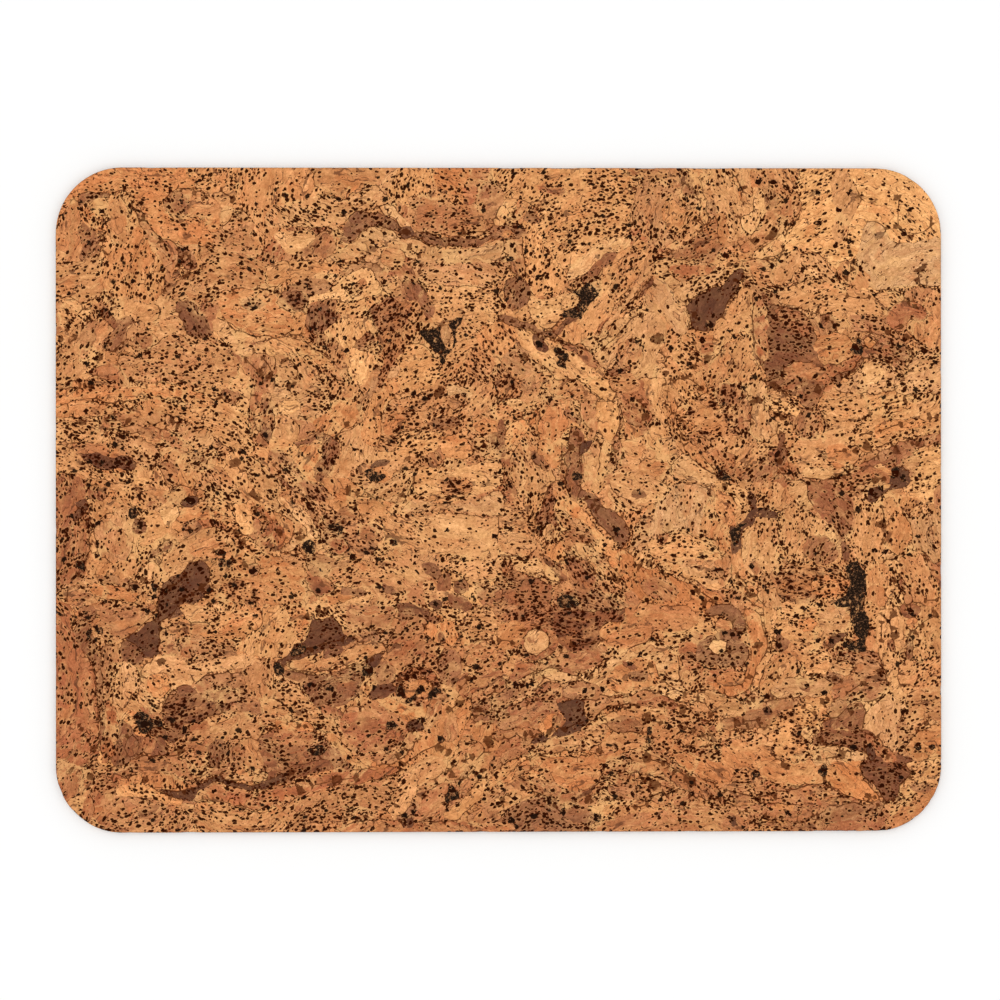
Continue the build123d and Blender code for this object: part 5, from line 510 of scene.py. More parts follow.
    ("B", 4, 1, 80, [(-129.8, -109.2), (-125.3, -108.3), (-123.1, -112.9), (-125.3, -119.2), (-129.8, -120.1), (-131.6, -114.7)]),
    ("R", 6, 1, 30, [(-144.3, -102.9), (-137.1, -100.2), (-131.6, -100.2), (-130.7, -105.6), (-136.2, -108.3), (-142.5, -108.3)]),
    ("T", 4, 1, 20, [(-130.7, -104.7), (-128.0, -101.1), (-123.5, -100.2), (-120.8, -96.6), (-114.5, -94.8), (-108.2, -98.4), (-106.3, -103.8), (-110.0, -108.3), (-116.3, -109.2), (-123.5, -108.3), (-129.8, -108.3)]),
    ("T", 2, 1, -60, [(-118.1, -109.2), (-112.7, -107.4), (-108.2, -109.2), (-109.1, -113.8), (-106.3, -118.3), (-109.1, -122.8), (-113.6, -122.8), (-117.2, -120.1), (-113.6, -116.5), (-114.5, -111.9)]),
    ("G", 5, 1, 50, [(-123.5, -110.1), (-119.0, -109.2), (-114.5, -112.9), (-113.6, -116.5), (-117.2, -120.1), (-121.7, -121.0), (-125.3, -118.3), (-124.4, -113.8)]),
    ("t", 4, 2, 4, [(-175.0, -121.0), (-167.8, -118.3), (-159.6, -115.6), (-151.5, -115.6), (-143.4, -115.6), (-137.1, -121.9), (-139.8, -126.4), (-146.1, -124.6), (-154.2, -121.9), (-163.3, -122.8), (-170.5, -124.6)]),
    ("O", 4, 2, 88, [(-172.3, -126.4), (-166.0, -124.6), (-157.8, -122.8), (-149.7, -123.7), (-142.5, -126.4), (-138.9, -129.1), (-144.3, -130.9), (-153.3, -130.0), (-161.5, -128.2), (-168.7, -129.1)]),
    ("t", 1, 1, 4, [(-138.9, -126.4), (-133.4, -123.7), (-128.0, -120.1), (-122.6, -121.9), (-115.4, -124.6), (-107.3, -122.8), (-98.2, -119.2), (-98.2, -122.8), (-106.3, -126.0), (-115.4, -126.9), (-123.5, -125.5), (-128.9, -123.7), (-134.4, -126.4)]),
    ("D", 1, 1, -12, [(-154.2, -130.5), (-146.1, -130.9), (-138.9, -129.6), (-133.4, -126.9), (-127.6, -124.6), (-122.6, -126.0), (-116.7, -128.2), (-109.5, -128.2), (-103.2, -126.0), (-97.3, -123.7), (-97.3, -126.9), (-105.4, -130.0), (-112.7, -130.9), (-119.0, -129.6), (-123.5, -128.2), (-128.0, -126.9), (-132.5, -129.6), (-136.6, -132.7), (-138.4, -135.5), (-144.3, -135.0), (-149.7, -133.2)]),
    ("R", 2, 1, -8, [(-138.0, -135.0), (-133.4, -131.4), (-128.9, -128.7), (-123.5, -129.1), (-117.2, -130.9), (-110.0, -131.8), (-97.3, -128.2), (-97.3, -135.5), (-105.4, -137.3), (-109.1, -140.4), (-115.4, -139.1), (-122.6, -136.4), (-130.7, -135.5)]),
    ("l", 3, 1, -28, [(-172.3, -130.0), (-164.2, -128.2), (-156.9, -130.0), (-149.7, -133.7), (-143.4, -135.9), (-146.1, -138.2), (-154.2, -135.5), (-162.4, -133.2), (-169.6, -133.7)]),
    ("t", 6, 2, 20, [(-172.3, -135.5), (-164.2, -133.7), (-155.1, -136.4), (-146.1, -138.2), (-138.9, -140.0), (-136.2, -145.4), (-142.5, -149.9), (-153.3, -149.9), (-164.2, -149.9), (-173.2, -149.9)]),
    ("B", 3, 2, 25, [(-162.4, -140.9), (-157.8, -138.2), (-153.3, -137.3), (-154.2, -140.0), (-158.7, -142.7), (-162.4, -143.1)]),
    ("t", 5, 2, -10, [(-145.2, -138.2), (-139.8, -138.2), (-136.2, -141.8), (-138.0, -144.5), (-142.5, -142.7)]),
    ("T", 5, 3, 3, [(-137.1, -137.3), (-128.9, -136.4), (-121.7, -137.3), (-114.5, -140.0), (-107.3, -140.9), (-98.2, -138.2), (-98.2, -149.9), (-117.2, -149.9), (-133.4, -149.9)]),
    ("R", 2, 1, 70, [(-198.5, -117.4), (-193.1, -120.1), (-187.6, -121.9), (-189.5, -128.2), (-191.3, -133.7), (-194.9, -131.8), (-198.5, -124.6)]),
    ("R", 3, 1, 60, [(-186.7, -122.8), (-181.3, -123.7), (-182.2, -130.9), (-186.7, -133.7), (-189.5, -130.9)]),
    ("R", 2, 2, 88, [(-187.6, -135.5), (-184.0, -133.7), (-183.1, -140.9), (-184.9, -144.5), (-188.5, -141.8)]),
    ("R", 7, 2, 40, [(-184.0, -124.6), (-178.6, -122.8), (-173.2, -128.2), (-175.0, -137.3), (-178.6, -146.3), (-184.0, -140.9), (-183.1, -132.7)]),
    ("O", 3, 1, 0, [(-97.3, -47.7), (-88.3, -47.7), (-84.7, -52.3), (-86.5, -58.6), (-90.1, -63.1), (-92.8, -57.7), (-95.5, -52.3)]),
    ("D", 3, 1, 25, [(-86.0, -50.0), (-82.9, -53.6), (-78.3, -53.2), (-75.2, -52.3), (-72.9, -56.3), (-70.7, -59.5), (-68.0, -61.3), (-64.3, -63.1), (-69.8, -65.4), (-74.7, -66.7), (-80.2, -68.5), (-85.6, -70.8), (-91.0, -72.2), (-94.2, -72.6), (-97.3, -75.3), (-99.1, -79.8), (-101.4, -76.2), (-100.5, -72.6), (-96.4, -70.8), (-94.2, -67.6), (-91.4, -64.9), (-87.4, -63.1), (-86.0, -57.2)]),
    ("K", 2, 1, 30, [(-94.2, -67.6), (-90.5, -65.4), (-87.4, -65.4), (-87.4, -68.5), (-91.0, -70.3), (-94.6, -70.8)]),
    ("K", 0, 1, 60, [(-101.4, -74.0), (-98.7, -73.5), (-97.3, -75.8), (-99.1, -79.8), (-100.9, -77.6)]),
    ("B", 2, 1, 20, [(-79.3, -68.5), (-74.7, -66.7), (-70.2, -67.6), (-73.8, -70.3), (-78.3, -71.2)]),
    ("l", 1, 1, 14, [(-96.4, -74.4), (-89.2, -73.1), (-82.0, -72.6), (-75.6, -71.7), (-71.1, -69.0), (-67.5, -66.7), (-63.0, -64.5), (-57.6, -63.1), (-53.1, -64.5), (-50.8, -67.6), (-54.9, -70.3), (-60.3, -72.2), (-66.6, -74.0), (-73.8, -76.2), (-81.1, -77.6), (-88.3, -77.1), (-93.7, -76.2)]),
    ("B", 2, 1, 12, [(-99.1, -77.6), (-93.7, -77.1), (-87.4, -78.5), (-80.2, -78.9), (-72.0, -77.1), (-63.9, -74.4), (-57.6, -72.2), (-61.2, -75.8), (-68.4, -78.9), (-76.5, -81.2), (-84.7, -82.6), (-91.9, -82.1)]),
    ("t", 4, 1, 0, [(-73.8, -47.7), (-64.8, -46.8), (-55.8, -47.7), (-46.7, -48.6), (-48.5, -54.1), (-54.0, -60.4), (-60.3, -63.1), (-66.6, -59.5), (-71.1, -54.1)]),
    ("G", 3, 1, -30, [(-63.0, -58.6), (-58.5, -58.1), (-54.0, -60.4), (-51.2, -63.1), (-54.0, -64.9), (-58.5, -62.2), (-62.5, -61.3)]),
    ("B", 8, 2, 20, [(-88.3, -83.0), (-80.2, -82.1), (-70.2, -79.4), (-63.0, -77.6), (-62.1, -83.9), (-64.8, -89.3), (-72.0, -93.0), (-80.2, -93.9), (-85.6, -89.3)]),
    ("B", 6, 2, 20, [(-82.0, -85.7), (-72.0, -82.1), (-63.9, -81.2), (-63.9, -87.5), (-72.0, -91.1), (-79.3, -92.0)]),
    ("T", 6, 2, 0, [(-107.3, -82.1), (-99.1, -82.1), (-91.0, -83.0), (-86.5, -89.3), (-81.1, -94.8), (-73.8, -100.2), (-73.8, -106.5), (-81.1, -103.8), (-90.1, -101.1), (-98.2, -101.1), (-104.5, -99.3), (-107.3, -92.0)]),
    ("R", 1, 1, -50, [(-80.2, -93.0), (-74.7, -93.9), (-71.1, -97.5), (-74.7, -99.3), (-79.3, -96.6)]),
    ("O", 1, 2, -10, [(-100.9, -99.3), (-92.8, -100.2), (-85.6, -101.1), (-84.7, -104.7), (-91.9, -103.8), (-99.1, -102.9)]),
    ("K", 0, 1, 50, [(-62.5, -76.7), (-60.3, -74.4), (-57.6, -74.9), (-57.1, -77.6), (-58.9, -79.8), (-62.1, -79.4)]),
    ("D", 4, 2, 50, [(-60.3, -74.0), (-56.7, -70.3), (-53.1, -69.4), (-54.0, -73.1), (-56.7, -76.7), (-59.4, -77.6)]),
    ("G", 1, 1, 40, [(-56.7, -74.0), (-52.2, -72.2), (-47.6, -75.8), (-46.7, -80.3), (-51.2, -83.9), (-55.8, -82.1)]),
    ("O", 0, 1, 80, [(-62.1, -82.1), (-59.4, -81.2), (-57.6, -84.8), (-59.4, -88.4), (-62.1, -85.7)]),
    ("D", 8, 2, 10, [(-59.4, -85.7), (-54.0, -83.9), (-48.5, -83.0), (-46.7, -86.6), (-52.2, -89.8), (-57.6, -88.9)]),
    ("R", 3, 2, 30, [(-47.6, -57.7), (-43.1, -51.4), (-37.7, -52.3), (-31.4, -53.2), (-32.3, -59.5), (-34.1, -64.0), (-27.8, -65.8), (-20.5, -67.6), (-16.9, -73.1), (-19.6, -77.6), (-26.9, -78.5), (-32.3, -75.8), (-39.5, -74.0), (-45.8, -76.7), (-50.3, -72.2), (-50.3, -66.7), (-49.4, -62.2)]),
    ("B", 2, 1, 50, [(-45.8, -51.4), (-41.3, -48.6), (-35.9, -48.6), (-30.5, -51.4), (-26.0, -54.1), (-28.7, -55.9), (-34.1, -53.2), (-40.4, -53.2), (-44.9, -55.0)]),
    ("O", 1, 2, 80, [(-31.4, -54.1), (-26.0, -52.3), (-21.4, -55.0), (-19.2, -60.4), (-21.0, -65.4), (-26.0, -64.9), (-30.5, -63.1), (-33.2, -59.5)]),
    ("L", 6, 1, -5, [(-34.1, -47.7), (-25.1, -47.7), (-16.9, -49.5), (-16.0, -54.1), (-22.3, -53.2), (-28.7, -51.4)]),
    ("B", 1, 1, 70, [(-27.3, -59.5), (-25.1, -61.3), (-24.2, -64.0), (-26.9, -64.9), (-27.8, -62.2)]),
    ("T", 6, 2, 0, [(-16.9, -47.7), (-7.0, -46.8), (2.0, -47.7), (2.0, -59.5), (-5.2, -63.1), (-13.3, -63.1), (-17.8, -57.7)]),
    ("t", 5, 1, 20, [(-16.9, -65.8), (-8.8, -64.0), (2.0, -63.1), (2.0, -74.0), (-7.0, -78.5), (-14.2, -74.9), (-18.7, -70.3)]),
    ("G", 7, 1, 40, [(-26.9, -69.4), (-21.4, -67.6), (-16.9, -72.2), (-17.8, -79.4), (-21.4, -84.8), (-26.0, -82.1), (-27.8, -75.8)]),
    ("R", 4, 1, 30, [(-16.9, -78.5), (-8.8, -79.4), (0.2, -77.6), (2.0, -85.7), (-6.1, -88.4), (-13.3, -90.2), (-19.6, -86.6)]),
    ("R", 9, 2, 10, [(-48.5, -82.1), (-44.9, -78.0), (-39.5, -75.8), (-33.2, -75.8), (-28.2, -79.4), (-26.0, -84.8), (-27.8, -90.2), (-32.3, -93.0), (-39.5, -93.4), (-44.9, -90.7), (-47.6, -86.6)]),
    ("O", 0, 1, 10, [(-43.1, -85.7), (-40.9, -82.6), (-35.9, -81.2), (-31.4, -82.6), (-30.0, -85.7), (-33.2, -88.4), (-37.7, -89.8), (-42.2, -88.9)]),
    ("K", 0, 1, 85, [(-45.8, -83.9), (-43.1, -84.4), (-43.1, -88.0), (-45.4, -88.9), (-46.7, -86.2)]),
    ("K", 1, 1, 50, [(-37.7, -85.7), (-35.0, -83.9), (-34.1, -86.6), (-36.8, -88.4), (-38.6, -90.2), (-40.4, -92.0), (-41.3, -89.8), (-39.1, -88.4)]),
    ("K", 0, 1, 20, [(-30.9, -85.3), (-28.2, -84.8), (-26.4, -87.1), (-29.6, -88.4), (-31.4, -91.1), (-32.7, -89.8), (-31.4, -87.5)]),
    ("O", 0, 1, -12, [(-55.8, -90.7), (-49.4, -88.9), (-44.0, -91.6), (-37.7, -93.9), (-32.3, -93.0), (-31.4, -96.1), (-35.4, -98.4), (-40.9, -100.2), (-45.8, -97.0), (-51.2, -94.3)]),
    ("t", 2, 1, -20, [(-61.2, -92.0), (-55.8, -90.2), (-50.3, -93.9), (-44.9, -97.5), (-40.4, -101.1), (-44.9, -102.9), (-52.2, -99.3), (-58.5, -96.6)]),
    ("G", 4, 1, 60, [(-32.3, -92.0), (-27.8, -90.2), (-26.0, -95.7), (-28.7, -100.2), (-33.2, -100.2)]),
    ("O", 1, 1, 80, [(-26.9, -93.9), (-21.4, -90.2), (-16.0, -88.4), (-12.4, -92.0), (-14.2, -99.3), (-16.9, -105.6), (-19.6, -111.9), (-22.3, -116.5), (-28.7, -116.5), (-35.9, -119.2), (-41.3, -121.9), (-46.7, -120.1), (-43.1, -115.6), (-37.7, -109.2), (-32.3, -104.7), (-28.7, -100.2)]),
    ("R", 1, 1, 85, [(-24.2, -97.5), (-20.5, -96.6), (-18.7, -102.0), (-20.5, -108.3), (-23.7, -109.2), (-25.5, -103.8)]),
    ("K", 0, 1, 10, [(-28.2, -107.0), (-25.5, -106.5), (-24.6, -108.8), (-26.9, -109.7)]),
    ("R", 4, 2, 10, [(-71.1, -96.6), (-63.9, -93.0), (-54.9, -95.7), (-47.6, -99.3), (-43.1, -103.8), (-39.5, -105.6), (-43.1, -111.0), (-50.3, -114.7), (-59.4, -114.7), (-65.7, -111.0), (-71.1, -105.6)]),
    ("R", 0, 1, 10, [(-66.6, -99.3), (-60.3, -97.5), (-54.9, -100.2), (-54.9, -104.7), (-61.2, -105.6), (-66.6, -103.8)]),
    ("K", 1, 1, 10, [(-50.8, -100.2), (-47.6, -99.3), (-45.8, -102.0), (-47.6, -103.8), (-50.3, -103.4)]),
    ("D", 6, 2, 20, [(-41.3, -100.2), (-35.9, -99.3), (-34.1, -102.9), (-38.6, -104.7), (-42.2, -103.4)]),
    ("B", 2, 1, 35, [(-53.1, -111.9), (-48.5, -110.1), (-44.9, -105.6), (-43.1, -103.8), (-43.1, -107.4), (-46.7, -111.0), (-50.3, -113.8)]),
    ("t", 2, 1, 40, [(-42.2, -105.6), (-36.8, -104.7), (-35.9, -107.4), (-39.5, -111.0), (-43.1, -115.6), (-46.7, -118.3), (-52.2, -119.6), (-56.7, -118.3), (-50.3, -115.6), (-44.9, -111.9)]),
    ("O", 1, 1, -35, [(-78.3, -105.2), (-73.8, -106.5), (-69.3, -111.0), (-65.7, -115.6), (-61.2, -117.8), (-53.1, -118.3), (-46.7, -119.2), (-52.2, -121.0), (-60.3, -121.4), (-66.6, -119.2), (-71.1, -114.7), (-75.6, -110.1)]),
    ("B", 4, 1, 12, [(-110.0, -110.1), (-106.8, -106.1), (-101.4, -103.4), (-94.6, -102.5), (-87.8, -102.9), (-82.0, -105.2), (-77.9, -108.3), (-75.2, -111.5), (-71.6, -113.8), (-68.0, -117.8), (-65.3, -121.4), (-68.0, -122.8), (-72.9, -119.6), (-77.4, -121.9), (-84.7, -124.2), (-93.7, -126.0), (-101.8, -128.2), (-106.3, -124.6), (-106.3, -118.3), (-108.2, -113.8)]),
    ("R", 2, 1, 12, [(-100.9, -104.7), (-93.7, -103.8), (-86.5, -105.6), (-82.0, -109.2), (-87.4, -111.0), (-95.5, -110.1), (-102.7, -109.2)]),
    ("K", 2, 1, 12, [(-86.9, -112.9), (-83.8, -112.4), (-80.2, -110.1), (-78.3, -112.9), (-80.2, -115.1), (-84.7, -115.1)]),
    ("B", 3, 1, 14, [(-104.5, -122.8), (-95.5, -121.0), (-86.5, -118.3), (-77.4, -117.4), (-75.6, -121.0), (-84.7, -123.7), (-94.6, -126.0), (-103.6, -128.2)]),
    ("R", 1, 1, 13, [(-107.3, -135.5), (-100.0, -130.9), (-91.0, -127.3), (-82.0, -125.1), (-72.9, -122.8), (-63.9, -121.9), (-54.9, -121.4), (-46.7, -120.1), (-44.9, -121.9), (-50.3, -124.6), (-56.7, -126.9), (-66.6, -128.2), (-75.6, -129.1), (-84.7, -132.3), (-92.8, -135.0), (-100.9, -138.2)]),
    ("t", 5, 2, 14, [(-99.1, -139.1), (-91.9, -135.0), (-83.8, -132.3), (-74.7, -129.6), (-65.7, -128.7), (-55.8, -127.3), (-48.5, -124.6), (-43.1, -121.9), (-44.0, -128.2), (-48.5, -133.7), (-54.9, -138.2), (-64.8, -139.1), (-76.5, -138.2), (-87.4, -140.0), (-94.6, -142.7)]),
    ("T", 7, 3, 12, [(-98.2, -141.8), (-90.1, -140.9), (-78.3, -139.1), (-65.7, -140.0), (-54.9, -139.1), (-48.5, -141.8), (-50.3, -147.2), (-58.5, -149.9), (-98.2, -149.9)]),
    ("T", 4, 2, 30, [(-44.9, -122.8), (-37.7, -119.2), (-30.5, -115.6), (-24.2, -117.4), (-25.1, -122.8), (-31.4, -126.4), (-37.7, -130.0), (-43.1, -131.8), (-45.8, -128.2)]),
    ("t", 1, 1, 45, [(-24.2, -124.6), (-19.6, -119.2), (-16.9, -114.7), (-13.3, -111.0), (-8.8, -109.2), (-7.0, -112.9), (-10.6, -117.4), (-15.1, -121.0), (-17.8, -125.5), (-21.4, -127.3)]),
    ("O", 0, 1, 60, [(-13.3, -104.7), (-8.8, -102.0), (-3.4, -101.1), (0.2, -103.8), (0.2, -111.9), (-6.1, -113.8), (-9.7, -110.1)]),
    ("G", 5, 1, 20, [(-12.4, -93.0), (-6.1, -90.2), (0.2, -91.1), (2.0, -97.5), (-4.3, -100.2), (-10.6, -99.3)]),
    ("l", 1, 1, 50, [(-44.9, -133.7), (-39.5, -130.9), (-35.9, -130.0), (-39.5, -135.5), (-43.1, -140.9), (-47.6, -143.6), (-50.3, -140.0), (-47.6, -136.4)]),
    ("R", 2, 1, 40, [(-35.9, -138.2), (-33.2, -132.7), (-27.8, -129.1), (-21.4, -127.3), (-16.9, -131.8), (-19.6, -135.5), (-24.2, -139.1), (-29.6, -142.7), (-34.1, -144.5), (-39.5, -145.4), (-38.6, -141.8)]),
    ("K", 2, 1, 60, [(-22.3, -129.1), (-19.6, -130.0), (-18.3, -133.7), (-21.4, -135.5), (-24.2, -137.3), (-24.2, -133.7)]),
    ("l", 1, 1, 40, [(-25.1, -142.7), (-19.6, -138.2), (-15.1, -133.7), (-10.6, -128.2), (-6.1, -124.6), (-6.1, -130.0), (-10.6, -136.4), (-15.1, -140.9), (-20.5, -144.5)]),
    ("t", 2, 1, 42, [(-17.8, -127.3), (-12.4, -122.8), (-7.0, -119.2), (-3.4, -115.6), (2.0, -114.7), (2.0, -121.9), (-3.4, -124.6), (-8.8, -128.2), (-14.2, -133.7), (-16.0, -130.9)]),
    ("t", 3, 1, 30, [(-15.1, -143.6), (-8.8, -139.1), (-2.5, -133.7), (2.0, -131.8), (2.0, -142.7), (-5.2, -145.4), (-12.4, -146.3)]),
    ("R", 2, 1, 6, [(-67.5, -146.3), (-56.7, -144.5), (-44.9, -144.5), (-34.1, -145.4), (-22.3, -145.4), (-10.6, -146.3), (2.0, -145.4), (2.0, -149.9), (-67.5, -149.9)]),
    ("D", 2, 1, 20, [(-43.6, -144.5), (-39.5, -144.1), (-39.5, -147.2), (-43.1, -148.1)]),
    ("K", 0, 1, 0, [(-25.1, -148.1), (-21.4, -148.1), (-21.4, -149.9), (-25.1, -149.9)]),
    ("t", 9, 2, 20, [(-1.6, -47.7), (9.3, -47.7), (21.9, -47.7), (23.7, -53.2), (20.1, -56.8), (11.1, -55.9), (3.9, -55.0), (-1.6, -53.2)]),
    ("O", 1, 1, 30, [(-0.7, -55.9), (6.6, -55.0), (12.0, -57.7), (10.2, -63.1), (6.6, -66.7), (0.2, -67.6), (-2.5, -63.1)]),
    ("R", 3, 2, 0, [(7.5, -60.4), (12.0, -55.9), (18.3, -55.0), (23.7, -57.7), (26.4, -63.1), (24.6, -68.5), (19.2, -72.2), (12.0, -72.2), (7.5, -68.5)]),
    ("L", 0, 1, 20, [(12.0, -60.4), (14.7, -58.6), (18.8, -58.6), (21.5, -60.8), (22.4, -64.0), (21.0, -67.2), (18.3, -69.0), (15.1, -69.9), (12.4, -68.1), (11.1, -64.9)]),
    ("G", 0, 1, -20, [(12.4, -61.8), (14.7, -61.3), (16.0, -63.6), (14.2, -64.9), (12.4, -64.0)]),
    ("B", 9, 2, 10, [(23.7, -47.7), (40.0, -45.9), (53.5, -47.7), (57.1, -50.4), (55.3, -55.0), (49.9, -58.6), (45.4, -64.0), (41.8, -68.1), (34.6, -68.5), (28.2, -65.4), (24.2, -60.4), (21.9, -55.0)]),
    ("O", 1, 2, 0, [(56.2, -48.6), (67.1, -45.9), (81.5, -46.8), (91.5, -45.9), (96.0, -49.5), (91.5, -55.0), (85.1, -58.6), (77.9, -60.4), (71.6, -58.6), (68.0, -63.1), (62.6, -66.3), (55.3, -67.6), (49.0, -65.8), (47.2, -62.2), (50.8, -57.7), (56.2, -53.6)]),
    ("O", 4, 2, 20, [(45.4, -58.6), (50.8, -55.0), (55.3, -55.9), (51.7, -60.4), (47.2, -63.1)]),
    ("R", 1, 1, 12, [(-1.6, -85.7), (3.9, -81.2), (6.6, -75.8), (7.5, -72.2), (13.8, -74.0), (21.0, -73.1), (27.3, -69.4), (34.6, -68.5), (41.8, -67.6), (47.2, -64.9), (48.1, -69.4), (45.4, -74.0), (40.0, -76.7), (32.8, -79.8), (25.5, -78.0), (19.2, -76.7), (12.0, -79.4), (4.8, -83.0)]),
    ("l", 4, 1, 22, [(-3.4, -88.4), (2.0, -83.9), (8.4, -80.3), (15.6, -78.5), (21.9, -76.7), (28.2, -78.5), (34.6, -81.2), (30.0, -86.6), (22.8, -89.3), (15.6, -90.2), (7.5, -93.0), (0.2, -95.7), (-4.3, -95.7)]),
    ("L", 1, 1, 10, [(18.3, -78.5), (23.7, -76.2), (30.0, -78.5), (36.4, -81.2), (30.9, -82.1), (24.6, -81.2)]),
    ("G", 6, 3, 25, [(2.0, -85.7), (7.5, -82.1), (12.9, -83.0), (11.1, -88.4), (4.8, -92.0), (-0.7, -94.8), (-4.3, -92.0)]),
    ("G", 6, 3, 5, [(28.2, -84.8), (34.6, -82.1), (41.8, -83.0), (46.3, -86.6), (42.7, -90.2), (34.6, -89.8), (29.1, -88.4)]),
    ("R", 7, 1, 30, [(16.5, -85.7), (22.8, -82.1), (27.3, -83.0), (24.6, -88.4), (19.2, -91.1)]),
    ("L", 2, 1, 12, [(36.4, -80.3), (41.8, -77.1), (47.2, -74.4), (50.8, -70.8), (55.3, -68.1), (62.6, -65.8), (68.9, -63.6), (74.3, -64.9), (77.9, -67.6), (81.1, -72.2), (81.1, -78.9), (82.9, -84.4), (87.0, -87.5), (93.3, -86.6), (100.5, -86.6), (100.5, -93.0), (92.4, -92.0), (84.2, -91.6), (77.0, -90.2), (71.6, -87.5), (66.2, -85.7), (60.8, -87.1), (53.5, -88.9), (47.2, -88.4), (42.7, -84.8)]),
    ("O", 1, 2, -20, [(49.0, -79.4), (55.3, -74.0), (63.5, -71.2), (69.8, -73.1), (71.6, -78.5), (70.7, -83.9), (65.3, -84.8), (59.0, -86.6), (52.6, -86.6), (48.1, -83.9)]),
    ("B", 1, 1, -15, [(55.3, -72.6), (59.0, -73.5), (62.6, -75.3), (60.8, -76.7), (57.1, -75.8)]),
    ("G", 5, 2, 5, [(58.0, -78.5), (63.5, -76.7), (68.0, -78.5), (65.3, -82.1), (59.9, -82.1)]),
    ("R", 2, 1, 3, [(38.2, -91.1), (44.5, -88.9), (51.7, -89.8), (59.0, -88.9), (65.3, -86.6), (71.6, -87.5), (76.1, -90.2), (81.5, -93.0), (75.2, -94.3), (67.1, -93.0), (59.9, -92.0), (52.6, -93.0), (47.2, -94.8), (44.5, -97.5), (40.9, -100.2), (37.3, -98.4), (36.4, -94.3)]),
    ("D", 3, 1, 20, [(25.5, -92.0), (30.0, -91.1), (34.6, -89.8), (38.2, -91.6), (37.7, -95.7), (40.9, -99.3), (38.2, -102.9), (33.7, -105.2), (28.2, -106.5), (21.9, -108.3), (16.5, -110.1), (13.8, -109.2), (20.1, -105.6), (25.5, -103.4), (29.1, -100.2), (30.0, -97.0), (26.9, -94.8)]),
    ("O", 0, 1, 40, [(17.4, -102.9), (20.6, -98.8), (24.6, -96.1), (28.7, -97.0), (30.0, -100.2), (27.3, -103.4), (24.2, -106.5), (20.6, -107.4)]),
    ("G", 2, 1, 40, [(23.7, -97.5), (28.2, -96.6), (30.0, -100.2), (27.3, -103.4), (23.7, -102.9)]),
    ("R", 1, 1, 22, [(-3.4, -97.5), (4.8, -93.9), (12.9, -90.2), (21.0, -87.5), (25.5, -91.1), (26.4, -94.8), (21.0, -97.5), (14.7, -102.0), (6.6, -103.8), (-1.6, -104.7)]),
    ("t", 0, 1, 10, [(-3.4, -104.7), (5.7, -103.8), (13.8, -102.9), (18.3, -104.7), (21.0, -108.3), (12.9, -110.1), (4.8, -107.4), (-1.6, -109.2)]),
    ("G", 2, 1, 28, [(-1.6, -113.8), (0.2, -110.6), (3.9, -108.3), (7.5, -106.5), (11.1, -107.4), (7.5, -110.1), (3.4, -111.9), (0.2, -115.6), (-2.9, -116.5)]),
    ("R", 4, 1, 22, [(-3.4, -117.4), (2.0, -113.8), (9.3, -111.0), (18.3, -110.1), (13.8, -113.8), (6.6, -116.5), (0.2, -121.0), (-4.3, -122.8)]),
    ("T", 6, 1, 10, [(8.4, -113.8), (15.6, -111.0), (23.7, -108.3), (30.0, -106.5), (37.3, -104.7), (42.7, -101.1), (47.2, -97.5), (49.0, -103.8), (46.3, -109.2), (40.0, -112.9), (30.9, -113.8), (21.0, -114.7), (12.9, -116.0)]),
    ("T", 1, 1, 15, [(40.9, -112.9), (47.2, -109.2), (50.8, -104.7), (48.1, -98.4), (53.5, -94.8), (61.7, -93.0), (69.8, -93.9), (75.2, -95.7), (79.7, -100.2), (86.0, -103.8), (92.4, -105.6), (97.8, -109.2), (90.6, -111.9), (83.3, -110.1), (76.1, -107.4), (67.1, -107.4), (59.0, -109.2), (51.7, -112.9), (45.4, -115.6)]),
    ("B", 2, 1, -5, [(48.1, -101.1), (51.7, -98.4), (57.1, -97.5), (62.6, -99.3), (64.4, -103.8), (59.0, -104.7), (51.7, -104.7)]),
    ("t", 4, 1, -25, [(74.3, -95.7), (81.5, -98.4), (88.8, -102.0), (97.8, -104.7), (105.9, -105.6), (105.9, -110.1), (97.8, -110.1), (88.8, -107.4), (81.5, -104.7), (76.1, -102.0)]),
    ("K", 1, 1, 85, [(66.2, -102.9), (68.0, -102.9), (68.4, -106.5), (66.6, -107.0)]),
    ("K", 1, 1, 85, [(66.2, -107.4), (68.0, -107.4), (68.0, -110.1), (66.6, -110.1)]),
    ("O", 0, 1, 8, [(0.2, -127.3), (6.6, -121.9), (13.8, -116.5), (21.9, -115.6), (30.0, -116.5), (38.2, -115.6), (45.4, -115.6), (51.7, -113.8), (59.0, -110.1), (63.5, -111.0), (56.2, -113.8), (49.9, -117.4), (46.3, -121.9), (44.5, -127.3), (39.1, -130.9), (31.9, -130.9), (25.5, -128.2), (19.2, -124.6), (11.1, -122.8), (4.8, -126.4)]),
    ("O", 2, 1, 30, [(-4.3, -125.5), (2.9, -118.3), (9.3, -116.5), (5.7, -121.9), (0.2, -126.4), (-4.3, -130.9)]),
    ("t", 3, 1, 10, [(7.9, -121.0), (12.9, -119.6), (18.3, -120.5), (22.8, -122.8), (24.6, -126.4), (21.9, -128.2), (20.1, -124.6), (14.7, -122.3), (10.2, -123.3), (9.3, -126.4), (7.0, -126.4)]),
    ("t", 3, 1, -15, [(0.2, -130.9), (7.5, -127.3), (16.5, -126.4), (25.5, -129.1), (32.8, -131.8), (38.2, -132.7), (40.9, -135.5), (33.7, -138.2), (25.5, -135.5), (16.5, -131.8), (8.4, -130.9)]),
    ("R", 1, 1, 25, [(27.3, -133.7), (34.6, -131.8), (41.8, -130.0), (45.4, -128.2), (46.3, -132.7), (42.7, -137.3), (35.5, -138.2)]),
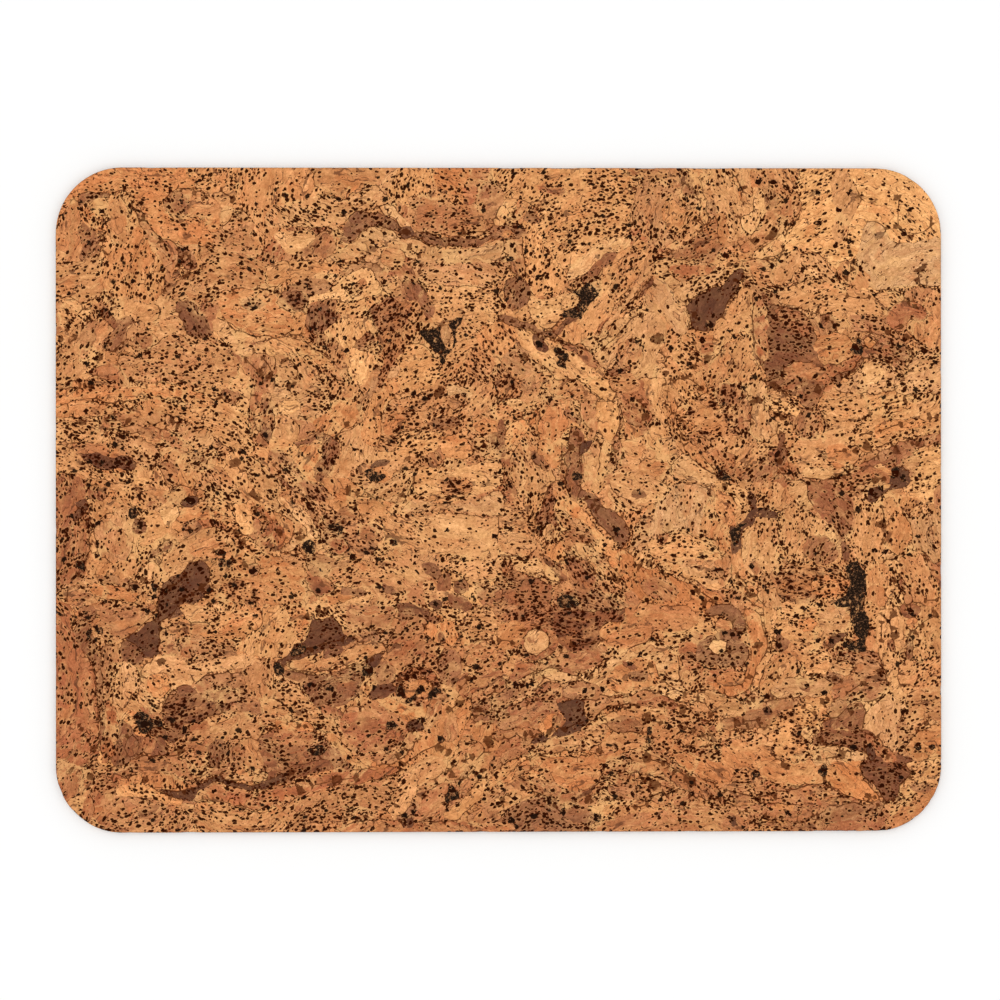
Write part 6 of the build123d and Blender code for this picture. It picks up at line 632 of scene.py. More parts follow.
    ("t", 4, 1, 20, [(41.8, -131.8), (45.4, -128.2), (48.1, -128.2), (46.3, -131.8), (43.6, -134.6)]),
    ("T", 3, 1, -10, [(59.0, -114.7), (64.4, -111.9), (68.9, -113.8), (73.4, -116.5), (77.9, -121.0), (72.5, -121.0), (65.3, -119.2), (59.9, -119.2)]),
    ("G", 6, 2, 15, [(46.3, -121.0), (50.8, -118.3), (56.2, -115.6), (59.9, -118.3), (56.2, -121.9), (50.8, -124.6), (46.3, -124.6)]),
    ("t", 7, 2, -32, [(66.2, -111.0), (72.5, -113.8), (79.7, -119.2), (87.0, -123.7), (94.2, -127.3), (100.5, -131.8), (100.5, -138.2), (93.3, -135.5), (86.0, -131.8), (79.7, -128.2), (74.3, -123.7), (70.7, -119.2)]),
    ("O", 1, 1, -28, [(74.3, -111.0), (83.3, -113.8), (92.4, -117.4), (101.4, -119.2), (106.8, -123.7), (101.4, -128.2), (94.2, -126.4), (87.0, -122.8), (79.7, -118.3)]),
    ("t", 6, 2, 2, [(47.2, -126.4), (56.2, -123.7), (67.1, -124.6), (77.9, -128.2), (86.0, -132.7), (90.6, -137.3), (81.5, -138.2), (68.9, -136.4), (56.2, -135.5), (46.3, -135.5)]),
    ("t", 7, 1, 3, [(49.0, -129.1), (56.2, -128.2), (62.6, -130.0), (59.0, -132.7), (50.8, -133.7)]),
    ("G", 7, 3, 15, [(0.2, -139.1), (9.3, -134.6), (20.1, -133.7), (27.3, -137.3), (32.8, -143.6), (31.9, -149.9), (-1.6, -149.9)]),
    ("l", 2, 1, 20, [(-1.6, -135.5), (5.7, -131.8), (13.8, -130.9), (18.3, -133.7), (9.3, -136.4), (1.1, -140.9)]),
    ("G", 5, 1, 10, [(30.0, -139.1), (38.2, -138.2), (43.6, -140.9), (43.6, -145.4), (37.3, -148.1), (31.9, -145.4)]),
    ("l", 2, 1, 25, [(40.9, -139.1), (46.3, -137.3), (52.6, -138.2), (49.0, -143.6), (44.5, -143.6)]),
    ("K", 0, 1, 10, [(42.7, -141.8), (45.9, -141.8), (45.9, -145.4), (43.1, -145.4)]),
    ("t", 2, 1, 5, [(45.4, -146.3), (55.3, -142.7), (67.1, -140.9), (79.7, -139.1), (92.4, -138.2), (104.1, -140.9), (108.6, -149.9), (45.4, -149.9)]),
    ("B", 1, 1, -15, [(93.3, -50.0), (96.9, -47.7), (103.2, -47.7), (107.7, -49.5), (110.4, -53.2), (111.3, -57.7), (109.5, -60.4), (105.9, -58.6), (104.1, -54.1), (100.5, -51.8), (96.0, -52.7)]),
    ("O", 1, 1, 0, [(97.8, -55.9), (100.5, -53.6), (104.1, -55.0), (105.5, -58.6), (102.3, -59.9), (98.2, -59.5)]),
    ("B", 3, 1, 3, [(97.8, -60.4), (103.2, -59.9), (109.5, -60.4), (108.6, -62.7), (103.2, -63.1), (98.2, -63.1)]),
    ("B", 5, 2, 0, [(90.6, -64.0), (95.1, -60.8), (101.4, -62.2), (107.7, -62.2), (111.3, -66.7), (111.8, -72.2), (107.7, -75.8), (101.4, -75.8), (95.1, -74.9), (89.7, -73.1), (88.3, -68.5)]),
    ("L", 0, 1, 10, [(94.2, -66.7), (96.0, -63.6), (99.6, -63.6), (102.8, -64.9), (102.8, -68.1), (100.0, -69.9), (96.4, -69.0)]),
    ("R", 5, 1, 0, [(81.5, -63.1), (87.9, -59.5), (92.4, -61.3), (89.7, -66.7), (88.8, -72.2), (93.3, -75.8), (100.5, -76.7), (106.8, -76.7), (110.4, -80.3), (104.1, -83.0), (96.0, -82.1), (89.7, -79.4), (84.2, -75.8), (81.5, -69.4)]),
    ("O", 3, 1, -5, [(98.7, -79.4), (105.0, -77.6), (110.4, -78.5), (109.5, -83.0), (103.2, -83.9), (97.8, -83.0)]),
    ("O", 0, 1, 85, [(111.3, -50.4), (115.9, -50.4), (119.0, -55.9), (120.4, -63.1), (120.4, -68.5), (117.7, -73.5), (115.9, -78.5), (113.1, -83.9), (110.4, -86.6), (105.9, -88.9), (100.5, -87.5), (96.0, -84.8), (94.2, -82.1), (100.5, -83.9), (106.8, -83.0), (110.9, -78.5), (113.1, -72.2), (113.1, -65.4), (111.8, -58.6)]),
    ("l", 1, 1, 85, [(119.5, -47.7), (124.9, -48.6), (124.9, -56.8), (123.1, -64.0), (123.1, -70.3), (120.4, -75.8), (118.6, -81.2), (115.9, -86.6), (113.1, -84.8), (116.3, -78.5), (118.1, -73.5), (120.8, -68.5), (121.3, -62.2), (119.5, -55.0)]),
    ("l", 3, 1, -3, [(93.3, -85.7), (100.5, -89.3), (108.6, -90.2), (112.2, -95.7), (108.6, -98.4), (100.5, -97.5), (93.3, -93.0)]),
    ("l", 5, 2, 5, [(125.8, -47.7), (135.7, -46.8), (144.8, -49.5), (144.8, -56.8), (146.6, -63.1), (144.8, -67.6), (137.5, -67.6), (131.2, -64.9), (126.7, -60.4)]),
    ("O", 3, 1, 0, [(135.7, -54.1), (140.2, -53.2), (143.0, -55.9), (141.1, -59.0), (136.6, -58.6)]),
    ("B", 3, 2, 60, [(125.3, -58.6), (128.1, -61.3), (131.2, -64.0), (129.4, -67.6), (126.7, -69.4), (124.9, -65.8)]),
    ("l", 3, 1, 0, [(136.6, -72.2), (141.1, -68.5), (147.5, -69.4), (149.3, -74.0), (147.5, -78.5), (142.1, -79.4), (137.5, -77.6)]),
    ("l", 1, 2, 0, [(145.7, -47.7), (153.8, -46.8), (158.3, -50.4), (158.3, -56.8), (154.7, -59.5), (148.4, -60.4), (144.8, -55.9)]),
    ("D", 0, 1, 35, [(148.4, -65.8), (150.2, -62.7), (153.3, -60.8), (157.0, -59.9), (156.1, -62.7), (152.9, -64.5), (150.2, -66.7)]),
    ("K", 1, 1, 80, [(158.3, -45.9), (163.7, -45.9), (165.5, -50.9), (167.3, -55.9), (167.3, -60.4), (165.5, -64.0), (166.4, -67.6), (162.8, -69.0), (157.4, -67.2), (156.5, -64.5), (160.1, -64.0), (162.8, -63.1), (160.6, -60.4), (159.2, -55.9), (159.2, -50.9)]),
    ("t", 9, 2, -15, [(152.9, -70.8), (158.3, -67.6), (166.4, -67.6), (171.0, -71.2), (173.7, -75.8), (175.5, -81.2), (171.9, -83.0), (165.5, -80.3), (158.3, -77.6), (153.8, -74.9)]),
    ("L", 2, 1, -5, [(151.1, -74.0), (156.5, -73.1), (160.1, -76.7), (156.5, -79.4), (151.1, -77.6)]),
    ("G", 3, 2, 15, [(150.2, -84.8), (156.5, -81.2), (163.7, -80.3), (171.0, -82.1), (175.9, -83.0), (175.0, -86.6), (171.9, -89.3), (165.5, -91.6), (158.3, -90.2), (152.9, -89.3)]),
    ("l", 2, 2, 5, [(123.1, -83.0), (130.3, -80.3), (138.4, -81.2), (147.5, -80.3), (150.2, -83.9), (147.5, -88.4), (138.4, -89.3), (130.3, -88.9), (124.0, -88.4)]),
    ("G", 0, 1, -20, [(135.7, -83.0), (139.3, -82.6), (141.6, -85.7), (139.3, -87.5), (136.2, -85.7)]),
    ("G", 6, 1, 5, [(147.5, -79.4), (152.9, -78.5), (154.7, -82.1), (150.2, -83.0)]),
    ("T", 4, 1, 60, [(118.6, -77.6), (124.9, -72.2), (131.2, -70.3), (135.7, -74.0), (135.7, -79.4), (129.4, -81.2), (123.1, -85.7), (117.7, -87.5)]),
    ("l", 2, 1, 80, [(172.8, -47.7), (179.1, -46.8), (182.7, -54.1), (181.8, -64.9), (181.8, -75.8), (180.0, -85.7), (175.5, -87.5), (174.6, -79.4), (171.9, -70.3), (171.0, -58.6)]),
    ("T", 5, 2, 85, [(181.8, -47.7), (192.6, -46.8), (200.3, -47.7), (200.3, -67.6), (192.6, -72.2), (184.5, -70.3), (182.7, -58.6)]),
    ("B", 3, 1, 60, [(181.8, -48.6), (186.3, -46.8), (190.8, -48.6), (189.0, -52.3), (183.6, -53.2)]),
    ("O", 0, 1, 70, [(183.6, -54.1), (188.1, -53.2), (189.9, -56.8), (186.3, -59.5)]),
    ("B", 1, 1, 88, [(184.5, -63.1), (186.8, -63.1), (187.2, -71.2), (185.0, -72.2)]),
    ("B", 2, 1, 75, [(175.5, -63.1), (177.7, -63.1), (179.1, -68.5), (176.8, -68.5)]),
    ("T", 5, 1, 40, [(181.8, -74.0), (189.9, -73.1), (200.3, -72.2), (200.3, -85.7), (192.6, -88.4), (184.5, -88.4), (180.9, -83.0)]),
    ("O", 0, 1, 30, [(183.6, -89.3), (189.9, -85.7), (200.3, -84.8), (200.3, -92.0), (192.6, -93.0), (186.3, -95.7)]),
    ("t", 6, 1, 0, [(189.9, -92.0), (196.2, -91.1), (200.3, -93.0), (200.3, -97.5), (194.4, -96.6)]),
    ("B", 1, 1, 20, [(153.8, -96.6), (158.3, -93.0), (162.8, -91.1), (165.1, -94.3), (164.6, -98.8), (164.6, -103.4), (159.2, -103.8), (152.9, -103.4), (147.5, -104.3), (146.1, -101.1), (150.2, -98.8)]),
    ("G", 1, 1, 20, [(148.8, -93.4), (152.0, -90.2), (156.5, -90.2), (159.7, -92.0), (156.5, -95.2), (152.9, -97.9), (149.3, -98.8), (147.9, -96.1)]),
    ("B", 6, 1, -5, [(141.1, -108.3), (145.7, -104.7), (152.0, -103.8), (158.3, -104.3), (164.6, -103.8), (169.2, -106.5), (172.8, -110.1), (171.0, -113.8), (166.4, -114.2), (160.1, -112.9), (153.8, -111.5), (147.5, -110.6), (142.1, -111.9)]),
    ("R", 3, 1, -40, [(165.5, -106.5), (171.0, -107.4), (175.5, -111.9), (180.0, -116.5), (175.5, -119.2), (171.0, -115.6), (167.3, -112.9)]),
    ("D", 3, 1, 80, [(166.0, -111.0), (168.2, -110.1), (170.1, -115.6), (168.2, -118.3), (166.0, -115.6)]),
    ("l", 8, 1, 3, [(123.1, -100.2), (127.6, -94.8), (135.7, -92.0), (142.1, -93.0), (145.7, -97.5), (144.8, -103.8), (141.1, -108.3), (139.3, -113.8), (133.0, -116.5), (125.8, -116.5), (122.2, -111.9), (121.3, -105.6)]),
    ("L", 0, 1, 0, [(136.6, -104.3), (139.3, -102.9), (142.1, -104.7), (140.7, -107.4), (137.5, -107.4)]),
    ("G", 1, 1, 8, [(107.7, -98.4), (114.1, -93.9), (121.3, -90.7), (129.4, -89.8), (136.6, -90.2), (133.0, -93.9), (126.7, -95.7), (124.9, -99.7), (120.4, -102.9), (113.1, -103.8), (105.9, -103.4), (100.5, -102.9), (100.5, -99.3)]),
    ("D", 1, 1, 50, [(119.0, -93.9), (121.7, -93.0), (123.1, -95.7), (121.3, -97.9), (119.0, -96.6)]),
    ("T", 5, 1, 3, [(99.6, -103.8), (108.6, -104.7), (117.7, -105.6), (123.1, -108.3), (122.2, -111.9), (114.1, -110.1), (105.9, -108.3), (98.7, -108.3)]),
    ("O", 0, 1, -5, [(100.5, -112.9), (109.5, -109.2), (118.6, -111.9), (124.9, -116.5), (133.0, -119.2), (142.1, -117.4), (149.3, -119.2), (151.1, -124.6), (145.7, -128.2), (136.6, -129.1), (126.7, -128.2), (117.7, -124.6), (108.6, -121.0), (100.5, -121.0)]),
    ("l", 1, 1, -3, [(141.1, -113.8), (147.5, -111.9), (155.6, -112.9), (165.5, -114.7), (165.5, -118.3), (157.4, -118.3), (148.4, -119.2), (142.1, -119.2)]),
    ("K", 0, 1, 10, [(114.5, -122.8), (116.8, -121.9), (118.1, -124.2), (116.3, -125.5), (114.5, -125.1)]),
    ("K", 1, 1, 20, [(144.3, -121.0), (147.0, -119.6), (148.8, -122.8), (147.0, -125.5), (144.8, -124.2)]),
    ("O", 0, 1, -30, [(149.3, -120.1), (157.4, -117.8), (164.6, -118.3), (166.4, -121.9), (164.6, -125.5), (168.2, -130.9), (171.9, -135.5), (164.6, -136.4), (157.4, -134.1), (152.0, -130.5), (147.5, -126.4)]),
    ("B", 7, 2, -10, [(163.7, -121.0), (168.2, -116.5), (173.7, -116.5), (180.9, -115.6), (186.8, -117.4), (188.6, -121.9), (184.5, -125.5), (181.8, -130.0), (180.0, -134.6), (174.6, -136.4), (171.9, -131.8), (168.2, -128.2), (164.6, -125.1)]),
    ("l", 1, 1, 88, [(165.5, -96.6), (171.0, -91.6), (176.4, -88.4), (180.9, -91.1), (181.8, -97.5), (180.0, -103.8), (180.0, -110.1), (179.1, -114.7), (174.6, -111.0), (170.1, -107.4), (165.5, -103.8), (164.6, -100.2)]),
    ("O", 1, 1, 0, [(183.6, -112.9), (187.2, -107.4), (193.5, -103.8), (200.3, -102.9), (200.3, -115.6), (194.4, -117.8), (187.2, -116.5)]),
    ("K", 0, 1, 0, [(187.7, -110.1), (190.4, -111.0), (190.8, -112.9), (188.1, -112.4)]),
    ("K", 0, 1, 0, [(194.4, -111.0), (197.2, -111.5), (197.2, -113.8), (194.9, -113.3)]),
    ("l", 5, 1, 20, [(183.6, -119.2), (190.8, -118.3), (200.3, -117.4), (200.3, -126.4), (194.4, -130.9), (187.2, -133.7), (181.8, -135.5), (181.8, -129.1), (186.3, -123.7)]),
    ("G", 3, 1, 10, [(186.3, -130.0), (190.8, -128.2), (195.3, -129.1), (194.4, -132.3), (189.0, -132.7)]),
    ("O", 2, 1, 30, [(174.6, -147.2), (178.2, -141.8), (182.7, -138.2), (189.9, -135.5), (196.2, -137.3), (189.9, -142.7), (182.7, -146.3)]),
    ("t", 5, 1, -8, [(101.4, -129.1), (110.4, -128.2), (119.5, -130.9), (128.5, -131.8), (137.5, -130.0), (144.8, -130.0), (143.0, -135.5), (135.7, -138.2), (126.7, -137.3), (117.7, -137.3), (108.6, -136.4), (100.5, -135.5)]),
    ("t", 4, 1, 0, [(143.0, -130.0), (149.3, -130.0), (154.7, -133.7), (159.2, -136.4), (153.8, -138.2), (146.6, -138.2)]),
    ("t", 2, 1, -4, [(106.8, -138.2), (115.9, -138.2), (124.9, -140.0), (133.9, -140.9), (142.1, -139.1), (148.4, -137.3), (146.6, -140.9), (141.1, -144.1), (132.1, -145.4), (121.3, -144.5), (112.2, -142.2)]),
    ("B", 3, 1, 12, [(141.1, -144.5), (147.5, -140.9), (151.1, -137.3), (158.3, -136.8), (166.4, -138.2), (172.8, -136.4), (173.7, -140.9), (165.5, -143.6), (156.5, -145.4), (147.5, -146.3)]),
    ("G", 2, 1, -4, [(110.4, -142.7), (121.3, -145.4), (132.1, -146.3), (141.1, -145.0), (147.5, -146.8), (138.4, -149.0), (128.5, -148.6), (118.6, -147.2)]),
    ("R", 3, 1, 4, [(147.5, -147.2), (157.4, -145.4), (167.3, -143.6), (175.5, -140.9), (173.7, -149.9), (147.5, -149.9)]),
    ("D", 1, 1, 80, [(104.6, -143.1), (106.8, -143.1), (107.3, -147.2), (105.0, -147.7)]),
]

# growth lines and seams: strength, points in mm
SEAMS = [
    (1.0, [(-186.7, 137.7), (-184.0, 138.6), (-180.4, 139.0), (-176.8, 139.5), (-171.4, 140.4), (-166.9, 138.6), (-163.3, 135.9), (-161.0, 131.3), (-158.7, 126.8), (-156.9, 123.2), (-154.2, 120.0), (-151.5, 117.8), (-147.9, 116.4), (-144.3, 113.7)]),
    (0.7, [(-176.4, 137.7), (-177.3, 133.2), (-178.6, 128.6), (-179.1, 124.1), (-179.5, 119.6), (-180.0, 115.1), (-180.4, 107.8)]),
    (0.7, [(-169.1, 135.4), (-164.6, 131.3), (-161.5, 124.6), (-154.7, 119.1)]),
    (0.7, [(-144.3, 113.7), (-141.6, 111.4), (-138.9, 107.8), (-137.1, 105.1)]),
    (0.7, [(-152.4, 134.5), (-149.7, 137.7), (-146.1, 139.5), (-141.6, 140.4), (-137.1, 139.9), (-133.4, 139.0)]),
    (0.8, [(-125.3, 139.5), (-122.6, 137.7), (-119.9, 135.9), (-118.1, 133.2), (-116.3, 129.5), (-119.0, 127.3), (-121.7, 125.0), (-124.4, 122.8), (-126.2, 120.5)]),
    (1.0, [(-153.3, 90.6), (-150.6, 94.3), (-147.9, 97.4), (-145.6, 103.3), (-144.3, 107.8), (-145.2, 113.3)]),
    (0.8, [(-197.6, 67.1), (-191.7, 73.5), (-187.2, 79.3), (-182.7, 82.5), (-176.8, 83.4)]),
    (0.6, [(-197.6, 72.6), (-194.0, 78.0), (-190.4, 83.4), (-187.6, 86.1)]),
    (0.8, [(-180.4, 64.4), (-175.0, 67.1), (-170.5, 70.3), (-168.7, 74.8)]),
    (1.0, [(-125.3, 81.6), (-120.8, 77.1), (-117.2, 75.7), (-114.0, 76.2), (-107.3, 73.0), (-101.4, 73.5), (-92.3, 74.4), (-88.3, 73.0)]),
    (0.8, [(-88.3, 73.0), (-84.7, 69.8), (-81.1, 66.7), (-77.4, 64.4)]),
    (0.8, [(-116.7, 65.3), (-112.7, 61.7), (-109.1, 58.1), (-106.8, 54.5)]),
    (0.9, [(-110.4, 65.8), (-105.4, 62.6), (-102.7, 57.2), (-103.2, 49.9), (-102.7, 45.4)]),
    (0.8, [(-111.8, 47.7), (-112.7, 40.0), (-109.5, 31.9), (-110.0, 27.3)]),
    (0.5, [(-98.2, 64.4), (-93.7, 62.6), (-91.0, 59.0), (-91.9, 54.5), (-95.5, 51.8)]),
    (0.8, [(-198.5, 43.6), (-191.7, 44.1), (-182.7, 45.0), (-171.4, 44.1), (-160.1, 45.4)]),
    (0.5, [(-188.5, 35.0), (-180.4, 36.4), (-173.6, 35.9), (-164.6, 36.4), (-153.3, 35.0), (-142.0, 35.0)]),
    (0.8, [(-176.8, 30.5), (-172.3, 32.3), (-166.9, 34.1), (-160.5, 35.5), (-155.1, 33.7), (-151.5, 31.4), (-148.8, 29.1)]),
    (1.0, [(-161.5, 27.3), (-157.8, 24.6), (-154.2, 21.9)]),
    (0.5, [(-198.5, 9.2), (-193.1, 10.1), (-187.6, 8.3), (-182.2, 6.5)]),
    (0.8, [(-118.1, 15.6), (-115.4, 11.1), (-113.6, 6.5), (-110.0, 2.0), (-107.3, -1.6)]),
    (0.8, [(-104.5, 18.3), (-100.9, 14.7), (-98.2, 10.6)]),
    (0.8, [(-73.8, 27.3), (-72.9, 31.0), (-69.3, 33.7), (-65.7, 35.5)]),
    (1.0, [(-193.1, 52.2), (-189.5, 50.4), (-184.9, 51.3)]),
    (1.0, [(-185.8, -8.8), (-185.4, -15.6), (-186.7, -23.3), (-187.6, -30.5)]),
    (0.8, [(-189.5, -31.5), (-194.0, -39.6), (-194.9, -46.8), (-192.6, -54.1)]),
    (1.0, [(-186.3, -68.5), (-183.1, -74.4), (-182.2, -82.1), (-181.3, -92.5), (-180.4, -99.3)]),
    (0.5, [(-179.5, -63.1), (-179.1, -74.4), (-180.0, -85.7)]),
    (0.5, [(-189.5, -101.5), (-185.8, -106.1), (-184.5, -110.6), (-180.9, -111.0), (-180.0, -101.1)]),
    (1.0, [(-169.1, -63.1), (-164.2, -57.2), (-157.8, -54.5), (-155.1, -50.9), (-153.3, -45.9), (-149.7, -40.5), (-143.4, -36.0), (-140.7, -31.5), (-135.3, -28.7), (-131.2, -31.0), (-130.7, -36.0), (-129.4, -40.5)]),
    (1.0, [(-153.3, -69.9), (-153.3, -58.6), (-148.8, -51.8), (-145.2, -46.8), (-139.8, -42.8), (-135.3, -40.5)]),
    (0.8, [(-161.5, -81.2), (-161.5, -76.7), (-157.8, -73.1), (-153.3, -72.2)]),
    (1.0, [(-135.3, -80.3), (-139.8, -82.1), (-145.2, -85.7), (-148.8, -88.0), (-151.1, -91.1), (-152.4, -95.7)]),
    (0.9, [(-134.4, -79.8), (-124.0, -78.9), (-117.2, -78.9), (-112.7, -75.3)]),
    (1.0, [(-184.9, -124.6), (-175.9, -119.6), (-169.1, -117.4), (-160.1, -115.1), (-153.3, -115.6), (-143.4, -115.1)]),
    (1.0, [(-180.4, -126.4), (-169.1, -124.2), (-161.5, -125.5), (-154.2, -128.7), (-152.0, -131.4), (-144.3, -131.8), (-139.8, -130.9), (-137.5, -127.3), (-128.5, -125.1), (-126.2, -122.8)]),
    (1.0, [(-126.2, -123.3), (-124.9, -126.4), (-119.4, -127.8), (-112.7, -128.7), (-105.9, -129.1), (-99.1, -126.4), (-92.3, -121.9), (-83.3, -118.3), (-78.8, -116.0)]),
    (0.8, [(-124.0, -125.1), (-112.7, -126.4), (-107.3, -125.5), (-100.0, -124.2)]),
    (0.8, [(-110.4, -109.2), (-107.3, -104.7), (-101.4, -102.9), (-92.3, -101.5), (-84.7, -103.4), (-80.2, -106.1), (-77.9, -109.2)]),
    (0.8, [(-154.2, -131.8), (-144.3, -134.1), (-135.3, -135.5), (-126.2, -135.5), (-119.4, -136.8), (-112.7, -140.0), (-108.2, -140.9)]),
    (0.8, [(-89.2, -131.8), (-83.3, -128.7), (-76.5, -127.3), (-65.7, -125.5)]),
    (1.0, [(-86.5, -58.6), (-85.6, -50.4), (-77.9, -51.8), (-72.9, -56.3), (-66.6, -61.8)]),
    (1.0, [(-99.1, -74.4), (-92.3, -69.9), (-83.3, -66.3), (-74.3, -63.6), (-65.7, -62.2)]),
    (1.0, [(-98.2, -74.4), (-94.6, -77.1), (-84.7, -78.0), (-75.6, -77.1), (-65.7, -75.3)]),
    (0.6, [(-153.3, -20.1), (-146.5, -15.6), (-139.8, -13.4), (-130.7, -11.6), (-124.0, -11.6), (-119.4, -14.3), (-117.2, -18.8)]),
    (0.8, [(-121.7, -2.1), (-119.4, -7.5), (-116.3, -14.3), (-112.7, -17.9)]),
    (1.0, [(-110.4, -2.1), (-107.3, -6.6), (-103.6, -9.7)]),
    (1.0, [(-99.1, -13.4), (-98.2, -18.8), (-98.7, -23.3), (-94.6, -24.7), (-90.1, -23.3)]),
    (0.5, [(-99.1, -2.1), (-95.5, -6.6), (-91.4, -11.1), (-90.1, -17.9)]),
    (0.8, [(-175.9, -34.6), (-169.1, -36.9), (-160.1, -36.0)]),
    (0.8, [(-67.5, 128.6), (-60.7, 130.0), (-53.1, 129.1), (-48.1, 126.8), (-44.9, 123.7), (-43.1, 121.8)]),
    (1.0, [(-67.5, 117.3), (-63.0, 120.0), (-57.6, 122.3), (-50.8, 122.8), (-46.3, 120.5), (-41.3, 119.1), (-35.9, 117.8), (-31.4, 115.5), (-26.9, 115.1), (-18.7, 115.5), (-11.1, 116.4), (-4.3, 118.2), (-0.7, 119.1)]),
    (0.9, [(-41.3, 121.4), (-33.6, 120.9), (-26.9, 120.0), (-20.1, 119.6), (-13.3, 120.5), (-6.5, 121.4)]),
    (0.8, [(-67.5, 104.2), (-63.0, 106.0), (-58.5, 106.5), (-54.0, 105.6), (-50.3, 103.3), (-47.6, 101.0)]),
    (0.5, [(-40.0, 113.3), (-35.0, 108.7), (-35.9, 103.3), (-37.7, 99.7)]),
    (1.0, [(0.2, 133.6), (-1.1, 128.2), (-3.4, 124.6), (-5.6, 121.4)]),
    (0.8, [(0.2, 116.9), (1.6, 111.0), (3.4, 105.1), (7.0, 101.9), (10.2, 99.7)]),
    (0.5, [(10.2, 116.9), (11.5, 108.7), (11.5, 101.9), (14.7, 97.4), (15.1, 90.6)]),
    (0.8, [(11.5, 88.8), (13.8, 83.9), (16.0, 79.3), (22.8, 77.1), (26.4, 79.3), (29.6, 83.0)]),
    (1.0, [(0.2, 81.6), (5.7, 80.7), (11.5, 78.0), (18.3, 75.7), (23.7, 73.5), (27.3, 72.6)]),
    (1.0, [(45.4, 70.3), (49.9, 74.8), (54.4, 81.6), (59.0, 87.0), (63.5, 92.9), (68.0, 98.8)]),
    (0.8, [(47.7, 68.9), (52.6, 73.5), (56.2, 78.0), (60.8, 82.5), (67.1, 85.2)]),
    (1.0, [(45.9, 59.9), (48.1, 55.4), (50.4, 50.8), (53.5, 45.4), (54.4, 40.0), (54.4, 34.6), (52.6, 29.1), (51.3, 23.7), (50.8, 18.3)]),
    (0.9, [(10.2, 70.3), (11.1, 65.3), (16.0, 61.2), (21.0, 59.0), (23.7, 56.3), (28.2, 54.0), (36.4, 53.1), (40.9, 49.9), (45.4, 46.3), (50.8, 45.0)]),
    (1.0, [(28.2, 71.7), (34.1, 69.8), (39.5, 66.7), (44.0, 60.8)]),
    (0.8, [(18.3, 40.9), (19.2, 35.5), (17.4, 31.0), (16.0, 25.1), (15.1, 20.1), (18.8, 15.1), (24.2, 11.5), (23.3, 7.9), (21.5, 2.9), (20.6, -1.6)]),
    (1.0, [(32.3, 31.0), (30.5, 23.7), (28.2, 17.4), (30.5, 12.4), (29.6, 7.9), (32.8, 2.5), (37.3, -1.2)]),
    (1.0, [(34.1, 31.9), (36.8, 26.0), (36.4, 18.3), (35.9, 11.5), (36.4, 4.7), (40.0, 0.7), (45.4, -0.7)]),
    (0.8, [(36.8, 40.9), (37.7, 35.5), (43.1, 29.6), (45.4, 23.7), (44.5, 17.4), (45.4, 10.1)]),
    (0.5, [(43.6, 44.5), (45.4, 40.0), (45.9, 29.1), (45.9, 18.3)]),
    (0.5, [(-26.9, 49.9), (-22.3, 51.8), (-17.8, 50.8), (-16.0, 47.7)]),
    (0.8, [(-16.5, 19.2), (-13.3, 20.6), (-7.9, 24.2), (-2.0, 26.4), (1.1, 28.7), (4.8, 31.9), (9.3, 34.6)]),
    (0.8, [(-44.0, 20.6), (-40.4, 17.4), (-37.2, 13.8), (-37.7, 8.3), (-40.4, 3.8), (-42.2, -0.7)]),
    (1.0, [(-67.5, 3.8), (-58.5, 2.5), (-51.7, 0.7), (-45.8, -1.2)]),
    (0.8, [(61.7, 46.3), (65.7, 41.8), (67.1, 36.4)]),
    (1.0, [(3.4, -81.2), (0.2, -85.7), (-4.3, -88.0), (-7.9, -91.1), (-11.1, -94.8), (-12.4, -98.4)]),
    (0.9, [(10.2, -79.8), (18.3, -77.6), (26.0, -76.7), (31.9, -78.9), (40.9, -79.8), (45.4, -74.4), (54.4, -70.8), (62.1, -65.4), (70.2, -63.1)]),
    (0.6, [(9.3, -74.4), (13.8, -74.0), (20.6, -72.2), (27.3, -68.5), (34.1, -66.3), (40.9, -64.9), (47.7, -63.1)]),
    (1.0, [(0.2, -97.0), (9.3, -92.5), (18.3, -90.2), (22.8, -88.9), (28.2, -90.2), (36.4, -91.1), (45.4, -88.9), (54.4, -88.0), (61.2, -88.0), (70.2, -85.7)]),
    (1.0, [(-26.9, -125.1), (-22.3, -124.6), (-19.2, -120.5), (-15.6, -117.4), (-8.8, -115.1), (-1.1, -111.5), (4.8, -108.3), (11.5, -106.1), (18.3, -104.3), (26.0, -104.7), (34.1, -101.5), (40.9, -99.3), (46.3, -95.7), (52.2, -93.4), (59.0, -92.5), (70.2, -93.0)]),
    (0.8, [(-35.9, -133.2), (-30.5, -127.3), (-22.3, -121.9), (-19.2, -117.4), (-14.7, -115.1), (-11.1, -110.6), (-4.3, -109.2), (2.5, -108.3)]),
    (0.8, [(-19.2, -127.3), (-13.3, -124.2), (-7.9, -122.8), (-1.1, -119.6), (7.0, -117.4), (18.3, -116.0), (29.6, -113.8), (38.6, -115.1), (45.4, -113.8)]),
    (0.8, [(-17.8, -134.1), (-11.1, -128.7), (-4.3, -124.2), (2.5, -121.9), (9.3, -120.5), (16.0, -121.9), (21.5, -124.2), (26.0, -126.4)]),
    (0.8, [(0.2, -136.4), (4.8, -133.2), (11.5, -131.8), (18.3, -133.2), (22.8, -136.4), (27.3, -140.0)]),
    (1.0, [(-45.8, -110.6), (-44.9, -117.4), (-38.2, -110.6), (-35.9, -107.0)]),
    (0.8, [(-63.0, -121.9), (-56.2, -120.5), (-49.4, -119.6), (-44.9, -118.3)]),
    (1.0, [(-56.2, -126.0), (-48.5, -125.1), (-44.9, -120.5), (-38.2, -116.0), (-33.6, -112.9), (-28.2, -111.0), (-22.3, -113.8)]),
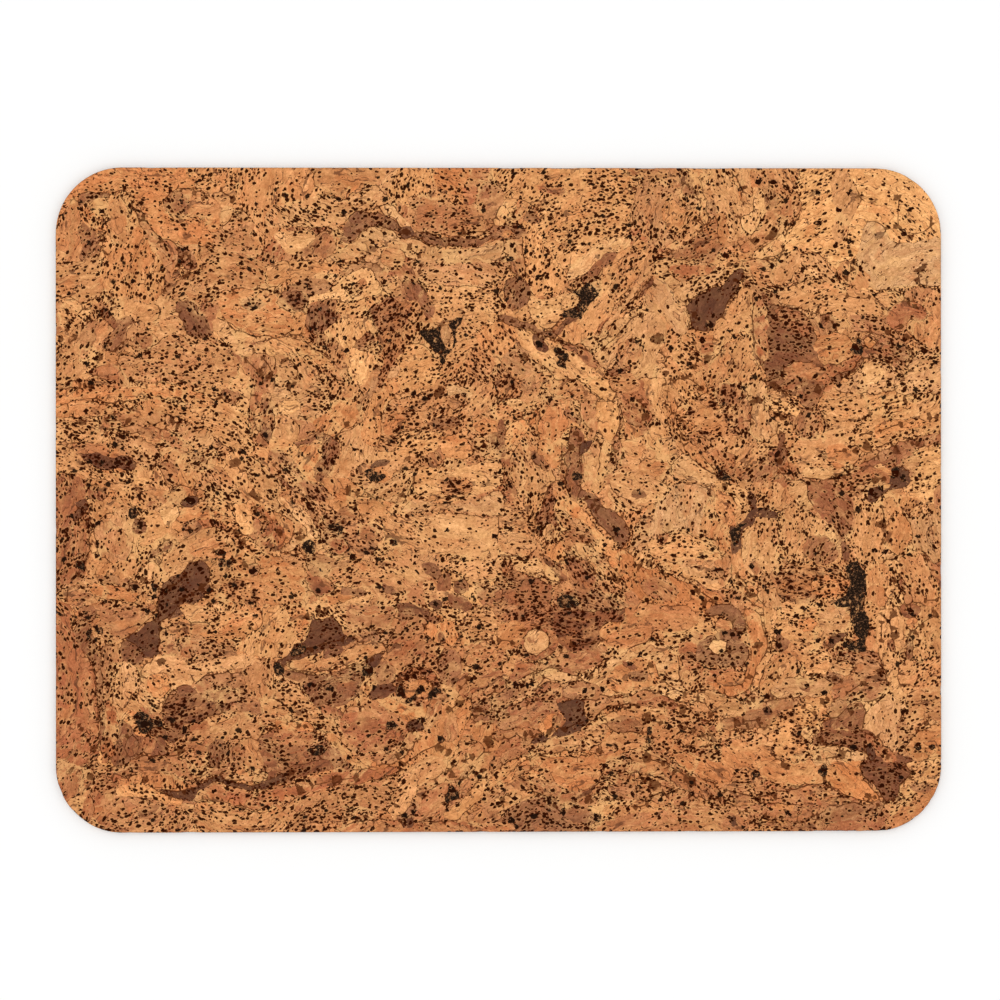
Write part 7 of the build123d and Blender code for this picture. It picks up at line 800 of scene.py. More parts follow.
    (0.8, [(-67.5, -145.4), (-60.7, -144.5), (-53.1, -145.9), (-44.9, -145.4), (-38.2, -144.5), (-30.5, -145.0), (-17.8, -144.5)]),
    (0.8, [(-42.7, -142.2), (-38.2, -137.7), (-32.7, -134.1), (-29.1, -129.6), (-26.9, -126.4)]),
    (1.0, [(40.9, -4.3), (45.4, -11.1), (50.8, -16.5), (53.1, -21.1), (57.6, -18.8), (57.6, -12.0), (54.4, -7.5), (47.7, -4.3), (43.1, -2.1)]),
    (0.8, [(35.0, -14.3), (40.9, -21.1), (45.4, -26.9), (49.9, -31.5), (54.4, -36.9), (56.7, -41.4)]),
    (0.8, [(55.3, -21.1), (59.0, -23.3), (61.2, -29.2), (68.0, -30.1)]),
    (0.5, [(30.9, -20.1), (31.9, -24.7), (38.6, -24.7), (40.9, -29.2), (45.4, -33.7), (52.2, -36.0), (55.3, -41.4)]),
    (1.0, [(12.4, -59.5), (16.0, -57.7), (21.5, -59.5), (22.8, -63.1), (19.2, -67.6), (13.8, -69.0), (11.5, -67.6)]),
    (0.8, [(47.7, -97.9), (48.1, -103.8), (52.2, -104.3), (63.5, -104.3)]),
    (0.5, [(48.6, -97.9), (54.4, -94.8), (59.9, -95.7), (65.7, -101.5)]),
    (0.8, [(43.1, -129.6), (47.7, -124.2), (56.7, -122.8), (63.5, -125.1), (68.0, -127.3)]),
    (0.8, [(40.9, -135.5), (45.4, -131.8), (52.2, -135.5), (59.0, -137.7), (63.5, -138.6), (70.2, -136.4)]),
    (0.8, [(-33.6, -47.3), (-32.7, -51.8), (-32.7, -60.8), (-24.6, -63.6), (-19.2, -63.1), (-8.8, -63.1), (0.2, -63.6), (4.8, -64.0), (4.8, -69.9)]),
    (0.8, [(-46.3, -45.9), (-47.2, -55.0), (-49.4, -60.8)]),
    (1.0, [(-63.0, -57.2), (-57.6, -58.6), (-53.1, -63.1), (-51.2, -67.6), (-55.3, -70.8), (-63.0, -72.2)]),
    (0.6, [(-17.8, -72.2), (-14.7, -75.3), (-14.7, -81.2), (-17.8, -85.7), (-19.2, -92.5), (-26.9, -97.0)]),
    (1.0, [(-44.0, -81.2), (-38.2, -79.8), (-32.7, -82.1), (-30.5, -85.7)]),
    (0.8, [(16.9, -8.8), (16.5, -14.3), (18.3, -17.9), (21.5, -19.2), (20.6, -22.4), (18.3, -26.9), (18.3, -33.7), (22.8, -36.0), (27.3, -36.0)]),
    (1.0, [(91.0, 144.9), (94.2, 138.1), (95.1, 131.3), (93.7, 126.8), (90.6, 122.3), (85.1, 116.9), (77.9, 113.3), (72.5, 109.6), (68.9, 106.5)]),
    (0.8, [(82.4, 144.0), (87.9, 139.5), (88.8, 135.0)]),
    (0.8, [(96.9, 128.2), (99.6, 121.4), (100.5, 115.5)]),
    (0.8, [(105.0, 148.5), (108.6, 142.6), (110.4, 135.9), (109.5, 126.8), (113.1, 120.0), (117.7, 116.9)]),
    (1.0, [(115.0, 111.0), (118.6, 116.9), (126.7, 119.6), (126.7, 109.6), (115.4, 109.2)]),
    (0.8, [(135.7, 135.0), (134.4, 126.8), (129.0, 120.0), (126.7, 114.6)]),
    (0.8, [(135.7, 111.0), (141.1, 110.5), (145.7, 108.7), (148.4, 104.2), (153.8, 98.8), (157.0, 97.4)]),
    (1.0, [(153.8, 96.5), (157.0, 99.7), (159.2, 104.2), (160.6, 107.8)]),
    (1.0, [(165.1, 127.3), (168.2, 127.3), (171.9, 125.9), (175.5, 122.8), (176.8, 120.0), (176.8, 115.5), (180.9, 115.5)]),
    (0.8, [(180.9, 135.9), (180.9, 121.4), (185.4, 120.0), (192.2, 121.4), (195.3, 123.7), (197.6, 119.1), (199.4, 119.1)]),
    (1.0, [(189.9, 103.3), (190.8, 97.4), (196.7, 96.5)]),
    (0.8, [(124.4, 96.5), (135.7, 96.5), (141.1, 98.3)]),
    (0.5, [(157.0, 92.5), (165.1, 91.1), (175.0, 95.2), (180.9, 94.3)]),
    (1.0, [(181.8, 92.9), (184.1, 89.7), (187.7, 87.5)]),
    (0.8, [(177.3, 86.1), (180.9, 87.9), (187.7, 87.5), (193.1, 86.1), (192.2, 83.0), (185.4, 81.6), (180.9, 77.1), (183.2, 73.9)]),
    (1.0, [(99.6, 104.2), (101.9, 105.6), (108.6, 105.6), (108.6, 97.4), (105.0, 92.5), (100.5, 86.1), (97.8, 77.1), (90.6, 77.1), (86.5, 78.4), (88.3, 83.0), (86.0, 87.5), (84.7, 89.7), (90.6, 92.5), (97.3, 95.2), (99.6, 98.8)]),
    (1.0, [(108.6, 99.7), (113.1, 96.5), (117.7, 94.3), (123.1, 92.0), (125.3, 88.4), (126.7, 87.5)]),
    (1.0, [(115.4, 92.9), (115.0, 83.9), (115.4, 74.8), (117.7, 65.8), (117.7, 56.7), (122.2, 52.2), (126.7, 49.9), (131.2, 45.4)]),
    (1.0, [(143.4, 45.4), (145.7, 51.3), (151.5, 54.5), (158.3, 56.7), (162.8, 62.6), (167.3, 64.9), (174.1, 62.6), (180.9, 63.5), (186.3, 64.9), (186.3, 71.7), (180.9, 74.8), (169.6, 76.2), (163.7, 77.1)]),
    (0.8, [(126.7, 87.5), (135.7, 86.1), (144.8, 83.9), (151.5, 79.3), (152.9, 74.8), (160.6, 73.9), (163.7, 69.4)]),
    (1.0, [(75.7, 52.2), (79.3, 54.5), (86.0, 54.5), (91.5, 49.9), (90.6, 46.8), (83.8, 45.4), (80.2, 43.2), (77.9, 47.7)]),
    (0.8, [(80.2, 43.2), (83.8, 38.6), (81.5, 36.4), (79.3, 40.0), (74.8, 45.4)]),
    (0.8, [(88.3, 70.3), (89.2, 63.5), (86.0, 55.8)]),
    (0.8, [(87.0, 68.0), (92.8, 64.9), (98.2, 65.8), (101.9, 71.7), (106.4, 76.2)]),
    (1.0, [(72.5, 72.6), (74.8, 63.5), (75.7, 54.5), (74.8, 45.4), (79.3, 36.4), (81.5, 29.6), (84.7, 24.2), (89.2, 18.3), (93.7, 12.9), (99.6, 9.2), (104.1, 3.8), (107.3, -0.7)]),
    (0.8, [(82.4, 29.6), (86.0, 25.1), (90.6, 18.3), (96.0, 13.8)]),
    (0.8, [(113.1, 45.4), (114.1, 36.4), (110.9, 31.0), (106.4, 27.3)]),
    (1.0, [(117.7, 45.4), (120.8, 40.0), (126.7, 37.7), (131.2, 37.7), (138.0, 40.9), (143.4, 40.9)]),
    (1.0, [(126.7, 34.1), (127.6, 26.4), (129.0, 21.9), (126.7, 16.0), (131.2, 11.5), (135.7, 9.2)]),
    (1.0, [(135.7, 9.2), (144.8, 9.7), (152.4, 10.6), (158.3, 12.9), (162.8, 17.4), (167.3, 19.6), (175.0, 20.6), (180.9, 24.2), (187.7, 25.1), (194.4, 24.2), (199.9, 25.1)]),
    (0.9, [(152.4, 21.9), (161.5, 22.4), (171.9, 24.2), (180.9, 25.5), (189.9, 27.3), (199.9, 28.7)]),
    (0.8, [(162.8, 29.6), (171.9, 31.0), (180.9, 34.1), (189.9, 36.4), (199.9, 37.7)]),
    (0.5, [(166.0, 37.7), (174.1, 42.3), (180.9, 44.5), (187.7, 45.4), (199.9, 47.7)]),
    (0.8, [(144.8, 9.2), (151.5, 9.2), (158.3, 4.7), (163.7, 7.0), (176.4, 10.6), (180.9, 13.8)]),
    (0.5, [(95.1, 8.3), (95.1, 2.5), (93.7, -0.7)]),
    (0.8, [(135.7, 8.3), (140.2, 6.1), (140.2, 1.6), (141.1, -0.7)]),
    (0.8, [(159.2, 142.6), (162.8, 137.2), (162.8, 133.6)]),
    (0.8, [(68.0, -29.2), (74.8, -32.4), (80.2, -36.0)]),
    (0.8, [(86.0, -38.2), (90.6, -41.4), (96.0, -45.0), (101.9, -48.2), (107.3, -50.4)]),
    (1.0, [(101.9, -34.6), (106.4, -36.9), (110.9, -39.1), (114.1, -45.0), (117.7, -50.4), (119.9, -58.6), (120.4, -67.6), (118.6, -74.4), (116.3, -79.8), (113.1, -86.6), (111.8, -90.2)]),
    (1.0, [(106.4, -34.6), (110.9, -36.9), (113.1, -42.8), (117.7, -47.3)]),
    (0.8, [(120.8, -56.3), (123.1, -61.8), (122.2, -69.9), (119.9, -76.7), (117.7, -83.5), (114.1, -91.1), (107.3, -91.1)]),
    (0.8, [(97.8, -81.2), (99.6, -86.6), (105.0, -88.9), (110.9, -88.0), (113.1, -81.2), (111.3, -75.3), (112.7, -69.9), (116.3, -65.4)]),
    (1.0, [(81.5, -72.2), (81.1, -78.9), (83.8, -83.5), (90.6, -86.6), (97.3, -85.7)]),
    (0.9, [(68.0, -74.4), (73.4, -81.2), (79.3, -85.7), (84.7, -88.0), (90.6, -91.1), (95.1, -97.0), (99.6, -99.3), (108.6, -100.2), (116.3, -99.3)]),
    (0.8, [(68.0, -81.2), (74.8, -88.0), (82.4, -91.1), (89.2, -95.7), (91.9, -100.2)]),
    (0.8, [(68.0, -92.5), (77.0, -92.5), (83.8, -94.8), (90.6, -99.3), (99.6, -102.5), (110.9, -101.5), (119.9, -103.8)]),
    (0.8, [(68.0, -99.3), (74.8, -101.5), (83.8, -102.5), (90.6, -106.1), (101.9, -104.7), (113.1, -105.6), (120.8, -107.0)]),
    (0.5, [(68.0, -107.0), (77.0, -109.2), (88.3, -110.6), (97.3, -111.5)]),
    (1.0, [(68.0, -117.4), (77.0, -120.5), (84.7, -125.1), (92.8, -127.3), (101.9, -130.9), (110.9, -133.2), (119.9, -135.5), (129.0, -136.4), (135.7, -136.4)]),
    (1.0, [(68.0, -134.1), (79.3, -131.8), (88.3, -133.7), (99.6, -135.5), (108.6, -138.6), (117.7, -143.1), (126.7, -145.4), (140.2, -144.5), (147.0, -138.6), (153.8, -137.3), (163.7, -136.4), (169.6, -135.5)]),
    (0.8, [(68.0, -126.4), (74.8, -129.6), (90.6, -134.1)]),
    (0.9, [(117.7, -134.1), (124.4, -133.2), (131.2, -130.9), (138.0, -129.6), (144.8, -127.3), (147.0, -126.4)]),
    (1.0, [(147.0, -126.4), (150.2, -130.9), (156.1, -134.1), (163.7, -135.0), (170.5, -134.1)]),
    (0.8, [(162.8, -126.4), (167.3, -130.9), (171.9, -135.5), (170.5, -140.0)]),
    (1.0, [(144.8, -103.8), (149.3, -99.3), (156.1, -97.0), (163.7, -92.5), (165.1, -97.0), (163.7, -103.8), (169.6, -107.0), (172.8, -111.5), (176.4, -116.0), (180.9, -119.6), (186.3, -121.9), (185.4, -125.1)]),
    (1.0, [(144.8, -103.8), (145.7, -110.6), (152.4, -111.5), (158.3, -113.8), (165.1, -113.3), (166.0, -116.0), (163.7, -122.8), (166.0, -127.3), (171.9, -133.2), (176.4, -137.7), (180.9, -131.8), (185.4, -125.1)]),
    (0.9, [(163.7, -92.5), (171.9, -90.2), (174.1, -85.7), (174.1, -81.2), (172.8, -74.4), (171.9, -67.6)]),
    (0.8, [(174.6, -41.4), (174.1, -50.4), (172.8, -60.8), (173.7, -69.9), (175.9, -78.9)]),
    (0.8, [(178.2, -50.4), (177.3, -58.6), (179.1, -69.9), (180.9, -78.9), (181.3, -85.7)]),
    (1.0, [(180.9, -34.6), (181.8, -41.4), (183.2, -47.3), (181.8, -51.8)]),
    (1.0, [(185.4, -63.1), (185.9, -69.9), (184.1, -74.4)]),
    (0.8, [(181.8, -97.9), (184.1, -92.5), (186.3, -88.9), (189.9, -79.8)]),
    (0.9, [(192.2, -18.8), (193.1, -26.9), (196.7, -32.4), (199.9, -36.0)]),
    (0.9, [(181.8, -51.8), (184.1, -48.2), (189.9, -45.9), (197.6, -45.5)]),
    (0.8, [(184.1, -57.2), (187.7, -59.5), (190.8, -56.3), (196.7, -52.7)]),
    (0.8, [(172.8, -2.1), (174.1, -8.8), (173.7, -16.5)]),
    (0.8, [(190.8, -90.2), (192.2, -95.7), (196.7, -97.9), (199.9, -97.0)]),
    (0.8, [(184.1, -112.9), (186.3, -109.2), (190.8, -106.1), (194.4, -99.3)]),
    (1.0, [(93.7, -50.4), (93.7, -45.9), (99.6, -47.3), (106.4, -50.4), (110.9, -56.3), (110.9, -59.5), (106.4, -58.6), (102.8, -54.1), (93.7, -51.8)]),
    (1.0, [(93.7, -64.0), (96.0, -63.1), (102.8, -66.3), (101.9, -69.9), (97.3, -69.9), (93.7, -66.3)]),
    (0.8, [(124.4, -81.2), (131.2, -79.8), (140.2, -78.9), (147.0, -81.2), (153.8, -81.2)]),
    (0.8, [(118.6, -91.1), (129.0, -90.7), (140.2, -91.1), (149.3, -90.2), (156.1, -88.0), (163.7, -83.5)]),
    (0.8, [(135.7, -92.5), (140.2, -95.7), (145.7, -97.9), (149.3, -100.2)]),
    (0.6, [(120.8, -110.6), (124.4, -116.0), (131.2, -120.5), (138.0, -119.6), (144.8, -117.4), (153.8, -116.0)]),
]

# the largest pores: x, y, radius in mm
HOLES = [
    (-154.7, 143.1, 1.4), (-96.0, 137.7, 1.6), (-96.4, 131.3, 1.1), (-109.5, 133.6, 1.4), (-72.5, 135.9, 1.4), (-179.5, 130.4, 1.6),
    (-188.5, 130.9, 1.4), (-182.7, 125.9, 1.4), (-184.9, 115.5, 1.8), (-194.0, 93.4, 1.4), (-157.8, 101.0, 2.2), (-164.6, 98.8, 1.8),
    (-141.1, 113.7, 1.4), (-138.9, 106.9, 1.8), (-139.8, 85.7, 1.8), (-137.5, 77.5, 1.8), (-175.5, 83.9, 1.8), (-69.8, 73.0, 1.6),
    (-69.3, 67.1, 1.8), (-81.1, 86.1, 1.4), (-77.4, 85.2, 1.4), (-82.9, 77.1, 1.4), (-74.7, 82.1, 1.1), (-137.1, 51.8, 1.4),
    (-128.5, 49.9, 1.8), (-124.0, 47.7, 1.4), (-128.0, 42.3, 1.4), (-186.3, 40.0, 1.6), (-157.4, 39.1, 1.6), (-160.1, 46.8, 1.1),
    (-142.0, 46.8, 1.4), (-111.8, 51.3, 1.1), (-75.6, 46.8, 1.8), (-76.1, 35.5, 1.4), (-193.1, 28.7, 1.6), (-184.9, 17.4, 1.8),
    (-179.1, 16.5, 1.8), (-172.3, 16.9, 1.8), (-166.9, 16.5, 1.6), (-148.4, 11.1, 1.8), (-137.1, 21.9, 1.4), (-129.8, 23.3, 1.8),
    (-89.2, 20.6, 1.4), (-139.8, -0.7, 2.7), (-122.6, 1.6, 1.6), (-129.4, 6.1, 1.8), (-162.4, 2.0, 1.4), (-75.2, 17.4, 1.8),
    (-81.1, 13.8, 1.6), (-164.6, -5.7, 1.4), (-161.9, -11.6, 2.2), (-180.9, -10.7, 1.8), (-181.3, -20.6, 1.8), (-181.3, -25.1, 1.8),
    (-189.5, -28.3, 1.8), (-125.3, -23.3, 1.8), (-125.3, -28.3, 1.4), (-122.2, -28.7, 1.4), (-110.9, -31.5, 2.2), (-100.0, -31.9, 1.6),
    (-155.1, -38.7, 1.4), (-164.6, -39.1, 1.8), (-150.2, -40.9, 1.4), (-177.3, -45.5, 1.4), (-186.7, -50.9, 1.8), (-184.9, -59.5, 1.8),
    (-181.8, -57.7, 1.6), (-158.3, -50.4, 1.4), (-150.2, -60.4, 1.8), (-139.3, -13.8, 1.8), (-160.1, -101.5, 3.1), (-154.2, -100.2, 2.2),
    (-163.3, -97.9, 1.8), (-114.0, -133.2, 1.8), (-128.9, -131.4, 1.6), (-138.0, -122.3, 1.6), (-84.7, -113.8, 1.8), (-80.2, -112.9, 1.8),
    (-75.6, -85.3, 1.8), (-143.4, -95.7, 1.6), (-125.3, -91.1, 1.6), (-85.6, -22.4, 2.2), (-80.6, -31.9, 1.4), (-73.8, -13.4, 1.8),
    (-173.6, -105.6, 1.4), (-142.0, -103.4, 1.8), (-55.8, 115.1, 1.4), (-32.3, 141.7, 1.8), (3.9, 109.2, 1.8), (5.7, 115.1, 1.4),
    (26.0, 101.5, 1.6), (22.4, 106.0, 1.1), (-40.9, 73.5, 1.6), (-15.1, 74.4, 1.4), (59.0, 119.1, 1.8), (18.3, 70.3, 2.2),
    (27.3, 67.1, 2.2), (28.7, 62.2, 1.8), (59.9, 45.4, 1.8), (23.3, 45.4, 1.8), (-50.8, 22.4, 1.4), (-65.7, 22.8, 1.4),
    (-38.2, 48.1, 1.8), (-16.0, 47.2, 1.6), (-1.1, 25.1, 1.8), (4.8, 7.0, 1.8), (0.2, 12.9, 1.8), (6.6, 20.6, 1.6),
    (-39.5, 3.8, 1.4), (22.4, 22.4, 1.1), (15.6, 19.6, 1.8), (16.0, 38.6, 1.6), (32.8, 39.1, 1.4), (13.8, 2.0, 1.6),
    (63.5, 2.9, 1.4), (-48.5, -19.2, 1.8), (-23.7, -13.8, 1.6), (-16.0, -26.5, 1.4), (-2.9, -28.7, 1.8), (-38.2, -28.7, 1.4),
    (-66.2, -26.0, 2.2), (-2.0, -16.5, 1.8), (4.8, -12.9, 1.6), (-30.5, -39.6, 2.2), (29.1, -46.8, 1.8), (32.8, -46.4, 1.8),
    (-28.7, -47.3, 1.6), (-41.8, -58.6, 1.6), (-25.5, -63.1, 1.6), (-58.9, -77.1, 2.7), (-44.5, -86.6, 2.7), (-35.4, -85.7, 2.2),
    (-29.6, -88.0, 1.8), (-41.8, -91.1, 1.8), (-49.0, -101.5, 2.2), (-35.4, -99.7, 2.2), (-40.0, -102.0, 1.8), (-31.8, -104.3, 1.6),
    (-27.3, -107.9, 1.4), (47.7, -20.6, 1.4), (52.6, -13.4, 1.6), (63.5, -70.3, 1.8), (58.5, -74.0, 1.8), (46.3, -85.3, 1.8),
    (38.6, -86.6, 1.8), (7.0, -83.5, 2.2), (14.7, -83.0, 1.4), (18.3, -106.5, 1.4), (47.7, -120.1, 1.8), (56.2, -116.9, 1.8),
    (59.9, -133.2, 1.8), (43.6, -143.6, 2.2), (28.2, -140.9, 2.2), (-21.4, -131.4, 2.2), (-38.6, -140.4, 1.8), (22.4, -136.4, 1.6),
    (9.3, -121.4, 1.4), (5.2, -145.0, 1.8), (2.0, -130.9, 1.4), (-43.1, -145.4, 1.8), (6.6, -135.0, 1.8), (84.7, 135.4, 1.8),
    (109.1, 140.4, 1.6), (117.7, 144.0, 2.2), (124.4, 144.0, 1.8), (126.2, 126.4, 1.6), (144.3, 138.6, 1.6), (153.8, 130.9, 1.8),
    (144.8, 125.0, 1.8), (157.9, 138.6, 1.4), (152.4, 115.1, 1.6), (160.6, 108.3, 1.8), (163.3, 104.7, 1.6), (158.8, 116.9, 1.8),
    (170.5, 120.0, 1.1), (134.4, 113.7, 1.8), (102.3, 110.5, 2.2), (123.1, 105.6, 1.6), (126.7, 108.3, 1.6), (91.5, 72.1, 1.8),
    (95.1, 79.3, 2.2), (161.5, 68.9, 2.2), (192.2, 67.1, 1.8), (197.6, 62.2, 1.8), (110.4, 50.8, 1.8), (136.2, 46.8, 1.6),
    (153.8, 51.8, 1.8), (185.9, 131.3, 2.2), (183.2, 120.9, 1.8), (100.0, 11.5, 2.2), (113.6, 1.1, 2.2), (125.8, 20.6, 1.8),
    (131.2, 12.0, 1.8), (168.2, 3.4, 2.2), (172.3, 5.2, 2.2), (179.1, 11.5, 2.7), (182.7, 9.7, 2.2), (109.5, 23.7, 1.4),
    (136.2, 54.5, 1.4), (96.0, -7.5, 1.6), (91.5, -25.6, 1.4), (73.4, -18.3, 1.8), (98.2, -31.9, 2.2), (96.4, -22.4, 1.4),
    (114.1, -30.1, 1.8), (119.5, -39.1, 1.6), (101.4, -60.4, 1.8), (105.0, -60.8, 1.8), (108.6, -60.8, 1.8), (126.7, -65.4, 2.2),
    (125.8, -59.9, 1.8), (134.4, -52.7, 1.8), (138.0, -49.5, 1.8), (137.5, -64.0, 1.6), (144.3, -63.6, 1.8), (150.2, -64.0, 1.8),
    (153.3, -61.8, 1.8), (174.6, -23.3, 1.8), (170.1, -22.9, 1.8), (177.3, -31.5, 1.8), (185.9, -50.4, 1.8), (175.9, -55.0, 1.8),
    (75.2, -75.8, 1.4), (96.9, -79.4, 1.6), (95.5, -93.0, 1.8), (120.8, -95.2, 1.8), (76.6, -102.5, 1.8), (74.8, -110.6, 1.4),
    (115.9, -123.3, 1.6), (147.0, -122.3, 2.2), (138.9, -84.4, 1.8), (147.0, -87.1, 1.6), (120.4, -88.9, 1.8), (130.3, -141.8, 2.2),
    (87.0, -133.2, 1.8), (73.9, -132.7, 1.8), (105.0, -145.0, 1.8), (189.0, -111.0, 1.8), (195.3, -112.4, 1.6), (181.3, -121.0, 1.8),
    (182.7, -95.7, 1.8),
]


# bark kinds: colour (sRGB 0-255), how soft the edge fades, recess below the face in mm
KINDS = {
    "L": ((233, 170, 111), 0.30, 0.00),
    "l": ((221, 154, 98), 0.40, 0.02),
    "O": ((207, 129, 76), 0.35, 0.02),
    "T": ((206, 137, 86), 0.50, 0.03),
    "t": ((184, 116, 73), 0.45, 0.03),
    "R": ((169, 96, 59), 0.35, 0.04),
    "G": ((160, 99, 63), 0.50, 0.05),
    "B": ((137, 79, 49), 0.20, 0.06),
    "D": ((98, 54, 33), 0.15, 0.09),
    "K": ((42, 28, 19), 0.10, 0.10),
    "X": ((34, 19, 11), 0.10, 0.12),
}
EAT = {"K": 0.66, "X": 0.35, "D": 0.36, "B": 0.28, "G": 0.38, "R": 0.18}


def lin(c):
    c = c / 255
    return c / 12.92 if c <= 0.04045 else ((c + 0.055) / 1.055) ** 2.4


def srgb(*c):
    return tuple(lin(v) for v in c) + (1.0,)


# ---------------------------------------------------------------- outlines


def outline(inset, step):
    """The mat's rounded rectangle, inset, as points about step apart, anticlockwise."""
    w, h, r = W / 2 - inset, H / 2 - inset, R - inset
    pts = []
    for cx, cy, a0 in ((w - r, r - h, -90), (w - r, h - r, 0), (r - w, h - r, 90), (r - w, r - h, 180)):
        n = max(8, round(r * math.pi / 2 / step))
        for i in range(n + 1):
            a = math.radians(a0 + 90 * i / n)
            pts.append((cx + r * math.cos(a), cy + r * math.sin(a)))
        nx = {-90: (W / 2 - inset, h - r), 0: (r - w, h), 90: (-w, r - h), 180: (w - r, -h)}[a0]
        x0, y0 = pts[-1]
        length = math.hypot(nx[0] - x0, nx[1] - y0)
        m = max(1, round(length / step))
        for i in range(1, m):
            pts.append((x0 + (nx[0] - x0) * i / m, y0 + (nx[1] - y0) * i / m))
    return pts


def smooth(pts, step):
    """A closed Catmull-Rom curve through pts, resampled about step apart."""
    P = np.array(pts, float)
    out = []
    n = len(P)
    for i in range(n):
        p0, p1, p2, p3 = P[i - 1], P[i], P[(i + 1) % n], P[(i + 2) % n]
        m = max(1, int(round(np.linalg.norm(p2 - p1) / 0.5)))
        for t in np.arange(m) / m:
            out.append(
                0.5 * (2 * p1 + (p2 - p0) * t + (2 * p0 - 5 * p1 + 4 * p2 - p3) * t * t + (3 * p1 - p0 - 3 * p2 + p3) * t**3)
            )
    C = np.array(out)
    C = np.vstack([C, C[:1]])
    s = np.concatenate([[0], np.cumsum(np.linalg.norm(np.diff(C, axis=0), axis=1))])
    m = max(6, int(round(s[-1] / step)))
    q = np.linspace(0, s[-1], m + 1)[:-1]
    return np.stack([np.interp(q, s, C[:, 0]), np.interp(q, s, C[:, 1])], 1)


def thread(pts, step):
    """An open Catmull-Rom curve through pts, resampled about step apart."""
    P = np.array([pts[0]] + list(pts) + [pts[-1]], float)
    out = []
    for i in range(1, len(P) - 2):
        p0, p1, p2, p3 = P[i - 1], P[i], P[i + 1], P[i + 2]
        m = max(1, int(round(np.linalg.norm(p2 - p1) / 0.5)))
        for t in np.arange(m) / m:
            out.append(
                0.5 * (2 * p1 + (p2 - p0) * t + (2 * p0 - 5 * p1 + 4 * p2 - p3) * t * t + (3 * p1 - p0 - 3 * p2 + p3) * t**3)
            )
    out.append(P[-1])
    C = np.array(out)
    s = np.concatenate([[0], np.cumsum(np.linalg.norm(np.diff(C, axis=0), axis=1))])
    m = max(2, int(round(s[-1] / step)))
    q = np.linspace(0, s[-1], m + 1)
    return np.stack([np.interp(q, s, C[:, 0]), np.interp(q, s, C[:, 1])], 1)


def roughen(C, amp):
    """Breaks a smooth outline up the way torn bark breaks, at three scales."""
    out = C.copy()
    for i, (x, y) in enumerate(C):
        a = noise.noise_vector(Vector((x * 0.22, y * 0.22, 3.1)))
        b = noise.noise_vector(Vector((x * 0.75, y * 0.75, 8.7)))
        c = noise.noise_vector(Vector((x * 2.3, y * 2.3, 5.3)))
        out[i, 0] += amp * (1.0 * a.x + 0.85 * b.x + 0.5 * c.x)
        out[i, 1] += amp * (1.0 * a.y + 0.85 * b.y + 0.5 * c.y)
    return out


def area(C):
    x, y = C[:, 0], C[:, 1]
    return 0.5 * abs(np.dot(x, np.roll(y, -1)) - np.dot(y, np.roll(x, -1)))


def inside(C, P):
    x, y = P[:, 0][:, None], P[:, 1][:, None]
    x0, y0 = C[:, 0], C[:, 1]
    x1, y1 = np.roll(x0, -1), np.roll(y0, -1)
    cross = (y0 > y) != (y1 > y)
    t = (x1 - x0) * (y - y0) / np.where(y1 == y0, 1e-9, y1 - y0) + x0
    return (cross & (x < t)).sum(1) % 2 == 1


def cell(seed, others):
    """The Voronoi cell of seed among others, by clipping a square."""
    poly = [(seed[0] + dx, seed[1] + dy) for dx, dy in ((-30, -30), (30, -30), (30, 30), (-30, 30))]
    for q in others:
        mx, my = (seed[0] + q[0]) / 2, (seed[1] + q[1]) / 2
        nx, ny = q[0] - seed[0], q[1] - seed[1]
        new = []
        for i, a in enumerate(poly):
            b = poly[(i + 1) % len(poly)]
            da = (a[0] - mx) * nx + (a[1] - my) * ny
            db = (b[0] - mx) * nx + (b[1] - my) * ny
            if da <= 0:
                new.append(a)
            if da * db < 0:
                t = da / (da - db)
                new.append((a[0] + t * (b[0] - a[0]), a[1] + t * (b[1] - a[1])))
        poly = new
        if len(poly) < 3:
            return []
    return poly


STEP = 1.55
flakes = []  # kind, density, size, angle, curve

# the pressed bed of small flakes that shows wherever no large flake lies
seeds = []
pitch = 15.0
for j in range(-11, 12):
    for i in range(-15, 16):
        seeds.append(
            ((i + 0.5 * (j % 2)) * pitch + rng.uniform(-5.5, 5.5), j * pitch * 0.87 + rng.uniform(-5.0, 5.0))
        )
for s in seeds:
    if abs(s[0]) > W / 2 + 8 or abs(s[1]) > H / 2 + 8:
        continue
    near = sorted((math.hypot(s[0] - q[0], s[1] - q[1]), q) for q in seeds if q != s)[:12]
    poly = cell(s, [q for _, q in near])
    if len(poly) < 3:
        continue
    low = s[1] < -90
    kind = rng.choice("lTTlOtTlTRT" if not low else "tTOtlTROT")
    angle = (rng.uniform(0, 30) if low else rng.uniform(-80, 80))
    flakes.append((kind, rng.choice((3, 4, 5, 6, 7)), rng.choice((1, 1, 2)), angle, roughen(smooth(poly, STEP), 0.9)))
bed = len(flakes)

drawn = []
RANK = {"X": 0.0004, "K": 0.004, "D": 0.45, "B": 0.8, "L": 0.7}
for k, d, s, a, pts in FLAKES:
    C = roughen(smooth(pts, STEP), 0.85 if k in "KDLB" else 1.0)
    drawn.append((area(C) * RANK.get(k, 1.0), (k, d, s, a, C)))
for x, y, r in HOLES:
    n = 7 if r < 1.3 else (9 if r < 2 else 11)
    ph, flat, turn = rng.uniform(0, 6), rng.uniform(0.75, 1.0), rng.uniform(0, 3)
    C = []
    for i in range(n):
        t = ph + 2 * math.pi * (i + rng.uniform(-0.2, 0.2)) / n
        q = r * 0.80 * rng.uniform(0.45, 1.42)
        u, v = q * math.cos(t), q * math.sin(t) * flat
        C.append((x + u * math.cos(turn) - v * math.sin(turn), y + u * math.sin(turn) + v * math.cos(turn)))
    C = np.array(C)
    drawn.append((area(C) * RANK["X"], ("X", 0, 1, 0, C)))
drawn.sort(key=lambda t: -t[0])
flakes += [f for _, f in drawn]
print("flakes", len(flakes), "of them in the bed", bed)


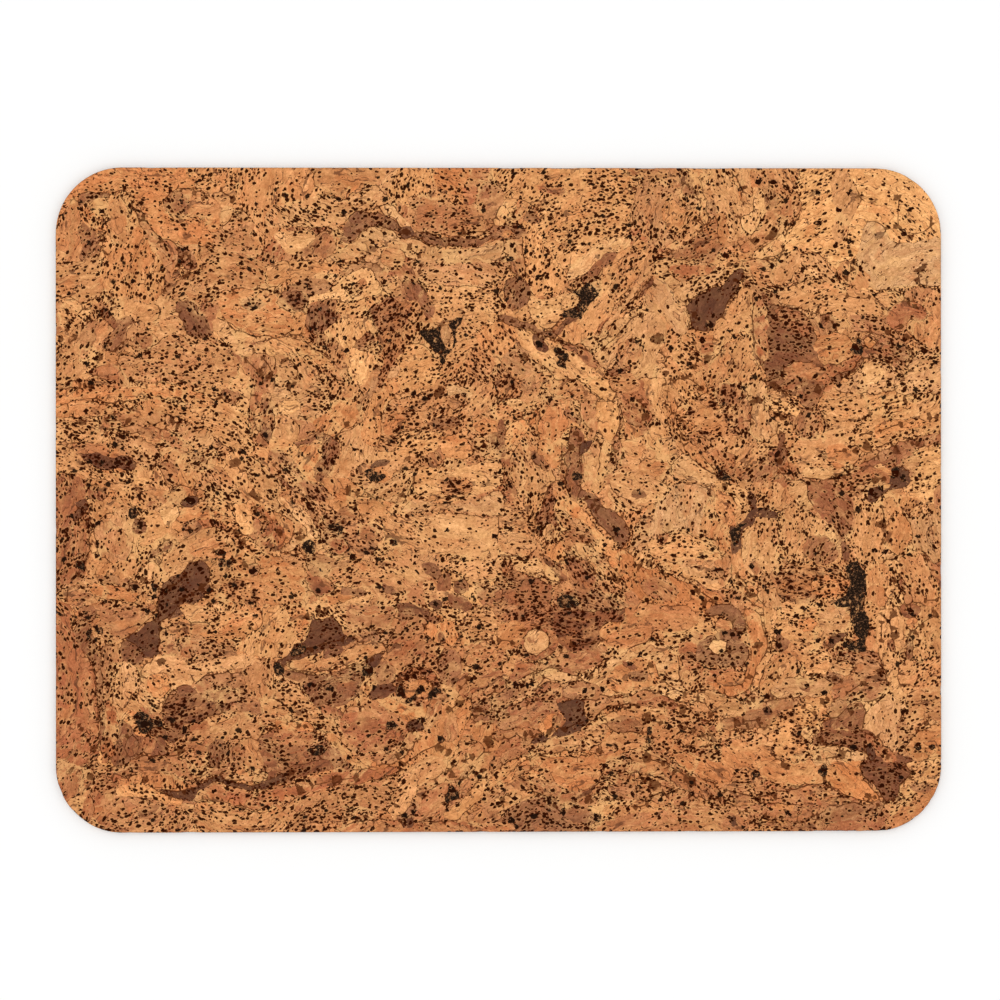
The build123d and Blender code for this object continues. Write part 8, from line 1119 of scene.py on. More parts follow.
def painter(P):
    """Which flake lies on top at each point: 0 is the bed's own filler."""
    ids = np.zeros(len(P), np.int32)
    for k, f in enumerate(flakes):
        C = f[4]
        lo, hi = C.min(0), C.max(0)
        m = np.where((P[:, 0] >= lo[0]) & (P[:, 0] <= hi[0]) & (P[:, 1] >= lo[1]) & (P[:, 1] <= hi[1]))[0]
        if len(m):
            ids[m[inside(C, P[m])]] = k + 1
    return ids


# ---------------------------------------------------------------- first cut: every outline
INSET = 0.42
rim = outline(INSET, 1.6)
co = list(rim)
ed = [(i, (i + 1) % len(rim)) for i in range(len(rim))]
n_rim = len(rim)
wl, hl = W / 2 + 4, H / 2 + 4
for k, d, s, a, C in flakes:
    i0 = len(co)
    keep = (np.abs(C[:, 0]) < wl) & (np.abs(C[:, 1]) < hl)
    if not keep.any():
        continue
    co += [tuple(p) for p in C]
    m = len(C)
    ed += [(i0 + i, i0 + (i + 1) % m) for i in range(m)]

vo, eo, fo, ov, oe, of_ = geometry.delaunay_2d_cdt([Vector(c) for c in co], ed, [], 0, 1e-4)
V = np.array([tuple(v) for v in vo])
F = np.array([f for f in fo if len(f) == 3], np.int32)
cen = V[F].mean(1)
box_in = inside(np.array(rim), cen)
F, cen = F[box_in], cen[box_in]
ids = painter(cen)


def face_edges(F):
    E = np.concatenate([F[:, [0, 1]], F[:, [1, 2]], F[:, [2, 0]]])
    E.sort(1)
    fi = np.tile(np.arange(len(F)), 3)
    order = np.lexsort((E[:, 1], E[:, 0]))
    E, fi = E[order], fi[order]
    same = (E[1:] == E[:-1]).all(1)
    a = np.where(same)[0]
    lone = np.ones(len(E), bool)
    lone[a] = False
    lone[a + 1] = False
    return E[a], fi[a], fi[a + 1], E[lone], fi[lone]


def components(n, fa, fb, link):
    parent = list(range(n))

    def find(i):
        while parent[i] != i:
            parent[i] = parent[parent[i]]
            i = parent[i]
        return i

    for a, b in zip(fa[link].tolist(), fb[link].tolist()):
        ra, rb = find(a), find(b)
        if ra != rb:
            parent[ra] = rb
    return np.array([find(i) for i in range(n)])


def tri_area(V, F):
    a, b, c = V[F[:, 0]], V[F[:, 1]], V[F[:, 2]]
    return 0.5 * np.abs((b[:, 0] - a[:, 0]) * (c[:, 1] - a[:, 1]) - (b[:, 1] - a[:, 1]) * (c[:, 0] - a[:, 0]))


dark_hole = np.array([False] + [f[0] in "KX" for f in flakes])
# crumbs too small to be flakes join the neighbour they share most edge with
E, fa, fb, _, _ = face_edges(F)
for _ in range(3):
    comp = components(len(F), fa, fb, ids[fa] == ids[fb])
    ar = np.bincount(comp, tri_area(V, F), len(F))
    small = ar[comp] < np.where(dark_hole[ids], 0.9, 4.0)
    length = np.linalg.norm(V[E[:, 0]] - V[E[:, 1]], axis=1)
    votes = {}
    for i in np.where((comp[fa] != comp[fb]) & (small[fa] | small[fb]))[0]:
        for p, q in ((fa[i], fb[i]), (fb[i], fa[i])):
            if small[p] and ar[comp[q]] > ar[comp[p]]:
                votes.setdefault(int(comp[p]), {}).setdefault(int(ids[q]), 0.0)
                votes[int(comp[p])][int(ids[q])] += length[i]
    if not votes:
        break
    new = {c: max(v.items(), key=lambda t: (t[1], t[0]))[0] for c, v in votes.items()}
    ids = np.array([new.get(int(c), int(k)) for c, k in zip(comp, ids)], np.int32)

edge_keep = E[ids[fa] != ids[fb]]
tree_ids = ids
cen1 = cen
print("first cut", len(V), "points", len(F), "faces", len(edge_keep), "boundary edges")

# points closer than 0.4 mm become one
used = np.unique(edge_keep)
kd = kdtree.KDTree(len(used))
for i in used:
    kd.insert((V[i, 0], V[i, 1], 0), int(i))
kd.balance()
stand = {}
for i in used.tolist():
    if i in stand:
        continue
    stand[i] = i
    for _, j, _ in kd.find_range((V[i, 0], V[i, 1], 0), 0.42):
        if j not in stand:
            stand[j] = i
chain = set()
for a, b in edge_keep.tolist():
    a, b = stand[a], stand[b]
    if a != b:
        chain.add((min(a, b), max(a, b)))
chain = sorted(chain)
pts_used = sorted(set(i for e in chain for i in e))
where = {i: n for n, i in enumerate(pts_used)}
B = V[pts_used]
BE = np.array([(where[a], where[b]) for a, b in chain])

# distance from a point to the nearest flake edge point or outline point
kf = kdtree.KDTree(len(B) + n_rim)
for i, p in enumerate(B):
    kf.insert((p[0], p[1], 0), i)
for i, p in enumerate(rim):
    kf.insert((p[0], p[1], 0), len(B) + i)
kf.balance()


def gap(x, y):
    return kf.find((x, y, 0))[2]


# growth lines and seams: where one runs beside a flake edge the edge itself takes its strength
rim_far = np.array(outline(INSET + 1.2, 1.0))
samples, LP, LPW, LPE, lg = [], [], [], [], {}
for w, pts in SEAMS:
    fine_c = roughen(thread(pts, 0.8), 0.3)
    way = np.gradient(fine_c, axis=0)
    way /= np.maximum(np.linalg.norm(way, axis=1), 1e-6)[:, None]
    samples += [(x, y, w, dx, dy) for (x, y), (dx, dy) in zip(fine_c.tolist(), way.tolist())]
    C = roughen(thread(pts, 1.45), 0.3)
    good = inside(rim_far, C)
    last = None
    for (x, y), ok in zip(C.tolist(), good.tolist()):
        if ok and gap(x, y) > 2.0:
            gx, gy = int(x // 2), int(y // 2)
            if not any(
                math.hypot(a - x, b - y) < 0.7
                for i in (gx - 1, gx, gx + 1)
                for j in (gy - 1, gy, gy + 1)
                for a, b in lg.get((i, j), ())
            ):
                lg.setdefault((gx, gy), []).append((x, y))
                LP.append((x, y))
                LPW.append(w)
                if last is not None:
                    LPE.append((last, len(LP) - 1))
                last = len(LP) - 1
                continue
        last = None
ks = kdtree.KDTree(len(samples))
for i, (x, y, w, dx, dy) in enumerate(samples):
    ks.insert((x, y, 0), i)
ks.balance()
kl = kdtree.KDTree(len(LP))
for i, (x, y) in enumerate(LP):
    kl.insert((x, y, 0), i)
kl.balance()
edge_gap = gap


def gap(x, y):
    return min(edge_gap(x, y), kl.find((x, y, 0))[2])


print("seam points", len(LP), "edges", len(LPE))

# ---------------------------------------------------------------- second cut: shores, pits and fill
LIP = 0.42
both = np.vstack([B, np.array(LP)])
bothE = np.vstack([BE, np.array(LPE) + len(B)])
mid = (both[bothE[:, 0]] + both[bothE[:, 1]]) / 2
dirv = both[bothE[:, 1]] - both[bothE[:, 0]]
ln = np.linalg.norm(dirv, axis=1)
nrm = np.stack([-dirv[:, 1], dirv[:, 0]], 1) / ln[:, None]
shore = np.vstack([mid + nrm * LIP, mid - nrm * LIP])[np.tile(ln > 0.7, 2)]
rim_np = np.array(outline(INSET + 0.5, 1.0))
shore = shore[inside(rim_np, shore)]
keep, grid = [], {}


def claim(x, y, r, grid, size=2.0):
    """True if no earlier point lies within r, and then the point is taken."""
    gx, gy = int(x // size), int(y // size)
    for i in (gx - 1, gx, gx + 1):
        for j in (gy - 1, gy, gy + 1):
            for a, b in grid.get((i, j), ()):
                if (a - x) ** 2 + (b - y) ** 2 < r * r:
                    return False
    grid.setdefault((gx, gy), []).append((x, y))
    return True


# real pores: small pits with a rim and a floor
pit_c, pit_rim, pit_kind = [], [], []
pit_grid = {}
cand = [(rng.uniform(-W / 2, W / 2), rng.uniform(-H / 2, H / 2), 0) for _ in range(26000)]
for i in range(0, len(mid)):
    if noise.noise(Vector((mid[i, 0] * 0.07, mid[i, 1] * 0.07, 12.0))) > 0.05 and rng.random() < 0.35:
        s = rng.choice((-1, 1)) * rng.uniform(0.75, 1.7)
        cand.append((mid[i, 0] + nrm[i, 0] * s, mid[i, 1] + nrm[i, 1] * s, 1))
cand.sort(key=lambda t: -t[2])
cand_np = np.array([(x, y) for x, y, _ in cand])
ok_in = inside(rim_np, cand_np)
cid = painter(cand_np)
for (x, y, along), k, fine_in in zip(cand, cid.tolist(), ok_in.tolist()):
    if not fine_in:
        continue
    kind, dens, size, ang, _ = flakes[k - 1] if k else ("T", 4, 1, 0, None)
    if kind in "KX":
        continue
    clump = 0.55 + 1.4 * noise.noise(Vector((x * 0.085, y * 0.085, 5.5)))
    chance = (0.25 + dens / 9) * (0.55 if along else 0.30) * max(0.12, clump)
    if rng.random() > chance:
        continue
    r = rng.uniform(0.36, 0.62) * (0.86 + 0.16 * size) * (1.35 if rng.random() < 0.10 else 1.0)
    if gap(x, y) < r * 1.2 + 0.14:
        continue
    ok = True
    gx, gy = int(x // 5), int(y // 5)
    for i in (gx - 1, gx, gx + 1):
        for j in (gy - 1, gy, gy + 1):
            for a, b, q in pit_grid.get((i, j), ()):
                if math.hypot(a - x, b - y) < (q + r) * 1.25 + 0.12:
                    ok = False
    if not ok:
        continue
    pit_grid.setdefault((gx, gy), []).append((x, y, r))
    a = math.radians(ang) + rng.gauss(0, 0.5)
    long = rng.uniform(1.0, 1.7)
    ring = []
    n = 7 if r > 0.55 else 6
    ph = rng.uniform(0, 6)
    for i in range(n):
        t = ph + 2 * math.pi * i / n
        q = r * rng.uniform(0.72, 1.18)
        u, v = q * math.cos(t) * math.sqrt(long), q * math.sin(t) / math.sqrt(long)
        ring.append((x + u * math.cos(a) - v * math.sin(a), y + u * math.sin(a) + v * math.cos(a)))
    pit_c.append((x, y))
    pit_rim.append(ring)
    pit_kind.append(r)
    if len(pit_c) >= 1100:
        break
print("pits", len(pit_c))

kp = kdtree.KDTree(max(1, len(pit_c)))
for i, p in enumerate(pit_c):
    kp.insert((p[0], p[1], 0), i)
kp.balance()


def in_pit(x, y):
    for _, i, d in kp.find_n((x, y, 0), 3):
        if d < pit_kind[i] * 1.5 + 0.15:
            return True
    return False


g2 = {}
shore_ok = [
    (x, y) for x, y in shore.tolist() if gap(x, y) > 0.30 and not in_pit(x, y) and claim(x, y, 0.45, g2)
]
fill = [(x, y) for x, y, r in HOLES if r > 1.2 and gap(x, y) > 0.5 and claim(x, y, 0.6, g2)]
y = -H / 2
while y < H / 2:
    x = -W / 2
    while x < W / 2:
        px, py = x + rng.uniform(-1.2, 1.2), y + rng.uniform(-1.2, 1.2)
        if gap(px, py) > 1.5 and not in_pit(px, py) and claim(px, py, 1.6, g2):
            fill.append((px, py))
        x += 4.6
    y += 4.6
fill = [p for p, m in zip(fill, inside(rim_np, np.array(fill))) if m]

co, ed, role = [], [], []
co += list(rim)
role += [1] * n_rim
ed += [(i, (i + 1) % n_rim) for i in range(n_rim)]
i0 = len(co)
co += [tuple(p) for p in B]
role += [2] * len(B)
ed += [(i0 + int(a), i0 + int(b)) for a, b in BE]
n_wall_edges = len(ed)
seam_i0 = len(co)
co += LP
role += [7] * len(LP)
ed += [(seam_i0 + a, seam_i0 + b) for a, b in LPE]
i0 = len(co)
for c, ring in zip(pit_c, pit_rim):
    i0 = len(co)
    co += ring
    role += [3] * len(ring)
    ed += [(i0 + i, i0 + (i + 1) % len(ring)) for i in range(len(ring))]
    co.append(c)
    role.append(4)
co += shore_ok
role += [5] * len(shore_ok)
co += fill
role += [6] * len(fill)
vo, eo, fo, ov, oe, of_ = geometry.delaunay_2d_cdt([Vector(c) for c in co], ed, [], 0, 1e-4)
V = np.array([tuple(v) for v in vo])
ROLE = np.array([role[min(o)] if len(o) else 2 for o in ov])
SRC = np.array([min(o) if len(o) else -1 for o in ov])
F = np.array([f for f in fo if len(f) == 3], np.int32)
cen = V[F].mean(1)
F = F[inside(np.array(rim), cen)]
cen = V[F].mean(1)
wall = set()
for e, src in zip(eo, oe):
    if any(s < n_wall_edges for s in src):
        wall.add((min(e), max(e)))
E, fa, fb, LE, lf = face_edges(F)
is_wall = np.array([(a, b) in wall for a, b in E.tolist()])
comp = components(len(F), fa, fb, ~is_wall)
raw = painter(cen)
ar = tri_area(V, F)
best = {}
for c, k, a in zip(comp.tolist(), raw.tolist(), ar.tolist()):
    best.setdefault(c, {}).setdefault(k, 0.0)
    best[c][k] += a
pick = {c: max(v.items(), key=lambda t: (t[1], t[0]))[0] for c, v in best.items()}
ids = np.array([pick[c] for c in comp.tolist()], np.int32)
print("second cut", len(V), "points", len(F), "faces, flakes shown", len(set(ids.tolist())))

# anticlockwise faces
a, b, c = V[F[:, 0]], V[F[:, 1]], V[F[:, 2]]
flip = ((b[:, 0] - a[:, 0]) * (c[:, 1] - a[:, 1]) - (b[:, 1] - a[:, 1]) * (c[:, 0] - a[:, 0])) < 0
F[flip] = F[flip][:, ::-1]

# ---------------------------------------------------------------- what each flake is like
nf = len(flakes) + 1
col = np.zeros((nf, 3))
soft = np.zeros(nf)
sink = np.zeros(nf)
prm = np.zeros((nf, 3))
centre = np.zeros((nf, 2))
curve = np.zeros(nf)
fr = random.Random(7)
for k in range(nf):
    kind, dens, size, ang, C = flakes[k - 1] if k else ("T", 4, 1, 0, np.zeros((1, 2)))
    base, sf, dp = KINDS[kind]
    v = 1 + fr.gauss(0, 0.035)
    h = fr.gauss(0, 0.02)
    col[k] = [lin(min(255, base[0] * v * (1 + h * 0.5))), lin(base[1] * v), lin(base[2] * v * (1 - h))]
    soft[k] = min(0.9, max(0.0, 0.55 * sf + fr.uniform(-0.08, 0.10))) * (kind not in "KX")
    sink[k] = dp + fr.uniform(0, 0.05)
    prm[k] = (dens / 9, EAT.get(kind, 0.0), fr.random())
    centre[k] = C.mean(0)
    curve[k] = fr.uniform(-0.012, 0.012)

kind_of = ["T"] + [f[0] for f in flakes]
is_k = np.array([k in "KX" for k in kind_of])[ids]

nv = len(V)
cnt = np.zeros(nv)
zsum = np.zeros(nv)
csum = np.zeros((nv, 3))
kcnt = np.zeros(nv)
for j in range(3):
    np.add.at(cnt, F[:, j], 1)
    np.add.at(zsum, F[:, j], sink[ids])
    np.add.at(csum, F[:, j], col[ids])
    np.add.at(kcnt, F[:, j], is_k)
cnt = np.maximum(cnt, 1)
z = TOP - zsum / cnt
vcol = csum / cnt[:, None]
# passes of spreading, so that soft flakes fade into their neighbours
allE = np.vstack([E, LE])
for _ in range(4):
    nsum, ncnt = np.zeros((nv, 3)), np.zeros(nv)
    for p, q in ((0, 1), (1, 0)):
        np.add.at(nsum, allE[:, p], vcol[allE[:, q]])
        np.add.at(ncnt, allE[:, p], 1)
    vcol = 0.4 * vcol + 0.6 * nsum / np.maximum(ncnt, 1)[:, None]

edge = np.zeros(nv)
for (p, q), a, b in zip(E.tolist(), ids[fa].tolist(), ids[fb].tolist()):
    if a == b:
        continue
    one = random.Random(min(a, b) * 1009 + max(a, b)).random()
    s = 0.08 if one < 0.50 else (0.38 if one < 0.80 else 0.62)
    if (a <= bed and b <= bed) or kind_of[a] == "X" or kind_of[b] == "X":
        s *= 0.5
    t = V[q] - V[p]
    t = t / max(np.linalg.norm(t), 1e-6)
    for i in (p, q):
        _, n, d = ks.find((V[i, 0], V[i, 1], 0))
        w = samples[n][2] if abs(t[0] * samples[n][3] + t[1] * samples[n][4]) > 0.72 else 0.0
        if w == 0.0:
            edge[i] = max(edge[i], s)
            continue
        edge[i] = max(edge[i], s, 0.55 + 0.5 * w if d < 0.9 else (0.6 * w if d < 2.0 else 0.0))
for i in np.where(ROLE == 7)[0]:
    edge[i] = max(edge[i], 0.65 + 0.6 * LPW[SRC[i] - seam_i0])
kb = kdtree.KDTree(int((edge > 0).sum()))
for n, i in enumerate(np.where(edge > 0)[0]):
    kb.insert((V[i, 0], V[i, 1], 0), n)
kb.balance()
dist = np.array([kb.find((x, y, 0))[2] for x, y in V.tolist()])
groove = np.array([0.07 + 0.10 * max(0.0, noise.noise(Vector((x * 0.06, y * 0.06, 1.0)))) for x, y in V.tolist()])
z -= edge * groove
pit = np.zeros(nv)
for i in np.where(ROLE == 4)[0]:
    r = 0.55 + 0.25 * noise.noise(Vector((V[i, 0], V[i, 1], 2.0)))
    z[i] -= r * 0.62
    pit[i] = 1.0
pit[ROLE == 3] = 0.0
hole = (kcnt >= cnt) & (ROLE != 1)
for i in np.where(hole)[0]:
    z[i] -= 0.45 + 0.3 * noise.noise(Vector((V[i, 0] * 0.4, V[i, 1] * 0.4, 4.0)))
    pit[i] = 1.0
for i in range(nv):
    if ROLE[i] in (5, 6):
        z[i] += 0.03 * noise.noise(Vector((V[i, 0] * 0.16, V[i, 1] * 0.16, 6.0)))
z = np.clip(z, UNDER + 0.12, TOP)
z[ROLE == 1] = np.maximum(z[ROLE == 1], TOP - 0.06)

# ---------------------------------------------------------------- arris, cut side and underside
nxt = {}
for (a, b), f in zip(LE.tolist(), lf.tolist()):
    tri = F[f].tolist()
    i = tri.index(a)
    if tri[(i + 1) % 3] != b:
        a, b = b, a
    nxt[a] = (b, f)
start = min(nxt)
loop, owner = [], []
i = start
while True:
    loop.append(i)
    j, f = nxt[i]
    owner.append(int(ids[f]))
    i = j
    if i == start:
        break
print("rim loop", len(loop), "of", len(nxt))


def outward(x, y):
    cx = max(-(W / 2 - R), min(W / 2 - R, x))
    cy = max(-(H / 2 - R), min(H / 2 - R, y))
    dx, dy = x - cx, y - cy
    if abs(x) < W / 2 - R:
        return 0.0, math.copysign(1, y)
    if abs(y) < H / 2 - R:
        return math.copysign(1, x), 0.0
    d = math.hypot(dx, dy)
    return dx / d, dy / d


rings = [loop]
wallpts, wz, wcol, nick_shade = [], [], [], []
LEV = [(0.20, TOP - 0.05), (0.34, TOP - 0.14), (0.42, TOP - 0.32), (0.42, UNDER + 0.25), (0.40, UNDER)]
base_i = nv
for n, (off, zz) in enumerate(LEV):
    row = []
    for i in loop:
        x, y = V[i]
        ox, oy = outward(x, y)
        chip = max(0.0, noise.noise(Vector((x * 0.11, y * 0.11, 9.0))) - 0.28) * 0.9
        if x > 150 and y < -118:
            chip += max(0.0, noise.noise(Vector((x * 0.35, y * 0.35, 3.0))) - 0.05) * 0.9
        nick = min(0.34, chip) * (1.0 if 0 < n < 4 else 0.35)
        nick += 0.05 * (0.5 + 0.5 * noise.noise(Vector((x * 0.9, y * 0.9, n * 2.0))))
        d = max(0.02 * n, off - nick)
        wallpts.append((x + ox * d, y + oy * d))
        wz.append(zz - (0.02 * noise.noise(Vector((x * 0.7, y * 0.7, n + 5.0))) if 0 < n < 4 else 0))
        wcol.append(vcol[i])
        # how strongly a chip dents the cut side here, kept as a mask for painted shade in the dent
        nick_shade.append(min(1.0, chip * 4))
        row.append(base_i + len(wallpts) - 1)
    rings.append(row)
Vall = np.vstack([V, np.array(wallpts)])
zall = np.concatenate([z, np.array(wz)])
colall = np.vstack([vcol, np.array(wcol)])
nick_shade_all = np.concatenate([np.zeros(nv), np.array(nick_shade)])
edgeall = np.concatenate([edge, np.zeros(len(wallpts))])
distall = np.concatenate([dist, np.full(len(wallpts), 3.0), [3.0]])
pitall = np.concatenate([pit, np.zeros(len(wallpts))])
# how far each point lies over the arris and down the cut side; the bark material paints shade along this
arris_shade = np.concatenate([np.where(ROLE == 1, 0.55, 0.0), np.repeat([0.8, 0.95, 1.0, 1.0, 1.0], len(loop))])
faces = F.tolist()
fid = ids.tolist()
m = len(loop)
for r in range(len(rings) - 1):
    A, Bq = rings[r], rings[r + 1]
    for i in range(m):
        j = (i + 1) % m
        faces.append((A[j], A[i], Bq[i], Bq[j]))
        fid.append(owner[i])
hub = len(Vall)
Vall = np.vstack([Vall, [[0, 0]]])
zall = np.append(zall, UNDER)
colall = np.vstack([colall, colall.mean(0)])
nick_shade_all, edgeall, pitall, arris_shade = (np.append(q, w) for q, w in ((nick_shade_all, 0), (edgeall, 0), (pitall, 0), (arris_shade, 1)))
last = rings[-1]
for i in range(m):
    faces.append((last[(i + 1) % m], last[i], hub))
    fid.append(owner[i])
fid = np.array(fid)


def make_mesh(name, xyz, faces):
    me = bpy.data.meshes.new(name)
    me.from_pydata([tuple(p) for p in (np.asarray(xyz) * MM).tolist()], [], faces)
    me.update()
    me.polygons.foreach_set("use_smooth", [True] * len(me.polygons))
    ob = bpy.data.objects.new(name, me)
    bpy.context.scene.collection.objects.link(ob)
    return ob


def attr(me, name, kind, domain, data):
    a = me.attributes.new(name, kind, domain)
    key = {"FLOAT": "value", "FLOAT_VECTOR": "vector", "FLOAT_COLOR": "color"}[kind]
    a.data.foreach_set(key, np.asarray(data, np.float32).ravel())


face = make_mesh("bark_face", np.column_stack([Vall, zall]), faces)
me = face.data
attr(me, "pit", "FLOAT", "POINT", pitall)
attr(me, "dist", "FLOAT", "POINT", distall)
# rim carries the painted shade of the arris and cut side
attr(me, "rim", "FLOAT", "POINT", arris_shade)
# nick carries the painted shade in the chipped dents
attr(me, "nick", "FLOAT", "POINT", nick_shade_all)
attr(me, "near", "FLOAT_COLOR", "POINT", np.column_stack([colall, np.ones(len(colall))]))
attr(me, "bark", "FLOAT_COLOR", "FACE", np.column_stack([col[fid], np.ones(len(fid))]))
attr(me, "prm", "FLOAT_VECTOR", "FACE", prm[fid])
attr(me, "fade", "FLOAT", "FACE", soft[fid])
li = np.zeros(len(me.loops), np.int32)
me.loops.foreach_get("vertex_index", li)
tot = np.zeros(len(me.polygons), np.int32)
me.polygons.foreach_get("loop_total", tot)
lf_id = np.repeat(fid, tot)
# a sliver caught between two lines isn't a line itself
lip_loop = edgeall[li]
caught = np.minimum.reduceat(lip_loop, np.concatenate([[0], np.cumsum(tot)[:-1]])) > 0.05
attr(me, "lip", "FLOAT", "CORNER", np.where(np.repeat(caught, tot), 0.3 * lip_loop, lip_loop))
ang = np.radians(np.array([0.0] + [f[3] for f in flakes]))[lf_id]
d = Vall[li] - centre[lf_id]
u = d[:, 0] * np.cos(ang) + d[:, 1] * np.sin(ang)
v = -d[:, 0] * np.sin(ang) + d[:, 1] * np.cos(ang)
v = v + curve[lf_id] * u * u
attr(me, "gro", "FLOAT_VECTOR", "CORNER", np.column_stack([u, v, lf_id * 7.37]))
uv = me.uv_layers.new(name="OFBake")
U = np.column_stack([0.5 + Vall[li][:, 0] / W * 0.985, 0.512 + Vall[li][:, 1] / H * 0.965])
run = {}
for r in range(1, len(rings)):
    for n, i in enumerate(rings[r]):
        run[i] = n / m
side_first = len(F)
loop_face = np.repeat(np.arange(len(me.polygons)), tot)
on_side = (loop_face >= side_first + m * 2) & (loop_face < side_first + m * 5)
for q in np.where(on_side)[0]:
    p = int(li[q])
    U[q] = (0.005 + 0.99 * run.get(p, 0.0), 0.004 + 0.016 * (zall[p] - UNDER) / (TOP - UNDER))
under = loop_face >= side_first + m * 5
U[under] = np.column_stack([0.5 + Vall[li][under][:, 0] / W * 0.004, 0.001 + (Vall[li][under][:, 1] / H + 0.5) * 0.002])
uv.data.foreach_set("uv", U.astype(np.float32).ravel())


# ---------------------------------------------------------------- node helper


class Mat:
    def __init__(self, name):
        self.m = bpy.data.materials.new(name)
        self.m.use_nodes = True
        self.t = self.m.node_tree
        self.t.nodes.clear()

    def new(self, kind, **kw):
        n = self.t.nodes.new(kind)
        for k, v in kw.items():
            setattr(n, k, v)
        return n

    def put(self, sock, val):
        if isinstance(val, bpy.types.NodeSocket):
            self.t.links.new(val, sock)
        elif val is not None:
            sock.default_value = val

    def math(self, op, a, b=None, c=None, clamp=False):
        n = self.new("ShaderNodeMath", operation=op, use_clamp=clamp)
        for s, v in zip(n.inputs, (a, b, c)):
            self.put(s, v)
        return n.outputs[0]

    def vmath(self, op, a, b=None, scale=None):
        n = self.new("ShaderNodeVectorMath", operation=op)
        self.put(n.inputs[0], a)
        self.put(n.inputs[1], b)
        if scale is not None:
            self.put(n.inputs["Scale"], scale)
        return n.outputs["Value"] if op in ("LENGTH", "DOT_PRODUCT", "DISTANCE") else n.outputs[0]

    def mix(self, fac, a, b, blend="MIX"):
        n = self.new("ShaderNodeMix", data_type="RGBA", blend_type=blend)
        self.put(n.inputs[0], fac)
        self.put(n.inputs[6], a)
        self.put(n.inputs[7], b)
        return n.outputs[2]

    def fmix(self, fac, a, b):
        n = self.new("ShaderNodeMix", data_type="FLOAT")
        self.put(n.inputs[0], fac)
        self.put(n.inputs[2], a)
        self.put(n.inputs[3], b)
        return n.outputs[0]

    def attr(self, name):
        return self.new("ShaderNodeAttribute", attribute_name=name)

    def noise(self, vec, scale, detail=2.0, rough=0.5, dist=0.0, colour=False):
        n = self.new("ShaderNodeTexNoise", noise_dimensions="3D")
        self.put(n.inputs["Vector"], vec)
        self.put(n.inputs["Scale"], scale)
        self.put(n.inputs["Detail"], detail)
        self.put(n.inputs["Roughness"], rough)
        self.put(n.inputs["Distortion"], dist)
        return n.outputs["Color" if colour else 0]

    def voronoi(self, vec, scale, feature="F1", rand=1.0, dims="3D", metric="EUCLIDEAN"):
        n = self.new("ShaderNodeTexVoronoi", voronoi_dimensions=dims, feature=feature)
        if feature != "DISTANCE_TO_EDGE":
            n.distance = metric
        self.put(n.inputs["Vector"], vec)
        self.put(n.inputs["Scale"], scale)
        self.put(n.inputs["Randomness"], rand)
        return n

    def step(self, x, lo, hi, out=(0.0, 1.0)):
        n = self.new("ShaderNodeMapRange", interpolation_type="SMOOTHSTEP", clamp=True)
        self.put(n.inputs[0], x)
        self.put(n.inputs[1], lo)
        self.put(n.inputs[2], hi)
        self.put(n.inputs[3], out[0])
        self.put(n.inputs[4], out[1])
        return n.outputs[0]

    def xyz(self, x, y, z):
        n = self.new("ShaderNodeCombineXYZ")
        for s, v in zip(n.inputs, (x, y, z)):
            self.put(s, v)
        return n.outputs[0]

    def sep(self, v):
        n = self.new("ShaderNodeSeparateXYZ")
        self.put(n.inputs[0], v)
        return n.outputs

    def mm(self):
        tc = self.new("ShaderNodeTexCoord")
        return self.vmath("SCALE", tc.outputs["Object"], scale=1000.0)

    def bump(self, height, strength, distance, normal=None):
        n = self.new("ShaderNodeBump")
        self.put(n.inputs["Strength"], strength)
        self.put(n.inputs["Distance"], distance)
        self.put(n.inputs["Height"], height)
        if normal is not None:
            self.put(n.inputs["Normal"], normal)
        return n.outputs[0]

    def out(self, colour, rough, normal, spec=0.3, coat=0.0, coat_rough=0.4):
        b = self.new("ShaderNodeBsdfPrincipled")
        self.put(b.inputs["Base Color"], colour)
        self.put(b.inputs["Roughness"], rough)
        self.put(b.inputs["Specular IOR Level"], spec)
        self.put(b.inputs["Normal"], normal)
        self.put(b.inputs["Coat Weight"], coat)
        self.put(b.inputs["Coat Roughness"], coat_rough)
        o = self.new("ShaderNodeOutputMaterial")
        self.t.links.new(b.outputs[0], o.inputs[0])
        return self.m


# ---------------------------------------------------------------- bark face material


